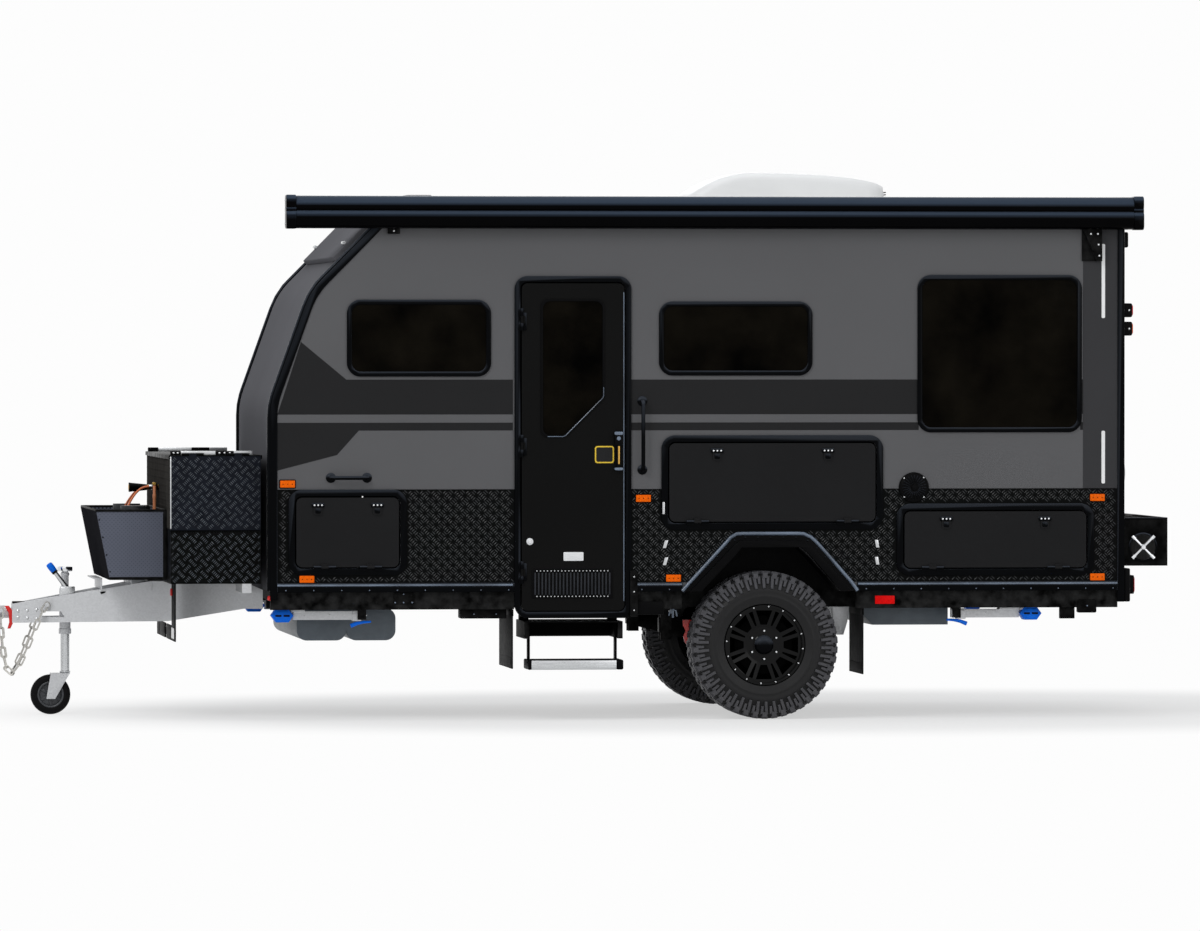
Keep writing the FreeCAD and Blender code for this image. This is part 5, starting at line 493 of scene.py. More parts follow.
def loft(ribs, name, looks, **more):
    """A closed shell with round shoulders through ribs, each with its X, half width, foot and top."""
    shape = bmesh.new()
    loops = []
    for x, half, foot, top in ribs:
        shoulder = max(min(45.0, (top - foot) * 0.8), 1.0)
        right = [(half, foot), (half, top - shoulder), (half - shoulder * 0.12, top - shoulder * 0.5),
                 (half - shoulder * 0.5, top - shoulder * 0.12), (half - shoulder * 1.2, top),
                 (half * 0.45, top + 2), (0, top + 3)]
        loops.append([shape.verts.new((x, -y, z)) for y, z in right]
                     + [shape.verts.new((x, y, z)) for y, z in right[-2::-1]])
    shell(shape, loops)
    return done(shape, name, looks, **more)


def shape_of(draw, *facts, **more):
    """A new shape that begins with one drawn thing."""
    shape = bmesh.new()
    draw(shape, *facts, **more)
    return shape


def with_twin(shape):
    """Adds the mirror image of everything drawn so far."""
    copy = bmesh.ops.duplicate(shape, geom=shape.verts[:] + shape.edges[:] + shape.faces[:])["geom"]
    for thing in copy:
        if isinstance(thing, bmesh.types.BMVert):
            thing.co.y = -thing.co.y
    bmesh.ops.reverse_faces(shape, faces=[thing for thing in copy if isinstance(thing, bmesh.types.BMFace)])


def set_down(name, mesh, looks, body=ROOT, instead_of=(), sharp=38):
    """Makes a mesh an object of the trailer, on its body, with its finish."""
    mesh.name = name
    thing = bpy.data.objects.new(name, mesh)
    bpy.context.scene.collection.objects.link(thing)
    mesh.materials.clear()
    mesh.materials.append(FINISHES[looks])
    mesh.polygons.foreach_set("use_smooth", [True] * len(mesh.polygons))
    mesh.set_sharp_from_angle(angle=math.radians(sharp))
    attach(thing, body)
    if instead_of:
        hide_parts(*instead_of)
    return thing


def done(shape, name, looks, body=ROOT, slot=None, instead_of=(), sharp=38):
    """Turns a shape drawn in millimetres into a piece in metres."""
    bmesh.ops.scale(shape, vec=(0.001, 0.001, 0.001), verts=shape.verts[:])
    mesh = bpy.data.meshes.new(name)
    shape.to_mesh(mesh)
    shape.free()
    return set_down(name, mesh, looks, body, instead_of, sharp)


def softened(node, name, looks, width, body=ROOT, segments=2, limit=35, keep=None, move=None):
    """Stands for a CAD node: a copy of it, or of the part to keep, with its edges rounded."""
    shape = bmesh.new()
    shape.from_mesh(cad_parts[node].data)
    if keep:
        bmesh.ops.delete(shape, geom=[vert for vert in shape.verts if not keep(vert.co)], context="VERTS")
    for vert in shape.verts if move else ():
        vert.co = move(vert.co)
    bmesh.ops.remove_doubles(shape, verts=shape.verts[:], dist=0.00002)
    bmesh.ops.dissolve_limit(shape, angle_limit=math.radians(1.0), verts=shape.verts[:], edges=shape.edges[:])
    mesh = bpy.data.meshes.new(name)
    shape.to_mesh(mesh)
    shape.free()
    trial = bpy.data.objects.new(name + "_trial", mesh)
    bpy.context.scene.collection.objects.link(trial)
    bevel = trial.modifiers.new("round", "BEVEL")
    bevel.width = width
    bevel.segments = segments
    bevel.limit_method = "ANGLE"
    bevel.angle_limit = math.radians(limit)
    result = bpy.data.meshes.new_from_object(trial.evaluated_get(bpy.context.evaluated_depsgraph_get()))
    bpy.data.objects.remove(trial)
    return set_down(name, result, looks, body, (node,), 30)


# Node trees for what repeats


def new_tree(name, inputs):
    """An empty geometry tree with named inputs and one geometry output."""
    tree = bpy.data.node_groups.new(name, "GeometryNodeTree")
    for label, kind, value in inputs:
        socket = tree.interface.new_socket(label, in_out="INPUT", socket_type="NodeSocket" + kind)
        if value is not None:
            socket.default_value = value
    tree.interface.new_socket("Geometry", in_out="OUTPUT", socket_type="NodeSocketGeometry")
    return tree, tree.nodes.new("NodeGroupInput").outputs, tree.nodes.new("NodeGroupOutput").inputs


def tread_tree():
    """Five-bar tread plate: groups of five bars, crossed, kept where they lie wholly on the panel."""
    tree, given, result = new_tree("Five-bar tread", (
        ("Panel", "Object", None), ("Centre", "Vector", None), ("Turn", "Vector", None),
        ("Outward", "Vector", None), ("Lean 1", "Vector", None), ("Lean 2", "Vector", None),
        ("Bar turn 1", "Vector", None), ("Bar turn 2", "Vector", None),
        ("Across", "Float", 1.0), ("Up", "Float", 1.0), ("Pitch", "Float", 0.06),
        ("Bar length", "Float", 0.027), ("Bar width", "Float", 0.005),
        ("Bar height", "Float", 0.0015), ("Spacing", "Float", 0.0125),
        ("Finish", "Material", None)))
    target = geometry_of(tree, given["Panel"])

    def count(length):
        cells = worked(tree, "DIVIDE", length, given["Pitch"])
        cells = worked(tree, "ADD", cells, 2.0)
        cells = worked(tree, "FLOOR", cells)
        steps = worked(tree, "SUBTRACT", cells, 1.0)
        return cells, worked(tree, "MULTIPLY", steps, given["Pitch"])

    columns, wide = count(given["Across"])
    rows, tall = count(given["Up"])
    bar = add(tree, "GeometryNodeMeshCone", {"Vertices": 6, "Radius Top": 0.45, "Radius Bottom": 1.0,
            "Depth": 1.0}).outputs["Mesh"]
    long = worked(tree, "MULTIPLY", given["Bar length"], 0.5)
    broad = worked(tree, "MULTIPLY", given["Bar width"], 0.5)
    size = add(tree, "ShaderNodeCombineXYZ", {"X": long, "Y": broad, "Z": given["Bar height"]}).outputs[0]
    bar = add(tree, "GeometryNodeTransform", {"Geometry": bar, "Scale": size}).outputs["Geometry"]
    joined = add(tree, "GeometryNodeJoinGeometry")
    diagonal = math.sqrt(0.5)
    for lean, sign in (("1", -1), ("2", 1)):
        grid = add(tree, "GeometryNodeMeshGrid", {"Size X": wide, "Size Y": tall, "Vertices X": columns,
                "Vertices Y": rows}).outputs["Mesh"]
        if sign > 0:
            half = worked(tree, "MULTIPLY", given["Pitch"], 0.5)
            shift = add(tree, "ShaderNodeCombineXYZ", {"X": half, "Y": half}).outputs[0]
            grid = add(tree, "GeometryNodeTransform", {"Geometry": grid,
                    "Translation": shift}).outputs["Geometry"]
        step = scaled(tree, (diagonal, sign * diagonal, 0), given["Spacing"])
        start = scaled(tree, step, -2.0)
        line = add(tree, "GeometryNodeMeshLine", {"Count": 5, "Start Location": start,
                "Offset": step}).outputs["Mesh"]
        spread = set_on(tree, grid, line)
        spots = add(tree, "GeometryNodeRealizeInstances", {"Geometry": spread}).outputs["Geometry"]
        turn = rotation_of(tree, given["Turn"])
        spots = add(tree, "GeometryNodeTransform", {"Geometry": spots, "Translation": given["Centre"],
                "Rotation": turn}).outputs["Geometry"]
        here = add(tree, "GeometryNodeInputPosition").outputs[0]
        away = scaled(tree, given["Outward"], 0.05)
        back = scaled(tree, given["Outward"], -1.0)
        on_panel = None
        for reach in (-0.55, 0.0, 0.55):
            along = worked(tree, "MULTIPLY", given["Bar length"], reach)
            tip = scaled(tree, given["Lean " + lean], along)
            tip = moved(tree, tip, here)
            tip = moved(tree, tip, away)
            hit = add(tree, "GeometryNodeRaycast", {"Target Geometry": target, "Source Position": tip,
                    "Ray Direction": back, "Ray Length": 0.051}).outputs["Is Hit"]
            on_panel = hit if on_panel is None else add(tree, "FunctionNodeBooleanMath",
                    {0: on_panel, 1: hit}, operation="AND").outputs[0]
        off = add(tree, "FunctionNodeBooleanMath", {0: on_panel}, operation="NOT").outputs[0]
        spots = add(tree, "GeometryNodeDeleteGeometry", {"Geometry": spots, "Selection": off},
                    domain="POINT").outputs["Geometry"]
        turn = rotation_of(tree, given["Bar turn " + lean])
        bars = set_on(tree, spots, bar, Rotation=turn)
        tree.links.new(bars, joined.inputs[0])
    return ended(tree, joined.outputs[0], result, given)


def row_tree():
    """A piece repeated in a row."""
    tree, given, result = new_tree("Row", (
        ("Piece", "Object", None), ("Count", "Int", 2), ("Step", "Vector", None),
        ("Finish", "Material", None)))
    piece = geometry_of(tree, given["Piece"])
    line = add(tree, "GeometryNodeMeshLine", {"Count": given["Count"],
            "Offset": given["Step"]}).outputs["Mesh"]
    many = set_on(tree, line, piece)
    return ended(tree, many, result, given)


def round_tree():
    """A piece repeated about an axle that runs across the trailer."""
    tree, given, result = new_tree("Round", (
        ("Piece", "Object", None), ("Count", "Int", 6), ("Centre", "Vector", None),
        ("First turn", "Float", 0.0), ("Finish", "Material", None)))
    piece = geometry_of(tree, given["Piece"])
    line = add(tree, "GeometryNodeMeshLine", {"Count": given["Count"], "Offset": (0, 0, 0)}).outputs["Mesh"]
    index = add(tree, "GeometryNodeInputIndex").outputs[0]
    share = worked(tree, "DIVIDE", index, given["Count"])
    turn = worked(tree, "MULTIPLY", share, 2 * math.pi)
    turn = worked(tree, "ADD", turn, given["First turn"])
    euler = add(tree, "ShaderNodeCombineXYZ", {"Y": turn}).outputs[0]
    spin = rotation_of(tree, euler)
    back = scaled(tree, given["Centre"], -1.0)
    piece = add(tree, "GeometryNodeTransform", {"Geometry": piece, "Translation": back}).outputs["Geometry"]
    many = set_on(tree, line, piece, Rotation=spin)
    many = add(tree, "GeometryNodeTransform", {"Geometry": many,
            "Translation": given["Centre"]}).outputs["Geometry"]
    return ended(tree, many, result, given)


def studs_tree():
    """A piece set down at each of a list of places."""
    tree, given, result = new_tree("Studs", (
        ("Piece", "Object", None), ("Places", "Object", None), ("Finish", "Material", None)))
    piece = geometry_of(tree, given["Piece"])
    spots = geometry_of(tree, given["Places"])
    many = set_on(tree, spots, piece)
    return ended(tree, many, result, given)


def geometry_of(tree, thing):
    """The geometry of an object."""
    return add(tree, "GeometryNodeObjectInfo", {"Object": thing}).outputs["Geometry"]


def rotation_of(tree, euler):
    """Three angles as a rotation."""
    return add(tree, "FunctionNodeEulerToRotation", {"Euler": euler}).outputs[0]


def set_on(tree, points, piece, **more):
    """A piece on each point."""
    links = {"Points": points, "Instance": piece, **more}
    return add(tree, "GeometryNodeInstanceOnPoints", links).outputs["Instances"]


def grown(tree, values):
    """The plain mesh that a tree gives with these inputs."""
    host = bpy.data.objects.new("host", bpy.data.meshes.new("host"))
    bpy.context.scene.collection.objects.link(host)
    modifier = host.modifiers.new("grow", "NODES")
    modifier.node_group = tree
    for item in tree.interface.items_tree:
        if item.item_type == "SOCKET" and item.in_out == "INPUT" and item.name in values:
            modifier[item.identifier] = values[item.name]
    bpy.context.view_layer.update()
    mesh = bpy.data.meshes.new_from_object(host.evaluated_get(bpy.context.evaluated_depsgraph_get()))
    host.modifiers.remove(modifier)
    bpy.data.objects.remove(host)
    return mesh


def ended(tree, geometry, result, given):
    """Ends a tree: its instances made real, and their finish set."""
    real = add(tree, "GeometryNodeRealizeInstances", {"Geometry": geometry}).outputs["Geometry"]
    real = add(tree, "GeometryNodeSetMaterial", {"Geometry": real,
            "Material": given["Finish"]}).outputs["Geometry"]
    tree.links.new(real, result["Geometry"])
    return tree


def tree_named(name, maker):
    """A tree made once and used again."""
    return bpy.data.node_groups.get(name) or maker()


def repeated(shape, name, looks, tree, values, body=ROOT, slot=None, instead_of=(), sharp=38):
    """A piece drawn once in millimetres and repeated by a tree."""
    bmesh.ops.scale(shape, vec=(0.001, 0.001, 0.001), verts=shape.verts[:])
    mesh = bpy.data.meshes.new(name + "_one")
    shape.to_mesh(mesh)
    shape.free()
    one = bpy.data.objects.new(name + "_one", mesh)
    bpy.context.scene.collection.objects.link(one)
    values = dict(values, Piece=one, Finish=FINISHES[looks])
    result = grown(tree, values)
    bpy.data.objects.remove(one)
    return set_down(name, result, looks, body, instead_of, sharp)


def row(shape, name, looks, count, step, **more):
    """A row of the drawn piece, with its step in millimetres."""
    return repeated(shape, name, looks, tree_named("Row", row_tree),
                    {"Count": count, "Step": Vector(step) / 1000}, **more)


def wheel_round(shape, name, looks, count, centre=None, first=0.0, **more):
    """The drawn piece repeated about an axle, by default the trailer's own."""
    spot = Vector((AXLE[0], 0, AXLE[1])) if centre is None else Vector(centre)
    return repeated(shape, name, looks, tree_named("Round", round_tree),
                    {"Count": count, "Centre": spot / 1000, "First turn": first}, **more)


def stud(radius, high, axis="y", sides=10):
    """A low domed head that looks the same from both sides."""
    shape = shape_of(turned, [(-high, 0), (-high, radius * 0.55), (-high * 0.5, radius),
            (high * 0.5, radius), (high, radius * 0.55), (high, 0)], (0, 0, 0), axis, sides)
    return shape


def mirrored(places):
    """The places and their twins on the other side."""
    return list(places) + [(x, -y, z) for x, y, z in places]


def studs(shape, name, looks, places, **more):
    """The drawn piece at each place, given in millimetres."""
    mesh = bpy.data.meshes.new(name + "_places")
    mesh.from_pydata([Vector(place) / 1000 for place in places], [], [])
    spots = bpy.data.objects.new(name + "_places", mesh)
    bpy.context.scene.collection.objects.link(spots)
    thing = repeated(shape, name, looks, tree_named("Studs", studs_tree), {"Places": spots}, **more)
    bpy.data.objects.remove(spots)
    return thing


class Maker:
    """What the trailer's operators share."""
    bl_options = {"REGISTER", "UNDO"}


# Disc lamps: name, place, aim and width in metres, and watts.
LAMPS = (("key", (-6.5, -9.5, 8.5), (0, 0, 1.2), 5.0, 420),
         ("fill", (6.5, -10.0, 4.5), (0, 0, 1.2), 7.0, 150),
         ("top", (0.5, -1.0, 9.0), (0.3, 0, 1.0), 7.0, 150),
         ("back", (2.0, 10.0, 6.5), (0, 0, 1.2), 6.0, 150))
# A long lens a little ahead of the near side, as in the photograph, with its place and aim in metres.
FOCAL_LENGTH = 257.9
CAMERA_SPOT = (-5.365, -46.997, 1.963)
CAMERA_AIM = (0.075, -1.1, 1.369)


class TRAILER_OT_stage(Maker, bpy.types.Operator):
    """Floor, plain pale surround, lamps and camera"""
    bl_idname = "trailer.stage"
    bl_label = "Stage"

    def execute(self, context):
        scene = context.scene
        scene.view_settings.view_transform = "Standard"
        pale = linear(0xFDFDFD)
        world = bpy.data.worlds.new("surround")
        scene.world = world
        world.use_nodes = True
        tree = world.node_tree
        tree.nodes.clear()
        # The surround is seen white, and lights the trailer with a cooler grey.
        shade = blended(tree, seen_directly(tree), (0.50, 0.51, 0.52, 1), pale)
        back = add(tree, "ShaderNodeBackground", {"Color": shade, "Strength": 1.0}).outputs[0]
        add(tree, "ShaderNodeOutputWorld", {"Surface": back})

        floor = bpy.data.meshes.new("floor")
        reach = 60.0
        floor.from_pydata([(-reach, -reach, 0), (reach, -reach, 0), (reach, reach, 0), (-reach, reach, 0)],
                          [], [(0, 1, 2, 3)])
        ground = bpy.data.objects.new("floor", floor)
        scene.collection.objects.link(ground)
        made = bpy.data.materials.new("studio_floor")
        made.use_nodes = True
        tree = made.node_tree
        tree.nodes.clear()
        place = add(tree, "ShaderNodeTexCoord").outputs["Object"]
        # Near the trailer the floor takes its shadow, and further out it fades into the surround.
        place = add(tree, "ShaderNodeMapping", {"Vector": place, "Scale": (1 / 5.2, 1 / 3.6, 1),
                "Location": (-0.25, 0, 0)}).outputs["Vector"]
        far = add(tree, "ShaderNodeVectorMath", {0: place}, operation="LENGTH").outputs["Value"]
        far = ranged(tree, far, 0.6, 1.0, interpolation_type="SMOOTHSTEP")
        matt = add(tree, "ShaderNodeBsdfDiffuse", {"Color": linear(0xF4F4F4)}).outputs[0]
        glow = add(tree, "ShaderNodeEmission", {"Color": pale, "Strength": 1.0}).outputs[0]
        lit = add(tree, "ShaderNodeMixShader", {0: 0.55, 1: matt, 2: glow}).outputs[0]
        mixed = add(tree, "ShaderNodeMixShader", {0: far, 1: lit, 2: glow}).outputs[0]
        plain = add(tree, "ShaderNodeMixShader", {0: seen_directly(tree), 1: matt, 2: mixed}).outputs[0]
        add(tree, "ShaderNodeOutputMaterial", {"Surface": plain})
        floor.materials.append(made)

        for name, spot, aim, size, power in LAMPS:
            lamp = bpy.data.lights.new(name, "AREA")
            lamp.shape = "DISK"
            lamp.size = size
            lamp.energy = power
            thing = bpy.data.objects.new(name, lamp)
            thing.location = spot
            thing.rotation_euler = (Vector(aim) - Vector(spot)).to_track_quat("-Z", "Y").to_euler()
            scene.collection.objects.link(thing)

        lens = bpy.data.cameras.new("camera")
        lens.sensor_width = 36.0
        lens.lens = FOCAL_LENGTH
        lens.clip_end = 200.0
        camera = bpy.data.objects.new("camera", lens)
        camera.location = CAMERA_SPOT
        look = Vector(CAMERA_AIM) - camera.location
        camera.rotation_euler = look.to_track_quat("-Z", "Y").to_euler()
        scene.collection.objects.link(camera)
        scene.camera = camera
        return {"FINISHED"}


# The finish of each CAD node. Most are then replaced by pieces with finishes of their own.
NODE_LOOKS = {"panel_paint": ("left_wall", "right_wall"), "nose_paint_with_painted_light": ("nose_panel",),
              "white_abs": ("roof_air_conditioner", "roof_hatches"),
              "white_board": ("roof_panel", "rear_wall"), "floor_board": ("floor_panel",),
              "black_trim": ("body_mouldings", "awning"), "tread_coat": ("tread_plate_skirts", "front_box"),
              "slate_tread_coat": ("box_door_left", "box_door_right"),
              "black_abs": ("arch_flares", "wheel_boxes", "wall_fittings", "rear_bumper", "rear_carrier",
                            "door_fittings"), "smoked_acrylic_painted_reflection": ("window_panes", "door_window"),
              "door_skin": ("entry_door",), "hatch_skin": ("boot_hatch", "boot_hatch_far", "table_hatch",
                      "locker_hatch"), "black_coat": ("chassis_rails", "cross_members",
                              "suspension_hangers", "stabiliser_brackets", "step_housing",
                                      "handbrake_lever", "suspension"),
              "galvanised_steel": ("drawbar", "coupling", "jockey_stem", "jockey_fork"),
              "zinc_chain": ("safety_chains",), "perforated_sheet": ("front_basket",),
              "bottle_paint": ("gas_bottles",), "grey_polyethylene": ("water_tanks",),
              "black_rubber": ("mud_flaps", "jockey_wheel"), "brushed_aluminium": ("entry_step",),
              "stainless": ("jockey_sleeve", "stabiliser_front_left", "stabiliser_front_right",
                            "stabiliser_rear_left", "stabiliser_rear_right"),
              "black_alloy": ("left_rim", "right_rim"), "tyre_rubber": ("left_tyre", "right_tyre"),
              "amber_lens": ("marker_lamps",), "red_lens": ("rear_lamps",),}


class TRAILER_OT_finishes(Maker, bpy.types.Operator):
    """Paints, films, metals, plastics and rubber, and the finish of each CAD piece that stays"""
    bl_idname = "trailer.finishes"
    bl_label = "Finishes"

    def execute(self, context):
        looks = make_finishes(context.scene.trailer_paint)
        for name, nodes in NODE_LOOKS.items():
            for node in nodes:
                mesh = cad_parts[node].data
                mesh.materials.clear()
                mesh.materials.append(looks[name])
        return {"FINISHED"}


# Stripe outlines on the side wall, forward edge first, as X and Z in millimetres.
UPPER_STRIPE = ((-1537, 2033), (-1293, 1831), (-396, 1831), (-396, 1644), (-1664, 1644))
LOWER_STRIPE = ((-1670, 1600), (-396, 1600), (-396, 1558), (-1226, 1558), (-1344, 1427), (-1664, 1344))
STRIPE_RUNS = ((240, 1808), (2692, 2707))
STRIPE_LEVELS = ((1644, 1831), (1558, 1600))
REAR_BAND = ((2707, 1242), (2894, 1242), (2894, 2756), (2707, 2756))
REAR_LINES = ((2809, 2828, 2163, 2564), (2809, 2828, 1268, 1553))


class TRAILER_OT_stripes(Maker, bpy.types.Operator):
    """Film stripes on both side walls and bands at the rear corners"""
    bl_idname = "trailer.stripes"
    bl_label = "Stripes"

    def execute(self, context):
        film = 0.6
        dark = bmesh.new()
        for outline in (UPPER_STRIPE, LOWER_STRIPE):
            prism(dark, outline, -WALL - film, film + 1)
        for x0, x1 in STRIPE_RUNS:
            for z0, z1 in STRIPE_LEVELS:
                prism(dark, ((x0, z0), (x1, z0), (x1, z1), (x0, z1)), -WALL - film, film + 1)
        with_twin(dark)
        # The far wall has no door, so its stripes run on.
        for z0, z1 in STRIPE_LEVELS:
            prism(dark, ((-397, z0), (241, z0), (241, z1), (-397, z1)), WALL - 1, film + 1)
        done(dark, "side_stripes", "stripe_film", slot="grey_panel")
        band = shape_of(prism, REAR_BAND, -WALL - film, film + 1)
        with_twin(band)
        done(band, "rear_corner_bands", "band_film", slot="grey_panel")
        lines = bmesh.new()
        for x0, x1, z0, z1 in REAR_LINES:
            prism(lines, rounded((x0, x1), (z0, z1), 6, 3), -WALL - film * 2, film)
        with_twin(lines)
        done(lines, "rear_corner_lines", "white_film", slot="grey_panel")
        return {"FINISHED"}


# Panels on both sides that carry tread bars: name, CAD node, body and finish, then the panel's Y, X and Z.
# The braces take the side's name.
TREAD_PANELS = (
    ("tread_bars_{}", "tread_plate_skirts", ROOT, "tread_bar_coat", SKIRT, (-1664, 2895), (740, 1242)),
    ("box_bars_{}", "front_box", ROOT, "box_tread_bar", 960, (-2227, -1742), (735, 1023)),
    ("box_door_bars_{}", "box_door_{}", "box_door_{}", "box_tread_bar", 960, (-2227, -1742), (1023, 1420)),
)


class TRAILER_OT_tread_plate(Maker, bpy.types.Operator):
    """Raised bars of the five-bar tread plate"""
    bl_idname = "trailer.tread_plate"
    bl_label = "Tread plate"

    def execute(self, context):
        trim = context.scene.trailer_trim
        tree = tree_named("Five-bar tread", tread_tree)
        for sign, label, panel in [(sign, label, panel) for panel in TREAD_PANELS for sign, label in SIDES]:
            name, node, body = (word.format(label) for word in panel[:3])
            looks, y, (x0, x1), (z0, z1) = panel[3:]
            low = Vector((x0, sign * y, z0)) / 1000
            high = Vector((x1, sign * y, z1)) / 1000
            outward = Vector((0, sign, 0))
            share = 0.8 if looks == "box_tread_bar" else 1.0
            side = Vector((0, 0, 1)).cross(outward)
            base = Matrix((side, Vector((0, 0, 1)), outward)).transposed()
            size = high - low
            leans = [base @ Vector((1, 1, 0)).normalized(), base @ Vector((1, -1, 0)).normalized()]
            turns = [(base @ Matrix.Rotation(math.radians(angle), 3, "Z")).to_euler() for angle in (45, -45)]
            values = {"Panel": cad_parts[node], "Centre": (low + high) / 2,
                      "Turn": Vector(base.to_euler()), "Outward": outward, "Lean 1": leans[0],
                      "Lean 2": leans[1], "Bar turn 1": Vector(turns[0]), "Bar turn 2": Vector(turns[1]),
                      "Across": abs(size.dot(side)), "Up": size.z, "Pitch": trim.tread_pitch,
                      "Bar length": trim.bar_length * share, "Bar width": trim.bar_width * share * share,
                      "Bar height": trim.bar_height, "Spacing": trim.bar_gap * share,
                      "Finish": FINISHES[looks]}
            mesh = grown(tree, values)
            if not len(mesh.polygons):
                raise RuntimeError("no tread bars on " + node)
            set_down(name, mesh, looks, body)
        return {"FINISHED"}


# Section of the tyre's carcass from its bead to its crown: shares of the half width, and radii.
CARCASS = ((0.80, 217), (0.88, 222), (0.93, 238), (0.97, 258), (0.985, 262), (0.985, 268), (0.975, 271),
           (0.99, 284), (1.0, 296), (0.985, 304), (0.93, 311), (0.90, 330), (0.875, 352), (0.85, 366),
           (0.80, 378), (0.76, 383))
# Blocks of half the tread, as shares of the pitch and of the half width, with the radii of foot and top.
TREAD_BLOCKS = (
    (((-0.38, 0.62), (0.30, 0.60), (0.36, 0.86), (-0.32, 0.86)), TREAD_FOOT, TREAD_TOP),
    # The shoulder lug wraps down over the sidewall.
    (((-0.30, 0.84), (0.34, 0.84), (0.28, 0.985), (-0.24, 0.985)), 362, 390),
    (((0.12, 0.24), (0.72, 0.28), (0.80, 0.54), (0.16, 0.56)), TREAD_FOOT, TREAD_TOP))
MIDDLE_BLOCK = ((-0.30, -0.17), (0.22, -0.20), (0.38, 0.17), (-0.14, 0.20))
# Two lugs of the sidewall to each pitch, one long and one short: shares of the pitch at their corners,
# the inner radius with the share of the half width there, and how far they stand proud.
SIDE_LUGS = (((-0.36, 0.02, 0.06, -0.30), (304, 0.93), 13), ((0.14, 0.50, 0.46, 0.16), (330, 0.91), 12))
LUG_TOP = (374, 0.86)


def tread_block(shape, turn, outline, foot, tip):
    """A block from an outline of shares of the pitch and places across, between two radii."""
    middle = Vector((sum(a for a, y in outline), sum(y for a, y in outline))) / len(outline)
    loops = []
    for radius, by in ((foot, 1.0), (tip - 2, 0.93), (tip, 0.83)):
        spots = [middle + (Vector(point) - middle) * by for point in outline]
        loops.append([shape.verts.new((AXLE[0] + math.sin(spot.x * turn) * radius, TYRE_MIDDLE + spot.y,
                                       AXLE[1] + math.cos(spot.x * turn) * radius)) for spot in spots])
    shell(shape, loops)


def side_lug(shape, turn, shares, radii, sign, proud):
    """A lug on the sidewall between two radii, standing proud of it."""
    middle_share = sum(shares) / len(shares)
    middle_radius = sum(radius for radius, across in radii) / len(radii)
    loops = []
    for level, by in ((0.0, 1.0), (proud - 2, 0.94), (proud, 0.82)):
        loop = []
        for (radius, across), share in zip(radii, shares):
            angle = (middle_share + (share - middle_share) * by) * turn
            spot = middle_radius + (radius - middle_radius) * by
            x, z = AXLE[0] + math.sin(angle) * spot, AXLE[1] + math.cos(angle) * spot
            loop.append(shape.verts.new((x, TYRE_MIDDLE + sign * (TYRE_HALF * across + level), z)))
        loops.append(loop)
    shell(shape, loops)


class TRAILER_OT_tyres(Maker, bpy.types.Operator):
    """All-terrain tyres with their tread blocks and the lugs of their sidewalls"""
    bl_idname = "trailer.tyres"
    bl_label = "Tyres"

    def execute(self, context):
        count = context.scene.trailer_trim.tread_blocks
        turn = 2 * math.pi / count
        for side, label in SIDES:
            carcass = bmesh.new()
            profile = [(-TYRE_HALF * across, radius) for across, radius in CARCASS]
            profile += [(TYRE_HALF * across, radius) for across, radius in reversed(CARCASS)]
            ring_of(carcass, profile, (AXLE[0], TYRE_MIDDLE, AXLE[1]), "y", 96)
            blocks = bmesh.new()
            for sign, off in ((-1, 0.0), (1, 0.5)):
                for shares, foot, proud in SIDE_LUGS:
                    side_lug(blocks, turn, [off + share for share in shares],
                             (LUG_TOP, LUG_TOP, foot, foot), sign, proud)
                for outline, foot, tip in TREAD_BLOCKS:
                    outline = [(off + share, TYRE_HALF * sign * across) for share, across in outline]
                    tread_block(blocks, turn, outline, foot, tip)
            outline = [(share, TYRE_HALF * across) for share, across in MIDDLE_BLOCK]
            tread_block(blocks, turn, outline, TREAD_FOOT, 399.0)
            for shape in (carcass, blocks):
                if side > 0:
                    flipped(shape)
            # The tread blocks' greyer rubber is a painted highlight on the lugs.
            body = label + "_wheel"
            done(carcass, label + "_tyre_carcass", "tyre_rubber", body, "tyre_rubber", (label + "_tyre",))
            wheel_round(blocks, label + "_tyre_blocks", "tread_rubber_painted_highlight", count, body=body, slot="tyre_rubber",
                        instead_of=(label + "_tyre",), sharp=25)
        return {"FINISHED"}


# Fasteners of a wheel: name, count, finish, pitch radius, profile, sides of the head and first turn.
WHEEL_FASTENERS = (("_rim_bolts", 16, "stainless", 208.5,
                    ((-1106.8, 0), (-1106.8, 3.12), (-1105.4, 5.2), (-1102, 5.2)), 8, 0.1),
                   ("_wheel_nuts", 6, "chrome", 76.0, ((-1084, 5), (-1081, 8.5), (-1075, 9.5),
                           (-1060, 9.5)), 6, 0.0))
HUB_CAP = ((-1103, 0), (-1102.5, 18), (-1099, 34), (-1092, 45), (-1083, 50), (-1070, 52))
BRAKE_DRUM = ((-1046, 0), (-1046, 150), (-1042, 158), (-990, 160), (-985, 196), (-960, 196))


class TRAILER_OT_rims(Maker, bpy.types.Operator):
    """Bolts, nuts, caps and brake drums of the wheels"""
    bl_idname = "trailer.rims"
    bl_label = "Rims"

    def execute(self, context):
        for side, label in SIDES:
            body = label + "_wheel"
            for name, count, looks, radius, profile, sides, first in WHEEL_FASTENERS:
                shape = shape_of(turned, profile, (AXLE[0], 0, AXLE[1] + radius), "y", sides)
                if side > 0:
                    flipped(shape)
                wheel_round(shape, label + name, looks, count, first=first, body=body, slot="black_alloy")
            # The brake drum's near-black finish is painted shade behind the spokes.
            for name, looks, profile in (("_hub_cap", "black_trim", HUB_CAP),
                    ("_brake_drum", "drum_iron_painted_shade", BRAKE_DRUM)):
                shape = shape_of(turned, profile, (AXLE[0], 0, AXLE[1]), "y", 48)
                if side > 0:
                    flipped(shape)
                done(shape, label + name, looks, body, "black_alloy")
        return {"FINISHED"}


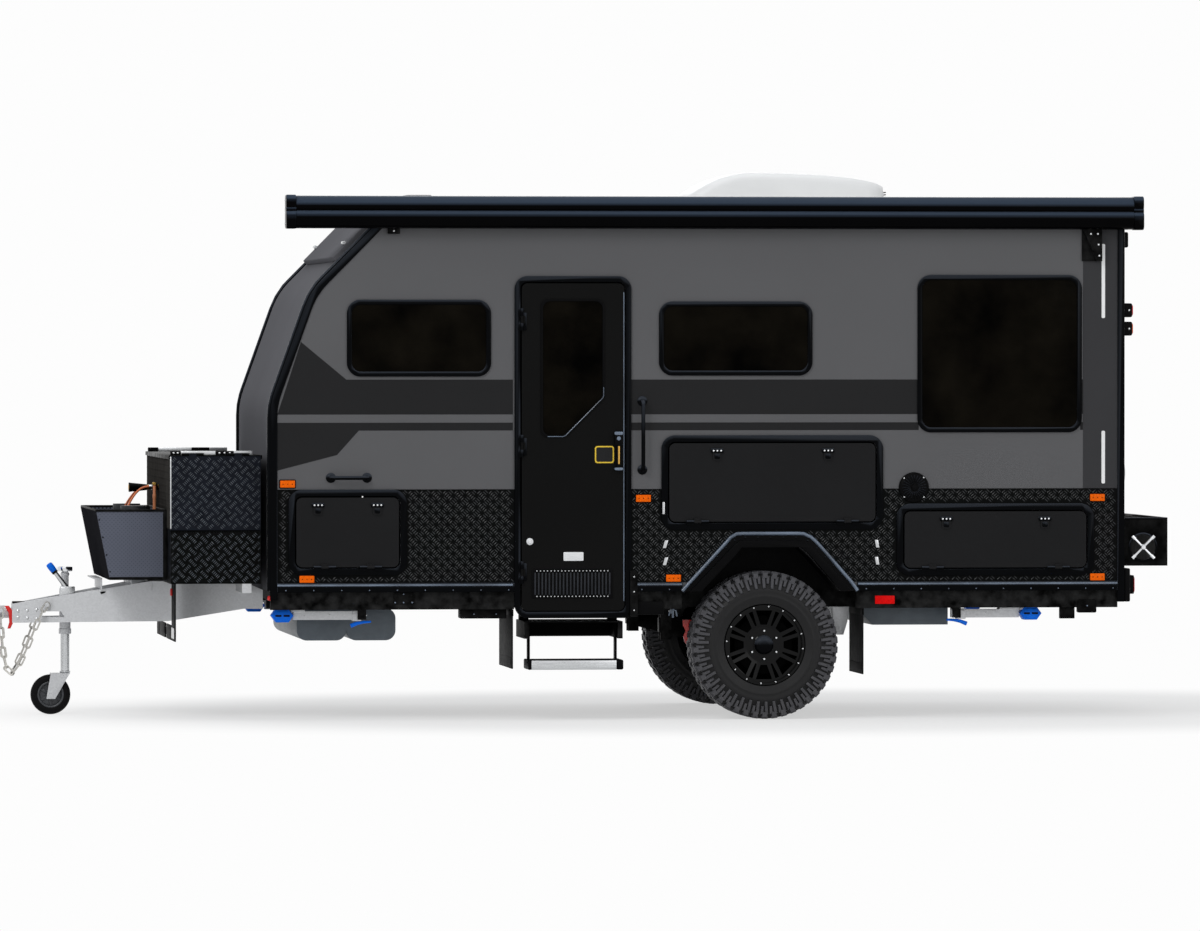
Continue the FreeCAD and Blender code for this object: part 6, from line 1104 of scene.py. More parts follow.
class TRAILER_OT_frames(Maker, bpy.types.Operator):
    """Rounded frames of the windows, door and hatches, rounded trims, and the beads along the nose"""
    bl_idname = "trailer.frames"
    bl_label = "Frames"

    def execute(self, context):
        edge = context.scene.trailer_trim.edge_round
        for node, name, looks, width, slot in (
                ("window_frames", "rounded_window_frames", "black_trim", edge * 1.2, "gloss_black_moulding"),
                ("door_and_hatch_frames", "rounded_hatch_frames", "black_trim", edge, "gloss_black_moulding"),
                ("body_mouldings", "rounded_mouldings", "black_trim", edge * 1.3, "gloss_black_moulding"),
                ("arch_flares", "rounded_arch_flares", "black_abs", edge * 1.2, "black_moulding")):
            softened(node, name, looks, width)
        bead = shape_of(tube, [(x, -1096, z) for x, z in NOSE_EDGE], 12, 12)
        with_twin(bead)
        done(bead, "nose_beads", "black_trim", slot="gloss_black_moulding", sharp=60)
        return {"FINISHED"}


class TRAILER_OT_gas_hoses(Maker, bpy.types.Operator):
    """Two gas hoses from the fitting on the box to the valves of the bottles, with their ferrules"""
    bl_idname = "trailer.gas_hoses"
    bl_label = "Gas hoses"

    def execute(self, context):
        # Extruded gas hose, orange rubber: even, soft sheen. Its ferrules are crimped steel.
        rubber = finish("orange_hose", 0xE68258, 0.5, specular=0.3, tone=(20, 0.08), grain=(1.5, 0.15))
        finish("ferrule_steel", 0xB8BABC, 0.3, metal=1.0, tone=(15, 0.1), grain=(0.5, 0.06))
        for side, label in SIDES:
            curve = bpy.data.curves.new(label + "_hose_line", "CURVE")
            curve.dimensions = "3D"
            curve.bevel_depth = 0.006
            curve.bevel_resolution = 4
            curve.resolution_u = 12
            curve.use_fill_caps = True
            line = curve.splines.new("NURBS")
            line.points.add(len(HOSE_ROUTE) - 1)
            for point, (x, y, z) in zip(line.points, HOSE_ROUTE):
                point.co = (x, -side * y, z, 1.0)
            line.order_u = 3
            line.use_endpoint_u = True
            hose = bpy.data.objects.new(label + "_hose", curve)
            context.scene.collection.objects.link(hose)
            curve.materials.append(rubber)
            ferrules = shape_of(turned, [(-2283, 7.4), (-2281, 8.6), (-2266, 8.6), (-2264.5, 10)],
                                (0, -45, 1246), "x", 12)
            turned(ferrules, [(-238, 10), (-236, 8.6), (-221, 8.6), (-219, 7.4)], (-2382, 0, 1070), "y", 12)
            if side > 0:
                flipped(ferrules)
            crimped = done(ferrules, label + "_hose_ferrules", "ferrule_steel")
            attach(hose, ROOT)
            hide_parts("gas_hose_" + label)
        return {"FINISHED"}


class TRAILER_OT_door(Maker, bpy.types.Operator):
    """Window line, edge strip, handle, sign, plate, knob, vent and hinge leaves of the entry door"""
    bl_idname = "trailer.door"
    bl_label = "Door fittings"

    def execute(self, context):
        face = -1112.0
        body = "entry_door"
        softened("door_fittings", "rounded_door_fittings", "black_abs", 0.0012, body)
        # The window line and the edge strip are coloured as painted highlights along the window and the
        # door's edge.
        line = shape_of(tube, [(-210, face - 6, 1525), (-126, face - 6, 1525), (-114, face - 6, 1530),
                (88, face - 6, 1732), (93, face - 6, 1745), (93, face - 6, 1790)], 2.4, 8)
        done(line, "door_window_line", "painted_highlight_edge", body)
        edge = shape_of(block, (200.5, face - 1.5, 640), (205, face + 8, 2300), 1)
        done(edge, "door_edge_strip", "painted_highlight_edge", body)
        border = shape_of(prism, rounded((46, 149), (1382, 1474), 13, 5), face - 1.2, 2)
        done(border, "door_sign_border", "yellow_film", body, "door_skin")
        field = shape_of(prism, rounded((53, 142), (1389, 1467), 9, 5), face - 1.8, 1)
        done(field, "door_sign_field", "stripe_film", body, "door_skin")
        plate = shape_of(prism, rounded((-124, -16), (857, 904), 5, 4), face - 2.5, 3, round_by=0.6)
        turned(plate, [(-1129, 0), (-1128.5, 7), (-1126, 11), (-1121, 12), (-1119, 17.5), (-1114, 19),
                       (-1111.5, 19)], (-306, 0, 961), "y", 32)
        done(plate, "door_plate_and_knob", "white_abs", body)
        # The handle's ends take the pale painted-highlight tone.
        ends = bmesh.new()
        for z0, z1 in ((1534, 1551), (1344, 1358)):
            prism(ends, rounded((150, 195), (z0, z1), 6, 4), face - 29.5, 26, round_by=1.5)
        turned(ends, [(-1144, 0), (-1144, 9), (-1142, 11), (-1139, 11)], (172.5, 0, 1515), "y", 24)
        done(ends, "door_handle_ends", "painted_highlight_edge", body)
        inlay = shape_of(prism, rounded((168, 177), (1377, 1474), 3, 4), face - 30.5, 6, round_by=1)
        done(inlay, "door_handle_inlay", "brass", body, "amber_lens")
        # One slat more than there are gaps between them, and a rivet above and below each gap.
        gaps = 21
        x0, x1, z0, z1 = LOUVRE
        first = x0 + 16
        pitch = (x1 - x0 - 32) / gaps
        spots = [(first + pitch * (i + 0.5), face - 6, z) for i in range(gaps) for z in (z0 + 9, z1 - 9)]
        studs(stud(3.0, 1.2), "vent_rivets", "stainless", spots, body=body)
        # The slats' lighter grey is a painted highlight on each blade.
        slat = shape_of(block, (first - 4.2, face - 9, z0 + 18), (first + 4.2, face - 4, z1 - 18), 1.8, 2)
        row(slat, "vent_slats", "slat_painted_highlight", gaps + 1, (pitch, 0, 0), body=body)
        hinges = bmesh.new()
        for z in (796, 1469, 2142):
            prism(hinges, rounded((-343, -322), (z - 48, z + 48), 6, 4), face - 3.5, 4, round_by=1)
        done(hinges, "door_hinge_leaves", "black_trim", body, "gloss_black_moulding")
        return {"FINISHED"}


class TRAILER_OT_hatches(Maker, bpy.types.Operator):
    """Latch paddles and plates of the hatches with their studs, and the silver clips near the wheel arch"""
    bl_idname = "trailer.hatches"
    bl_label = "Hatch latches"

    def execute(self, context):
        for body, middles, z, side in LATCHES:
            paddle = bmesh.new()
            for x in middles:
                prism(paddle, rounded((x - 15, x + 15), (z - 23, z + 5), 7, 4), -1122.5, 4, round_by=1.2)
                prism(paddle, rounded((x - 34, x + 34), (z + 10, z + 34), 6, 4), -1121, 10, round_by=1.2)
            if side > 0:
                flipped(paddle)
            done(paddle, body + "_paddles", "black_trim", body)
            spots = [(x + a, side * 1121, z + 22) for x in middles for a in (-20, 0, 20)]
            studs(stud(4.5, 1.4), body + "_screws", "chrome", spots, body=body)
        clip = shape_of(prism, rounded((412, 424), (1107, 1172), 3, 3), -1115, 4, round_by=0.8)
        for z in (853, 945):
            for x, lean in ((429, 5), (1580, -5)):
                prism(clip, ((x - 10 - lean, z - 21), (x + 8 - lean, z - 21), (x + 10 + lean, z + 21),
                             (x - 8 + lean, z + 21)), -1110, 8, round_by=1.5)
        done(clip, "silver_clips", "stainless")
        return {"FINISHED"}


class TRAILER_OT_wall_fittings(Maker, bpy.types.Operator):
    """Grab handles, flue cover, marker lamps, reflectors, sill bead and rivets, and the sill at the door"""
    bl_idname = "trailer.wall_fittings"
    bl_label = "Wall fittings"

    def execute(self, context):
        bars = bmesh.new()
        out = -1148
        tube(bars, [(-1377, -SKIRT, 1305), (-1377, out + 14, 1305), (-1373, out + 4, 1305),
                    (-1363, out, 1305), (-1197, out, 1305), (-1187, out + 4, 1305), (-1183, out + 14, 1305),
                    (-1183, -SKIRT, 1305)], 11, 14)
        tube(bars, [(304, -SKIRT, 1346), (304, out + 14, 1346), (304, out + 4, 1350), (304, out, 1360),
                    (304, out, 1701), (304, out + 4, 1711), (304, out + 14, 1715), (304, -SKIRT, 1715)], 11,
             14)
        for x, z in ((-1377, 1305), (-1183, 1305), (304, 1346), (304, 1715)):
            turned(bars, [(-1112, 12), (-1110, 17), (-1106, 25), (-1103, 27), (-1099, 27)], (x, 0, z), "y",
                   28)
        done(bars, "grab_handles", "black_trim", instead_of=("wall_fittings",), sharp=50)
        cover = bmesh.new()
        x, z = FLUE
        turned(cover, [(-1134, 0), (-1133.5, 9), (-1131, 15), (-1125, 17), (-1124, 30), (-1122, 58),
                       (-1118, 70), (-1112, 79), (-1107, 82), (-1102, 82)], (x, 0, z), "y", 48)
        done(cover, "flue_cover", "black_abs", instead_of=("wall_fittings",))
        fin = shape_of(block, (x - 1.6, -1127, z + 24), (x + 1.6, -1117, z + 66), 1)
        wheel_round(fin, "flue_fins", "black_trim", 24, (x, 0, z))
        studs(stud(4, 1.5), "flue_screws", "stainless",
              [(x + 74 * math.cos(a), -1115.5, z + 74 * math.sin(a)) for a in (0.8, 2.4, 3.9, 5.5)])

        softened("marker_lamps", "marker_lenses", "amber_lens", 0.004, segments=3)
        bases = bmesh.new()
        for x, z in MARKERS:
            back = -WALL if z == MARKER_ON_WALL else -SKIRT
            prism(bases, rounded((x - 45, x + 45), (z - 24, z + 24), 7, 4), back - 5, 6, round_by=1.5)
        with_twin(bases)
        done(bases, "marker_bases", "black_abs")
        spots = [(x + a, -16 - (WALL if z == MARKER_ON_WALL else SKIRT), z) for x,
                 z in MARKERS for a in (-25, 0, 25)]
        studs(stud(2.6, 1.6), "marker_screws", "black_abs", mirrored(spots))

        red = shape_of(block, (1572, -1092, 619), (1679, -1084, 664), 2.5)
        with_twin(red)
        done(red, "side_reflectors", "red_lens")

        # The sill beads are coloured as a painted highlight along the sill's top.
        bead = bmesh.new()
        for x0, x1 in ((-1664, -400), (250, 515), (1477, 2893)):
            tube(bead, [(x0, -1114, 729), (x0 + 4, -1115, 729), (x1 - 4, -1115, 729), (x1, -1114, 729)],
                 5.5, 12)
        with_twin(bead)
        done(bead, "sill_beads", "painted_highlight_edge", slot="gloss_black_moulding")
        # Rivets 150 mm apart on the three runs of the sill, pale as painted glints.
        spots = [(x, -1115.4, 702) for start, end in ((-1620, -410), (300, 480), (1520, 2890))
                 for x in range(start, end, 150)]
        studs(stud(3.2, 1.2), "sill_rivets", "painted_highlight_edge", mirrored(spots))
        # The backing fills the sill's gap, so that no light shows under the door: a black block as painted
        # shade.
        backing = shape_of(block, (-340, -1098, 548), (236, -1088, 636), 2)
        block(backing, (236, -1098, 566), (420, -1088, 636), 2)
        done(backing, "door_sill_backing", "black_abs")
        post = shape_of(prism, ((238, 556), (276, 556), (276, 790), (266, 803), (238, 803)), -1122, 20,
                        round_by=2)
        done(post, "door_foot_post", "black_coat")
        studs(stud(4, 1.6), "door_foot_bolts", "stainless", [(257, -1122, z) for z in (590, 690, 770)])
        return {"FINISHED"}


class TRAILER_OT_arches(Maker, bpy.types.Operator):
    """Rivets and the bead along the upper edge of the wheel-arch flares"""
    bl_idname = "trailer.arches"
    bl_label = "Arches"

    def execute(self, context):
        rivet_pitch = 62
        spots = []
        for (x0, z0), (x1, z1) in zip(ARCH, ARCH[1:]):
            count = max(int(math.dist((x0, z0), (x1, z1)) // rivet_pitch), 1)
            for i in range(count):
                share = (i + 0.5) / count
                spots.append((x0 + (x1 - x0) * share, -1116.5, z0 + (z1 - z0) * share))
        studs(stud(4.5, 1.8), "arch_rivets", "black_trim", mirrored(spots))
        # The bead is coloured as a painted highlight along the flare's gloss lip.
        bead = shape_of(tube, [(x, -1112, z) for x, z in ARCH_EDGE], 10, 12)
        with_twin(bead)
        done(bead, "arch_beads", "painted_highlight_edge", slot="gloss_black_moulding", sharp=60)
        return {"FINISHED"}


class TRAILER_OT_box(Maker, bpy.types.Operator):
    """Edge lines, top strips, hinge covers, lid lip, front sheet, ribs and gas riser of the front box"""
    bl_idname = "trailer.box"
    bl_label = "Front box"

    def execute(self, context):
        for side, label in SIDES:
            body = "box_door_" + label
            lines = shape_of(block, (-2229, -961.5, 1031), (-2223, -957, 1418), 1.2)
            if side > 0:
                flipped(lines)
            done(lines, body + "_lines", "brushed_aluminium", body)
        # The strip and the covers stand behind the hinge line, clear of the door when it is up.
        strips = shape_of(block, (-2180, -924, 1425), (-1784, -896, 1448), 2)
        with_twin(strips)
        done(strips, "box_top_strips", "brushed_aluminium")
        covers = bmesh.new()
        for x0, x1 in ((-2226, -2168), (-1984, -1884)):
            block(covers, (x0, -927, 1424), (x1, -892, 1448), 4, 3)
        with_twin(covers)
        done(covers, "box_hinge_covers", "black_abs")
        studs(stud(5, 2), "box_hinge_bolts", "stainless",
              mirrored([(x, -927, 1437) for x in (-2208, -2186, -1962, -1934, -1906)]))
        lip = shape_of(block, (-2237, -958, 1404), (-2224, 958, 1426), 3)
        block(lip, (-1744, -958, 1404), (-1734, 958, 1426), 3)
        block(lip, (-2228, -950, 1418), (-1740, 950, 1426), 3)
        done(lip, "box_lid_lip", "tread_coat")
        # The ribs and the front sheet of the box are dark as painted shade.
        rib = shape_of(block, (-2230, -945, 1140), (-2226, 945, 1152), 1.8)
        row(rib, "box_front_ribs", "box_front_painted_shade", 7, (0, 0, 38))
        sheet = shape_of(block, (-2228.5, -958, 1030), (-2226.5, 958, 1402), 0.5)
        done(sheet, "box_front_sheet", "box_front_painted_shade")
        riser = shape_of(turned, [(765, 8.6), (775, 9.4), (1180, 9.4), (1186, 10.5), (1200, 10.5),
                (1206, 8.7), (1250, 8.7)], (-2254, -64, 0), "z", 14)
        done(riser, "gas_riser_sleeve", "riser_sleeve", slot="orange_rubber")
        brass = bmesh.new()
        for x0, x1, radius in ((-2292, -2280, 15), (-2240, -2228, 16), (-2393, -2388, 17)):
            turned(brass, [(x0, radius - 3), (x0 + 2, radius), (x1 - 2, radius), (x1, radius - 3)],
                   (0, 0, 1240), "x", 6 if radius < 17 else 24)
        turned(brass, [(1252, 9), (1254, 12), (1266, 12), (1268, 9), (1268, 0)], (-2254, -64, 0), "z", 6)
        done(brass, "gas_nuts", "brass", slot="brushed_aluminium")
        return {"FINISHED"}


class TRAILER_OT_basket(Maker, bpy.types.Operator):
    """Rims, front sheet, bolts and supports of the front basket"""
    bl_idname = "trailer.basket"
    bl_label = "Front basket"

    def execute(self, context):
        rims = bmesh.new()
        for y in (-680, 680):
            block(rims, (-2612, y - 6, 1118), (-2228, y + 6, 1131), 3)
            block(rims, (-2538, y - 3, 750), (-2228, y + 3, 766), 2)
            block(rims, (-2249, y - 5, 752), (-2227, y + 5, 1128), 3)
        block(rims, (-2614, -684, 1118), (-2602, 684, 1131), 3)
        block(rims, (-2239, -676, 1120), (-2228, 676, 1131), 3)
        done(rims, "basket_rims", "black_coat")
        # The basket's front sheet is dark as painted shade.
        sheet = shape_of(prism, ((-2615, 1122), (-2541, 751), (-2536, 751), (-2610, 1122)), -682, 1364,
                         round_by=1)
        done(sheet, "basket_front_sheet", "basket_sheet_painted_shade", slot="perforated_sheet")
        spots = [(-2600 + 73 * (1 - share), y, 760 + 350 * share) for share in (0.1, 0.36, 0.63, 0.9)
                 for y in (-681, 681)]
        studs(stud(4.5, 1.6), "basket_bolts", "black_trim", spots, slot="black_coat")
        supports = bmesh.new()
        for x, low in ((-2600, 690), (-2440, 716)):
            block(supports, (x + 40, -300, low), (x + 46, 300, 752), 1)
            block(supports, (x, -300, 745), (x + 46, 300, 751), 1)
        done(supports, "basket_supports", "galvanised_steel")
        return {"FINISHED"}


class TRAILER_OT_drawbar(Maker, bpy.types.Operator):
    """Coupling with its cover, trigger and bolts, the handbrake's bar and grip, and a gas pipe"""
    bl_idname = "trailer.drawbar"
    bl_label = "Drawbar fittings"

    def execute(self, context):
        softened("coupling", "rounded_coupling", "galvanised_steel", 0.003, segments=3)
        cover = shape_of(prism, rounded((-3028, -2895), (604, 618), 5, 3), -50, 100, round_by=2)
        done(cover, "coupling_cover", "black_abs", slot="black_coat")
        trigger = shape_of(prism, ((-3072, 595), (-3048, 595), (-3022, 560), (-3026, 500), (-3040, 470),
                (-3056, 470), (-3046, 505), (-3050, 556)), -45, 16, round_by=4, steps=3)
        done(trigger, "coupling_trigger", "red_plastic", slot="red_coat")
        # The drawbar is 55 mm wide on each side at its tip and widens by its slope.
        tip, slope = -3031, 0.3794
        spots = [(x, -(55 + (x - tip) * slope) - 1, z)
                 for x, rise in ((-3000, 17), (-2950, 21), (-2900, 25)) for z in (549 + rise, 549 - rise)]
        studs(stud(9, 5, sides=6), "coupling_bolts", "stainless", mirrored(spots))
        grip = bmesh.new()
        start, end = Vector((-2738, -72, 698)), Vector((-2834, -72, 825))
        along = end - start
        tube(grip, [start + along * s for s in (0.66, 0.68, 0.80, 0.90, 0.97, 1.0)],
             [12, 17.6, 18.6, 18.4, 17.5, 11], 16)
        done(grip, "handbrake_grip", "blue_plastic", slot="black_coat", sharp=60)
        lever = shape_of(tube, [start - along * 0.15, start + along * 0.1, start + along * 0.66],
                         [15, 13.5, 11.6], 14)
        block(lever, (-2770, -66, 606), (-2690, -58, 700), 4)
        block(lever, (-2770, -88, 606), (-2690, -80, 700), 4)
        done(lever, "handbrake_bar", "stainless", slot="black_coat", sharp=50)
        pipe = shape_of(tube, [(-2560, -238, 668), (-2540, -238, 672), (-2260, -260, 742),
                (-2236, -262, 748), (-2226, -262, 760)], 6, 10)
        done(pipe, "gas_pipe", "black_rubber", slot="black_coat", sharp=60)
        return {"FINISHED"}


class TRAILER_OT_jockey(Maker, bpy.types.Operator):
    """Hand wheel, tubes, clamp handle, roller, fork and bolts of the jockey stand"""
    bl_idname = "trailer.jockey"
    bl_label = "Jockey stand"

    def execute(self, context):
        x = JOCKEY
        top = shape_of(ring_of, [(782, 33), (782, 40), (788, 41.5), (800, 41.5), (806, 40), (806, 33)],
                       (x, 0, 0), "z", 40)
        turned(top, [(783, 0), (783, 12), (805, 12), (806, 9), (806, 0)], (x, 0, 0), "z", 20)
        for i in range(4):
            angle = math.pi * (i / 2 + 0.25)
            across, along = math.cos(angle), math.sin(angle)
            tube(top, [(x + 8 * across, 8 * along, 795), (x + 36 * across, 36 * along, 794)], 5, 8)
        done(top, "jockey_hand_wheel", "chrome", instead_of=("jockey_sleeve",))
        sleeve = shape_of(turned, [(692, 20), (700, 20.5), (756, 20.5), (762, 24), (770, 24), (783, 14)],
                          (x, 0, 0), "z", 28)
        ring_of(sleeve, [(440, 25.5), (440, 33), (446, 34), (466, 34), (470, 30.5), (598, 30.5), (600, 36),
                         (604, 36), (607, 57), (618, 58), (621, 40), (640, 36), (644, 31), (684, 31),
                         (692, 27), (692, 25.5)], (x, 0, 0), "z", 36)
        done(sleeve, "jockey_tube", "galvanised_steel", instead_of=("jockey_sleeve",))
        studs(stud(6, 5, axis="z", sides=6), "jockey_flange_bolts", "stainless",
              [(x + 46 * math.cos(a), 46 * math.sin(a), 622) for a in (0.8, 2.35, 3.93, 5.5)])
        clamp = shape_of(tube, [(x, -30, 655), (x, -52, 655), (x, -60, 650), (x - 4, -64, 636),
                (x - 8, -64, 610)], 5, 10)
        done(clamp, "jockey_clamp_handle", "stainless", sharp=60)
        cx, cz = ROLLER
        tyre = shape_of(ring_of, [(-29, 72), (-31, 80), (-30, 94), (-25, 102), (-17, 107), (-8, 109),
                (8, 109), (17, 107), (25, 102), (30, 94), (31, 80), (29, 72)], (cx, 0, cz), "y", 64)
        done(tyre, "jockey_tyre", "black_rubber", "jockey_roller", "black_rubber", ("jockey_wheel",))
        hub = shape_of(ring_of, [(-27, 62), (-30, 68), (-28, 73), (28, 73), (30, 68), (27, 62), (12, 58),
                (-12, 58)], (cx, 0, cz), "y", 48)
        ring_of(hub, [(-30, 8.2), (-30, 20), (-24, 24), (24, 24), (30, 20), (30, 8.2)], (cx, 0, cz), "y", 32)
        turned(hub, [(-9, 22), (-8, 60), (8, 60), (9, 22)], (cx, 0, cz), "y", 48)
        done(hub, "jockey_hub", "grey_abs", "jockey_roller", "black_rubber", ("jockey_wheel",))
        spoke = shape_of(prism, ((cx - 9, cz + 22), (cx + 9, cz + 22), (cx + 6, cz + 64),
                (cx - 6, cz + 64)), -16, 32, round_by=2.5)
        wheel_round(spoke, "jockey_spokes", "grey_abs", 6, (cx, 0, cz), body="jockey_roller",
                    slot="black_rubber")
        softened("jockey_fork", "rounded_jockey_fork", "galvanised_steel", 0.0018, "jockey_caster")
        studs(stud(11, 47.5, sides=6), "jockey_axle_bolt", "stainless", [(cx, 0, cz)], body="jockey_caster")
        studs(stud(6, 46.5, sides=6), "jockey_fork_bolt", "stainless", [(-2762, 0, 196)],
              body="jockey_caster")
        stem = shape_of(turned, [(226, 24), (226, 27), (229, 29), (236, 29), (238.5, 24.3), (439, 24.3)],
                        (x, 0, 0), "z", 28)
        done(stem, "jockey_inner_tube", "stainless", "jockey_leg", "galvanised_steel", ("jockey_stem",))
        return {"FINISHED"}


class TRAILER_OT_legs(Maker, bpy.types.Operator):
    """Channels, screws, six-sided pads, handles and bolts of the four stabilisers"""
    bl_idname = "trailer.legs"
    bl_label = "Stabilisers"

    def execute(self, context):
        for name, pivot, end, foot in LEGS:
            for side, label in SIDES:
                body = "stabiliser_%s_%s" % (name, label)
                low, high = sorted((pivot, end))
                one, two = sorted((end, foot))
                way = 1 if foot > end else -1
                parts = {kind: bmesh.new() for kind in ("channel", "screw", "pad", "slit", "handle")}
                prism(parts["channel"], ((-1000, 587), (-944, 587), (-944, 541), (-950, 541), (-950, 581),
                        (-994, 581), (-994, 541), (-1000, 541)), low, high - low, "yz", round_by=1.5)
                x0, x1 = sorted((pivot + way * 26, pivot + way * 74))
                block(parts["channel"], (x0, -1004, 534), (x1, -940, 590), 2.5)
                x0, x1 = sorted((end + way * 14, end - way * 62))
                block(parts["channel"], (x0, -1002, 580), (x1, -942, 600), 2.5)
                tube(parts["screw"], [(low + 8, -972, 562), (high - 4, -972, 562)], 9, 12)
                outline = [(one, 564), (one + 26, 599.5), (two - 26, 599.5), (two, 564), (two - 26, 528.5),
                           (one + 26, 528.5)]
                prism(parts["pad"], outline, -1022, 100, round_by=5, steps=3)
                middle = (one + two) / 2
                boss = [((x - middle) * 0.8 + middle, (z - 564) * 0.72 + 564) for x, z in outline]
                prism(parts["pad"], boss, -1027, 110, round_by=3)
                for x in (middle - 22, middle + 22):
                    prism(parts["slit"], rounded((x - 17, x + 17), (559, 569), 4, 3), -1028, 2)
                points = [(pivot + way * off, -985, z) for off,
                          z in ((-28, 530), (10, 528), (45, 522), (82, 508))]
                tube(parts["handle"], points, [6, 8, 10, 12], 12)
                for shape in parts.values():
                    if side > 0:
                        flipped(shape)
                for kind, looks in (("channel", "galvanised_steel"), ("screw", "stainless"),
                                    ("pad", "blue_plastic"), ("slit", "black_rubber"),
                                    ("handle", "blue_plastic")):
                    done(parts[kind], body + "_" + kind, looks, body, "galvanised_steel", (body,), sharp=45)
                spots = [(low + 60, side * 1000.5, 564), ((low + high) / 2, side * 1000.5, 566),
                         (pivot, side * 1001, 564)]
                studs(stud(4.5, 2, sides=6), body + "_bolts", "stainless", spots, body=body)
        return {"FINISHED"}


class TRAILER_OT_step(Maker, bpy.types.Operator):
    """Rounded slide-out step with its tread, ribs, nosing and end caps"""
    bl_idname = "trailer.step"
    bl_label = "Entry step"

    def execute(self, context):
        body = "entry_step"
        softened("entry_step", "rounded_step", "black_coat", 0.004, body, segments=3)
        tread = shape_of(block, (-303, -1171, 273.5), (156, -1090, 323.5), 2)
        done(tread, "step_tread", "brushed_aluminium", body)
        rib = shape_of(block, (-300, -1160, 322.5), (156, -1152, 326), 1.2)
        row(rib, "step_ribs", "black_rubber", 9, (0, 25, 0), body=body)
        caps = shape_of(block, (156, -1172, 273), (194, -938, 327), 9, 3)
        block(caps, (-321, -1172, 273), (-303, -938, 327), 8, 3)
        done(caps, "step_caps", "black_abs", body)
        groove = bmesh.new()
        for z in (288, 300, 311):
            block(groove, (-303, -1171.5, z - 2), (156, -1168, z + 2), 0.8)
        done(groove, "step_nosing", "stainless", body)
        return {"FINISHED"}


class TRAILER_OT_roof(Maker, bpy.types.Operator):
    """Awning, skylight, nose fairing with its lamps, and the air conditioner's shroud"""
    bl_idname = "trailer.roof"
    bl_label = "Roof and awning"

    def execute(self, context):
        # The case and its ends carry a painted reflection of the sky on their upturned curves.
        case = shape_of(prism, AWNING_LINE, -1572, 4542, "yz")
        done(case, "awning_case", "awning_coat", instead_of=("awning",))
        # Each end cap has the two lobes of the case, and a block that fills the groove between them.
        ends = bmesh.new()
        for x in (-1624, 2968):
            for y0, z0, z1 in ((-1217, 2741, 2820), (-1223, 2638, 2737)):
                prism(ends, rounded((y0, -SKIRT), (z0, z1), 26, 6), x, 54, "yz", round_by=6, steps=3)
            block(ends, (x, -1212, 2728), (x + 54, -SKIRT, 2752), 3)
        done(ends, "awning_ends", "awning_coat", instead_of=("awning",))
        arm = shape_of(block, (2700, -1113, 2471), (2806, -1101, 2641), 1.5)
        done(arm, "awning_arm", "black_coat", instead_of=("awning",))
        brackets = shape_of(block, (-1072, -1130, 2612), (-1007, -1100, 2645), 4)
        prism(brackets, ((2705, 2642), (2805, 2642), (2805, 2471), (2778, 2471)), -1146, 46, round_by=3)
        done(brackets, "awning_brackets", "black_coat")
        spots = [(x, -1146.5, z) for x, z in ((2742, 2618), (2780, 2618), (2788, 2500), (2784, 2560))]
        studs(stud(5, 2), "awning_bolts", "stainless", spots + [(-1040, -1130.5, 2628)])
        spots = [(x, y, z) for x in (-1625, 3022.5) for z in (2665, 2790) for y in (-1190, -1130)]
        studs(stud(5, 2, axis="x"), "awning_end_screws", "stainless", spots)

        skylight = shape_of(prism, rounded((-530, 30), (-280, 280), 45, 6), 2788, 20, "xy", round_by=4)
        prism(skylight, rounded((-505, 5), (-255, 255), 45, 6), 2806, 18, "xy", round_by=8, steps=3)
        done(skylight, "skylight_frame", "white_abs", instead_of=("roof_hatches",))
        # The fairing takes the nose's enamel with its painted light.
        softened("roof_hatches", "nose_fairing", "nose_paint_with_painted_light", 0.006, segments=3, keep=lambda co: co.x < -0.7)
        lens = bmesh.new()
        for y in (-905, 905):
            turned(lens, [(-48, 0), (-48, 7), (-44, 10), (44, 10), (48, 7), (48, 0)], (-1291, y, 2566), "y",
                   16)
        done(lens, "fairing_lamps", "clear_lens")
        pane = shape_of(prism, rounded((-480, -20), (-230, 230), 40, 6), 2823, 5, "xy", round_by=2)
        done(pane, "skylight_pane", "smoked_acrylic_painted_reflection", slot="tinted_acrylic")

        loft(COOLER_RIBS, "cooler_shroud", "white_abs", instead_of=("roof_air_conditioner",))
        gasket = shape_of(prism, rounded((652, 1757), (-356, 356), 60, 6), 2789, 14, "xy", round_by=2)
        done(gasket, "cooler_gasket", "grey_abs", slot="white_panel")
        slot = shape_of(block, (1757, -230, 2815), (1761, 230, 2821), 1.5)
        row(slot, "cooler_rear_slots", "black_abs", 4, (0, 0, 13), slot="white_panel")
        return {"FINISHED"}


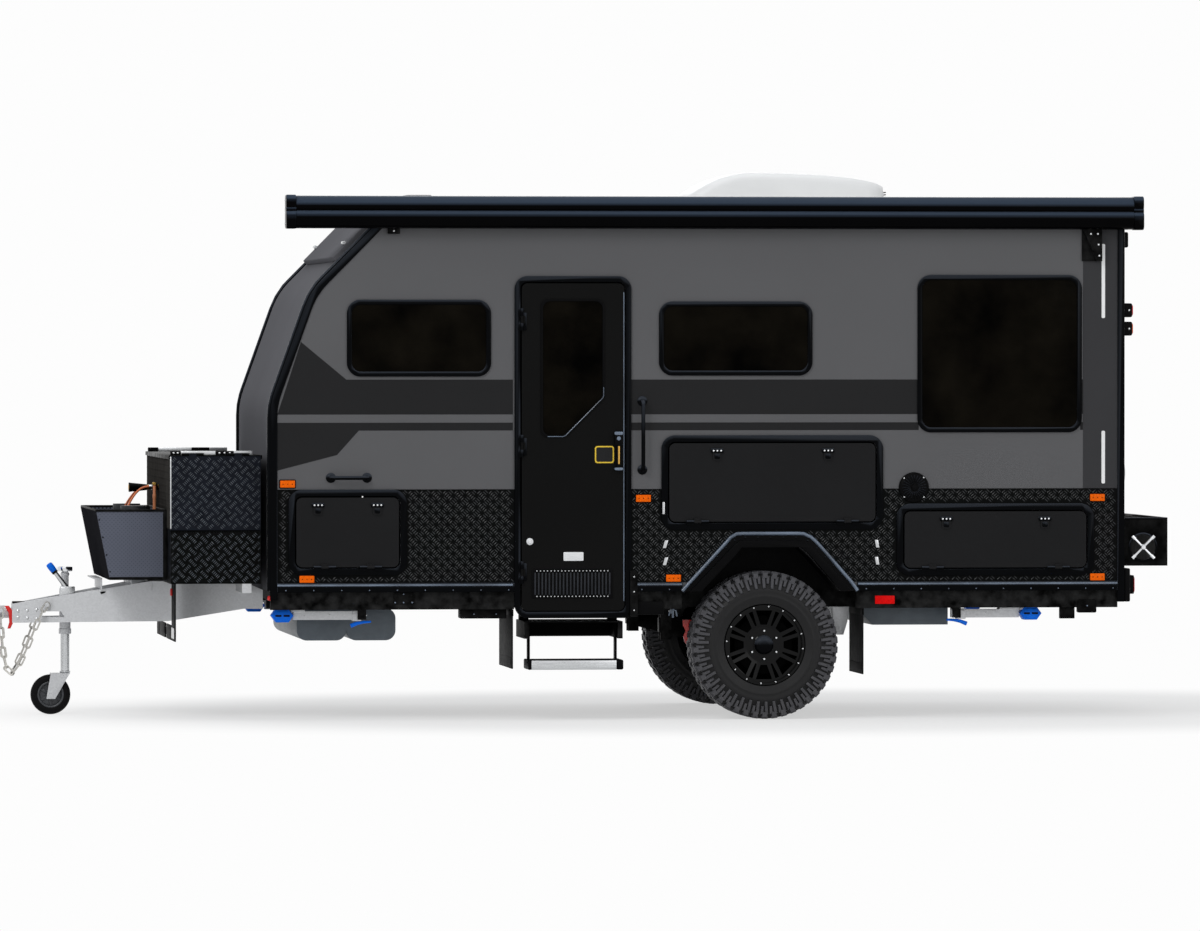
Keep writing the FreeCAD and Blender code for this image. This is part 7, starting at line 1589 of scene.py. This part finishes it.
class TRAILER_OT_rear(Maker, bpy.types.Operator):
    """Rear lamps, pod, bumper, carrier with its wheel brace, blocks, joints and the plate's holder"""
    bl_idname = "trailer.rear"
    bl_label = "Rear"

    def execute(self, context):
        # One node holds the lamp blocks of the wall, those of the bumper, and the pod between them.
        softened("rear_lamps", "rear_lamp_blocks", "black_abs", 0.01, segments=3,
                 keep=lambda co: co.z > 1.9)
        softened("rear_lamps", "bumper_lamp_blocks", "black_abs", 0.006, segments=3,
                 keep=lambda co: co.z < 1.0)
        softened("rear_lamps", "rear_pod", "black_trim", 0.001, limit=60,
                 keep=lambda co: 1.0 < co.z < 1.9, move=lambda co: Vector((co.x, co.y - 0.9, co.z)))
        softened("rear_bumper", "rounded_bumper", "black_abs", 0.008, segments=3)
        # The photograph shows the carrier's end level with the side wall.
        softened("rear_carrier", "rounded_carrier", "black_coat", 0.0015,
                 move=lambda co: Vector((co.x, co.y + math.copysign(0.44, co.y), co.z)))
        for name, x, z0, z1, looks in (("upper_lenses", 2993.5, 2178, 2234, "red_lens"),
                ("lower_lenses", 2993.5, 2078, 2134, "amber_lens"),
                        ("bumper_lenses", 3003.5, 676, 758, "red_lens")):
            lens = shape_of(prism, rounded((-1010, -910), (z0, z1), 14, 5), x - 2, 7, "yz", round_by=2.5)
            with_twin(lens)
            done(lens, name, looks)
        spots = [(2975, -1020.5, z) for z in (2206, 2106)]
        studs(stud(5, 2), "lamp_block_screws", "stainless", mirrored(spots))
        blocks = shape_of(block, (2934, -1010, 2546), (2973, -900, 2630), 9, 3)
        with_twin(blocks)
        block(blocks, (2934, -300, 2560), (2962, 300, 2596), 8, 3)
        done(blocks, "rear_top_blocks", "black_abs")
        bar = shape_of(prism, rounded((-280, 280), (2566, 2590), 8, 4), 2961, 4, "yz", round_by=1.5)
        done(bar, "high_brake_lamp", "red_lens")
        brace = bmesh.new()
        cx, cz = BRACE
        reach = 58

        def spot(share, lean):
            """A place on an arm of the brace, as a share of its reach from the middle."""
            return cx + share * reach, -1088, cz + share * reach * lean

        for lean in (1, -1):
            tube(brace, [spot(-1, lean), spot(0, lean), spot(1, lean)], [8, 6.5, 8], 12)
            for sign in (-1, 1):
                tube(brace, [spot(sign * 0.78, lean), spot(sign * 1.04, lean)], 11, 12)
        turned(brace, [(-1102, 0), (-1102, 12), (-1098, 15), (-1080, 15)], (cx, 0, cz), "y", 24)
        done(brace, "wheel_brace", "chrome", sharp=50)
        rims = bmesh.new()
        for y in (-1081.5, 1081.5):
            ring_of(rims, [(-2.5, 69), (-2.5, 77), (-1, 79), (1, 79), (2.5, 77), (2.5, 69)], (cx, y, cz),
                    "y", 40)
        block(rims, (2936, -1083, 1072), (3176, -1077, 1083), 2.5)
        block(rims, (2936, 1077, 1072), (3176, 1083, 1083), 2.5)
        block(rims, (3168, -1080, 1072), (3176, 1080, 1083), 2.5)
        done(rims, "carrier_rims", "black_trim")
        holder = shape_of(prism, rounded((-275, 275), (640, 770), 10, 4), 2966, 6, "yz", round_by=2)
        done(holder, "plate_holder", "black_trim")
        plate = shape_of(prism, rounded((-262, 262), (650, 760), 6, 4), 2971, 3, "yz", round_by=1)
        done(plate, "blank_plate", "white_film", slot="white_panel")
        joints = bmesh.new()
        for z in (1255, 2440):
            block(joints, (2932, -1060, z - 6), (2939, 1060, z + 6), 2)
        done(joints, "rear_wall_joints", "black_trim", slot="gloss_black_moulding")
        studs(stud(20, 4, axis="x", sides=28), "rear_reflectors", "red_lens",
              [(2968, y, 700) for y in (-820, 820)])
        return {"FINISHED"}


class TRAILER_OT_underside(Maker, bpy.types.Operator):
    """Tanks, rail boxes, brackets, sockets, shackles and mud flaps under the floor"""
    bl_idname = "trailer.underside"
    bl_label = "Underside"

    def execute(self, context):
        softened("water_tanks", "rounded_tanks", "dark_polyethylene", 0.02,
                 segments=3)
        boxes = shape_of(block, (-1039, -1092, 626), (-929, -1060, 688), 4)
        block(boxes, (2681, -1096, 568), (2784, -1040, 640), 8, 3)
        block(boxes, (2588, -1070, 536), (2668, -1030, 600), 3)
        block(boxes, (-672, -1040, 546), (-424, -900, 597), 5)
        with_twin(boxes)
        done(boxes, "rail_boxes", "black_coat")
        spots = [(-1030, -1092.5, 635), (-985, -1092.5, 635), (-939, -1092.5, 635), (-985, -1092.5, 680),
                 (2732, -1096.5, 606), (-600, -1040.5, 570), (-480, -1040.5, 570)]
        # The bolts take the pale painted-highlight tone as their glint.
        studs(stud(4, 1.8), "rail_box_bolts", "painted_highlight_edge", mirrored(spots))
        silver = bmesh.new()
        for x0, x1 in ((2263, 2365), (2378, 2462)):
            prism(silver, ((x0 + 10, 600), (x1, 600), (x1 - 12, 585), (x0 - 4, 585)), -1012, 80, round_by=1.5)
        block(silver, (-1672, -1012, 598), (-1590, -932, 640), 2)
        # A damper's upper bracket has two cheeks, with its bolt through both.
        for y in (-850, -800):
            prism(silver, ((1377, 597), (1457, 597), (1457, 520), (1435, 446), (1399, 446), (1377, 470)), y,
                  8, round_by=1.5)
        turned(silver, [(-856, 0), (-856, 11), (-786, 11), (-786, 0)], (1417, 0, 480), "y", 6)
        with_twin(silver)
        done(silver, "leg_and_damper_brackets", "galvanised_steel")
        tag = shape_of(prism, rounded((-690, -500), (430, 488), 8, 4), -2192.5, 3, "yz", round_by=0.8)
        done(tag, "front_flap_tag", "white_film", slot="white_panel")
        sockets = shape_of(block, (-2201, -560, 660), (-2188, -520, 700), 5, 3)
        turned(sockets, [(-1716, 0), (-1715, 9), (-1711, 13), (-1699, 14)], (0, -1066, 660), "x", 20)
        done(sockets, "red_sockets", "red_plastic", slot="red_lens")
        # The photograph shows this red bracket ahead of the near wheel.
        bracket = shape_of(prism, ((556, 530), (640, 530), (640, 392), (600, 388), (572, 402), (560, 440),
                (574, 470), (558, 500)), -835, 14, round_by=3)
        done(bracket, "damper_brackets", "red_coat")
        # The clips take the pale painted-highlight tone.
        shackle = bmesh.new()
        for side in (-1, 1):
            tube(shackle, [(474, side * 1064, 598), (474, side * 1072, 585), (474, side * 1072, 548)], 6, 10)
            tube(shackle, [(452, side * 1072, 560), (458, side * 1076, 585), (474, side * 1076, 594),
                           (490, side * 1076, 585), (496, side * 1072, 556)], 4.5, 10)
            turned(shackle, [(-8, 0), (-8, 14), (8, 14), (8, 0)], (466, side * 1066, 583), "y", 6)
        done(shackle, "shackle_clips", "painted_highlight_edge", sharp=60)
        flaps = bmesh.new()
        for x, y0, y1, z0, z1 in FLAPS:
            block(flaps, (x, y0, z0), (x + 8, y1, z1), 1.5)
            prism(flaps, rounded((min(y0, y1) + 25, max(y0, y1) - 25), (z0 + 22, z0 + 60), 8, 3), x - 2, 12,
                  "yz", round_by=1)
        done(flaps, "rubber_flaps", "black_rubber", instead_of=("mud_flaps",))
        bars = bmesh.new()
        for x, inner in ((-405.5, -465), (1497.5, -625)):
            block(bars, (x, -1098, 560), (x + 13, inner, 596), 2)
        with_twin(bars)
        done(bars, "flap_bars", "black_coat")
        return {"FINISHED"}


STEPS = (TRAILER_OT_stage, TRAILER_OT_gas_hoses, TRAILER_OT_finishes, TRAILER_OT_frames, TRAILER_OT_stripes,
         TRAILER_OT_tread_plate, TRAILER_OT_door, TRAILER_OT_hatches, TRAILER_OT_wall_fittings,
         TRAILER_OT_arches, TRAILER_OT_box, TRAILER_OT_basket, TRAILER_OT_drawbar, TRAILER_OT_jockey,
         TRAILER_OT_legs, TRAILER_OT_step, TRAILER_OT_roof, TRAILER_OT_rear, TRAILER_OT_underside,
         TRAILER_OT_tyres, TRAILER_OT_rims)


class TRAILER_PT_panel(bpy.types.Panel):
    """Shows the trailer's colours, sizes and steps"""
    bl_idname = "TRAILER_PT_panel"
    bl_label = "Off-road travel trailer"
    bl_space_type = "VIEW_3D"
    bl_region_type = "UI"
    bl_category = "Trailer"

    def draw(self, context):
        column = self.layout.column()
        for group in (context.scene.trailer_paint, context.scene.trailer_trim):
            for name in group.__annotations__:
                column.prop(group, name)
        for step in STEPS:
            column.operator(step.bl_idname)


CLASSES = (TrailerPaint, TrailerTrim) + STEPS + (TRAILER_PT_panel,)


def register():
    for one in CLASSES:
        bpy.utils.register_class(one)
    bpy.types.Scene.trailer_paint = bpy.props.PointerProperty(type=TrailerPaint)
    bpy.types.Scene.trailer_trim = bpy.props.PointerProperty(type=TrailerTrim)


def unregister():
    del bpy.types.Scene.trailer_trim
    del bpy.types.Scene.trailer_paint
    for one in reversed(CLASSES):
        bpy.utils.unregister_class(one)


def main():
    """Builds everything."""
    register()
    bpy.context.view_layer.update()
    for step in STEPS:
        group, name = step.bl_idname.split(".")
        getattr(getattr(bpy.ops, group), name)()


if __name__ == "__main__":
    main()
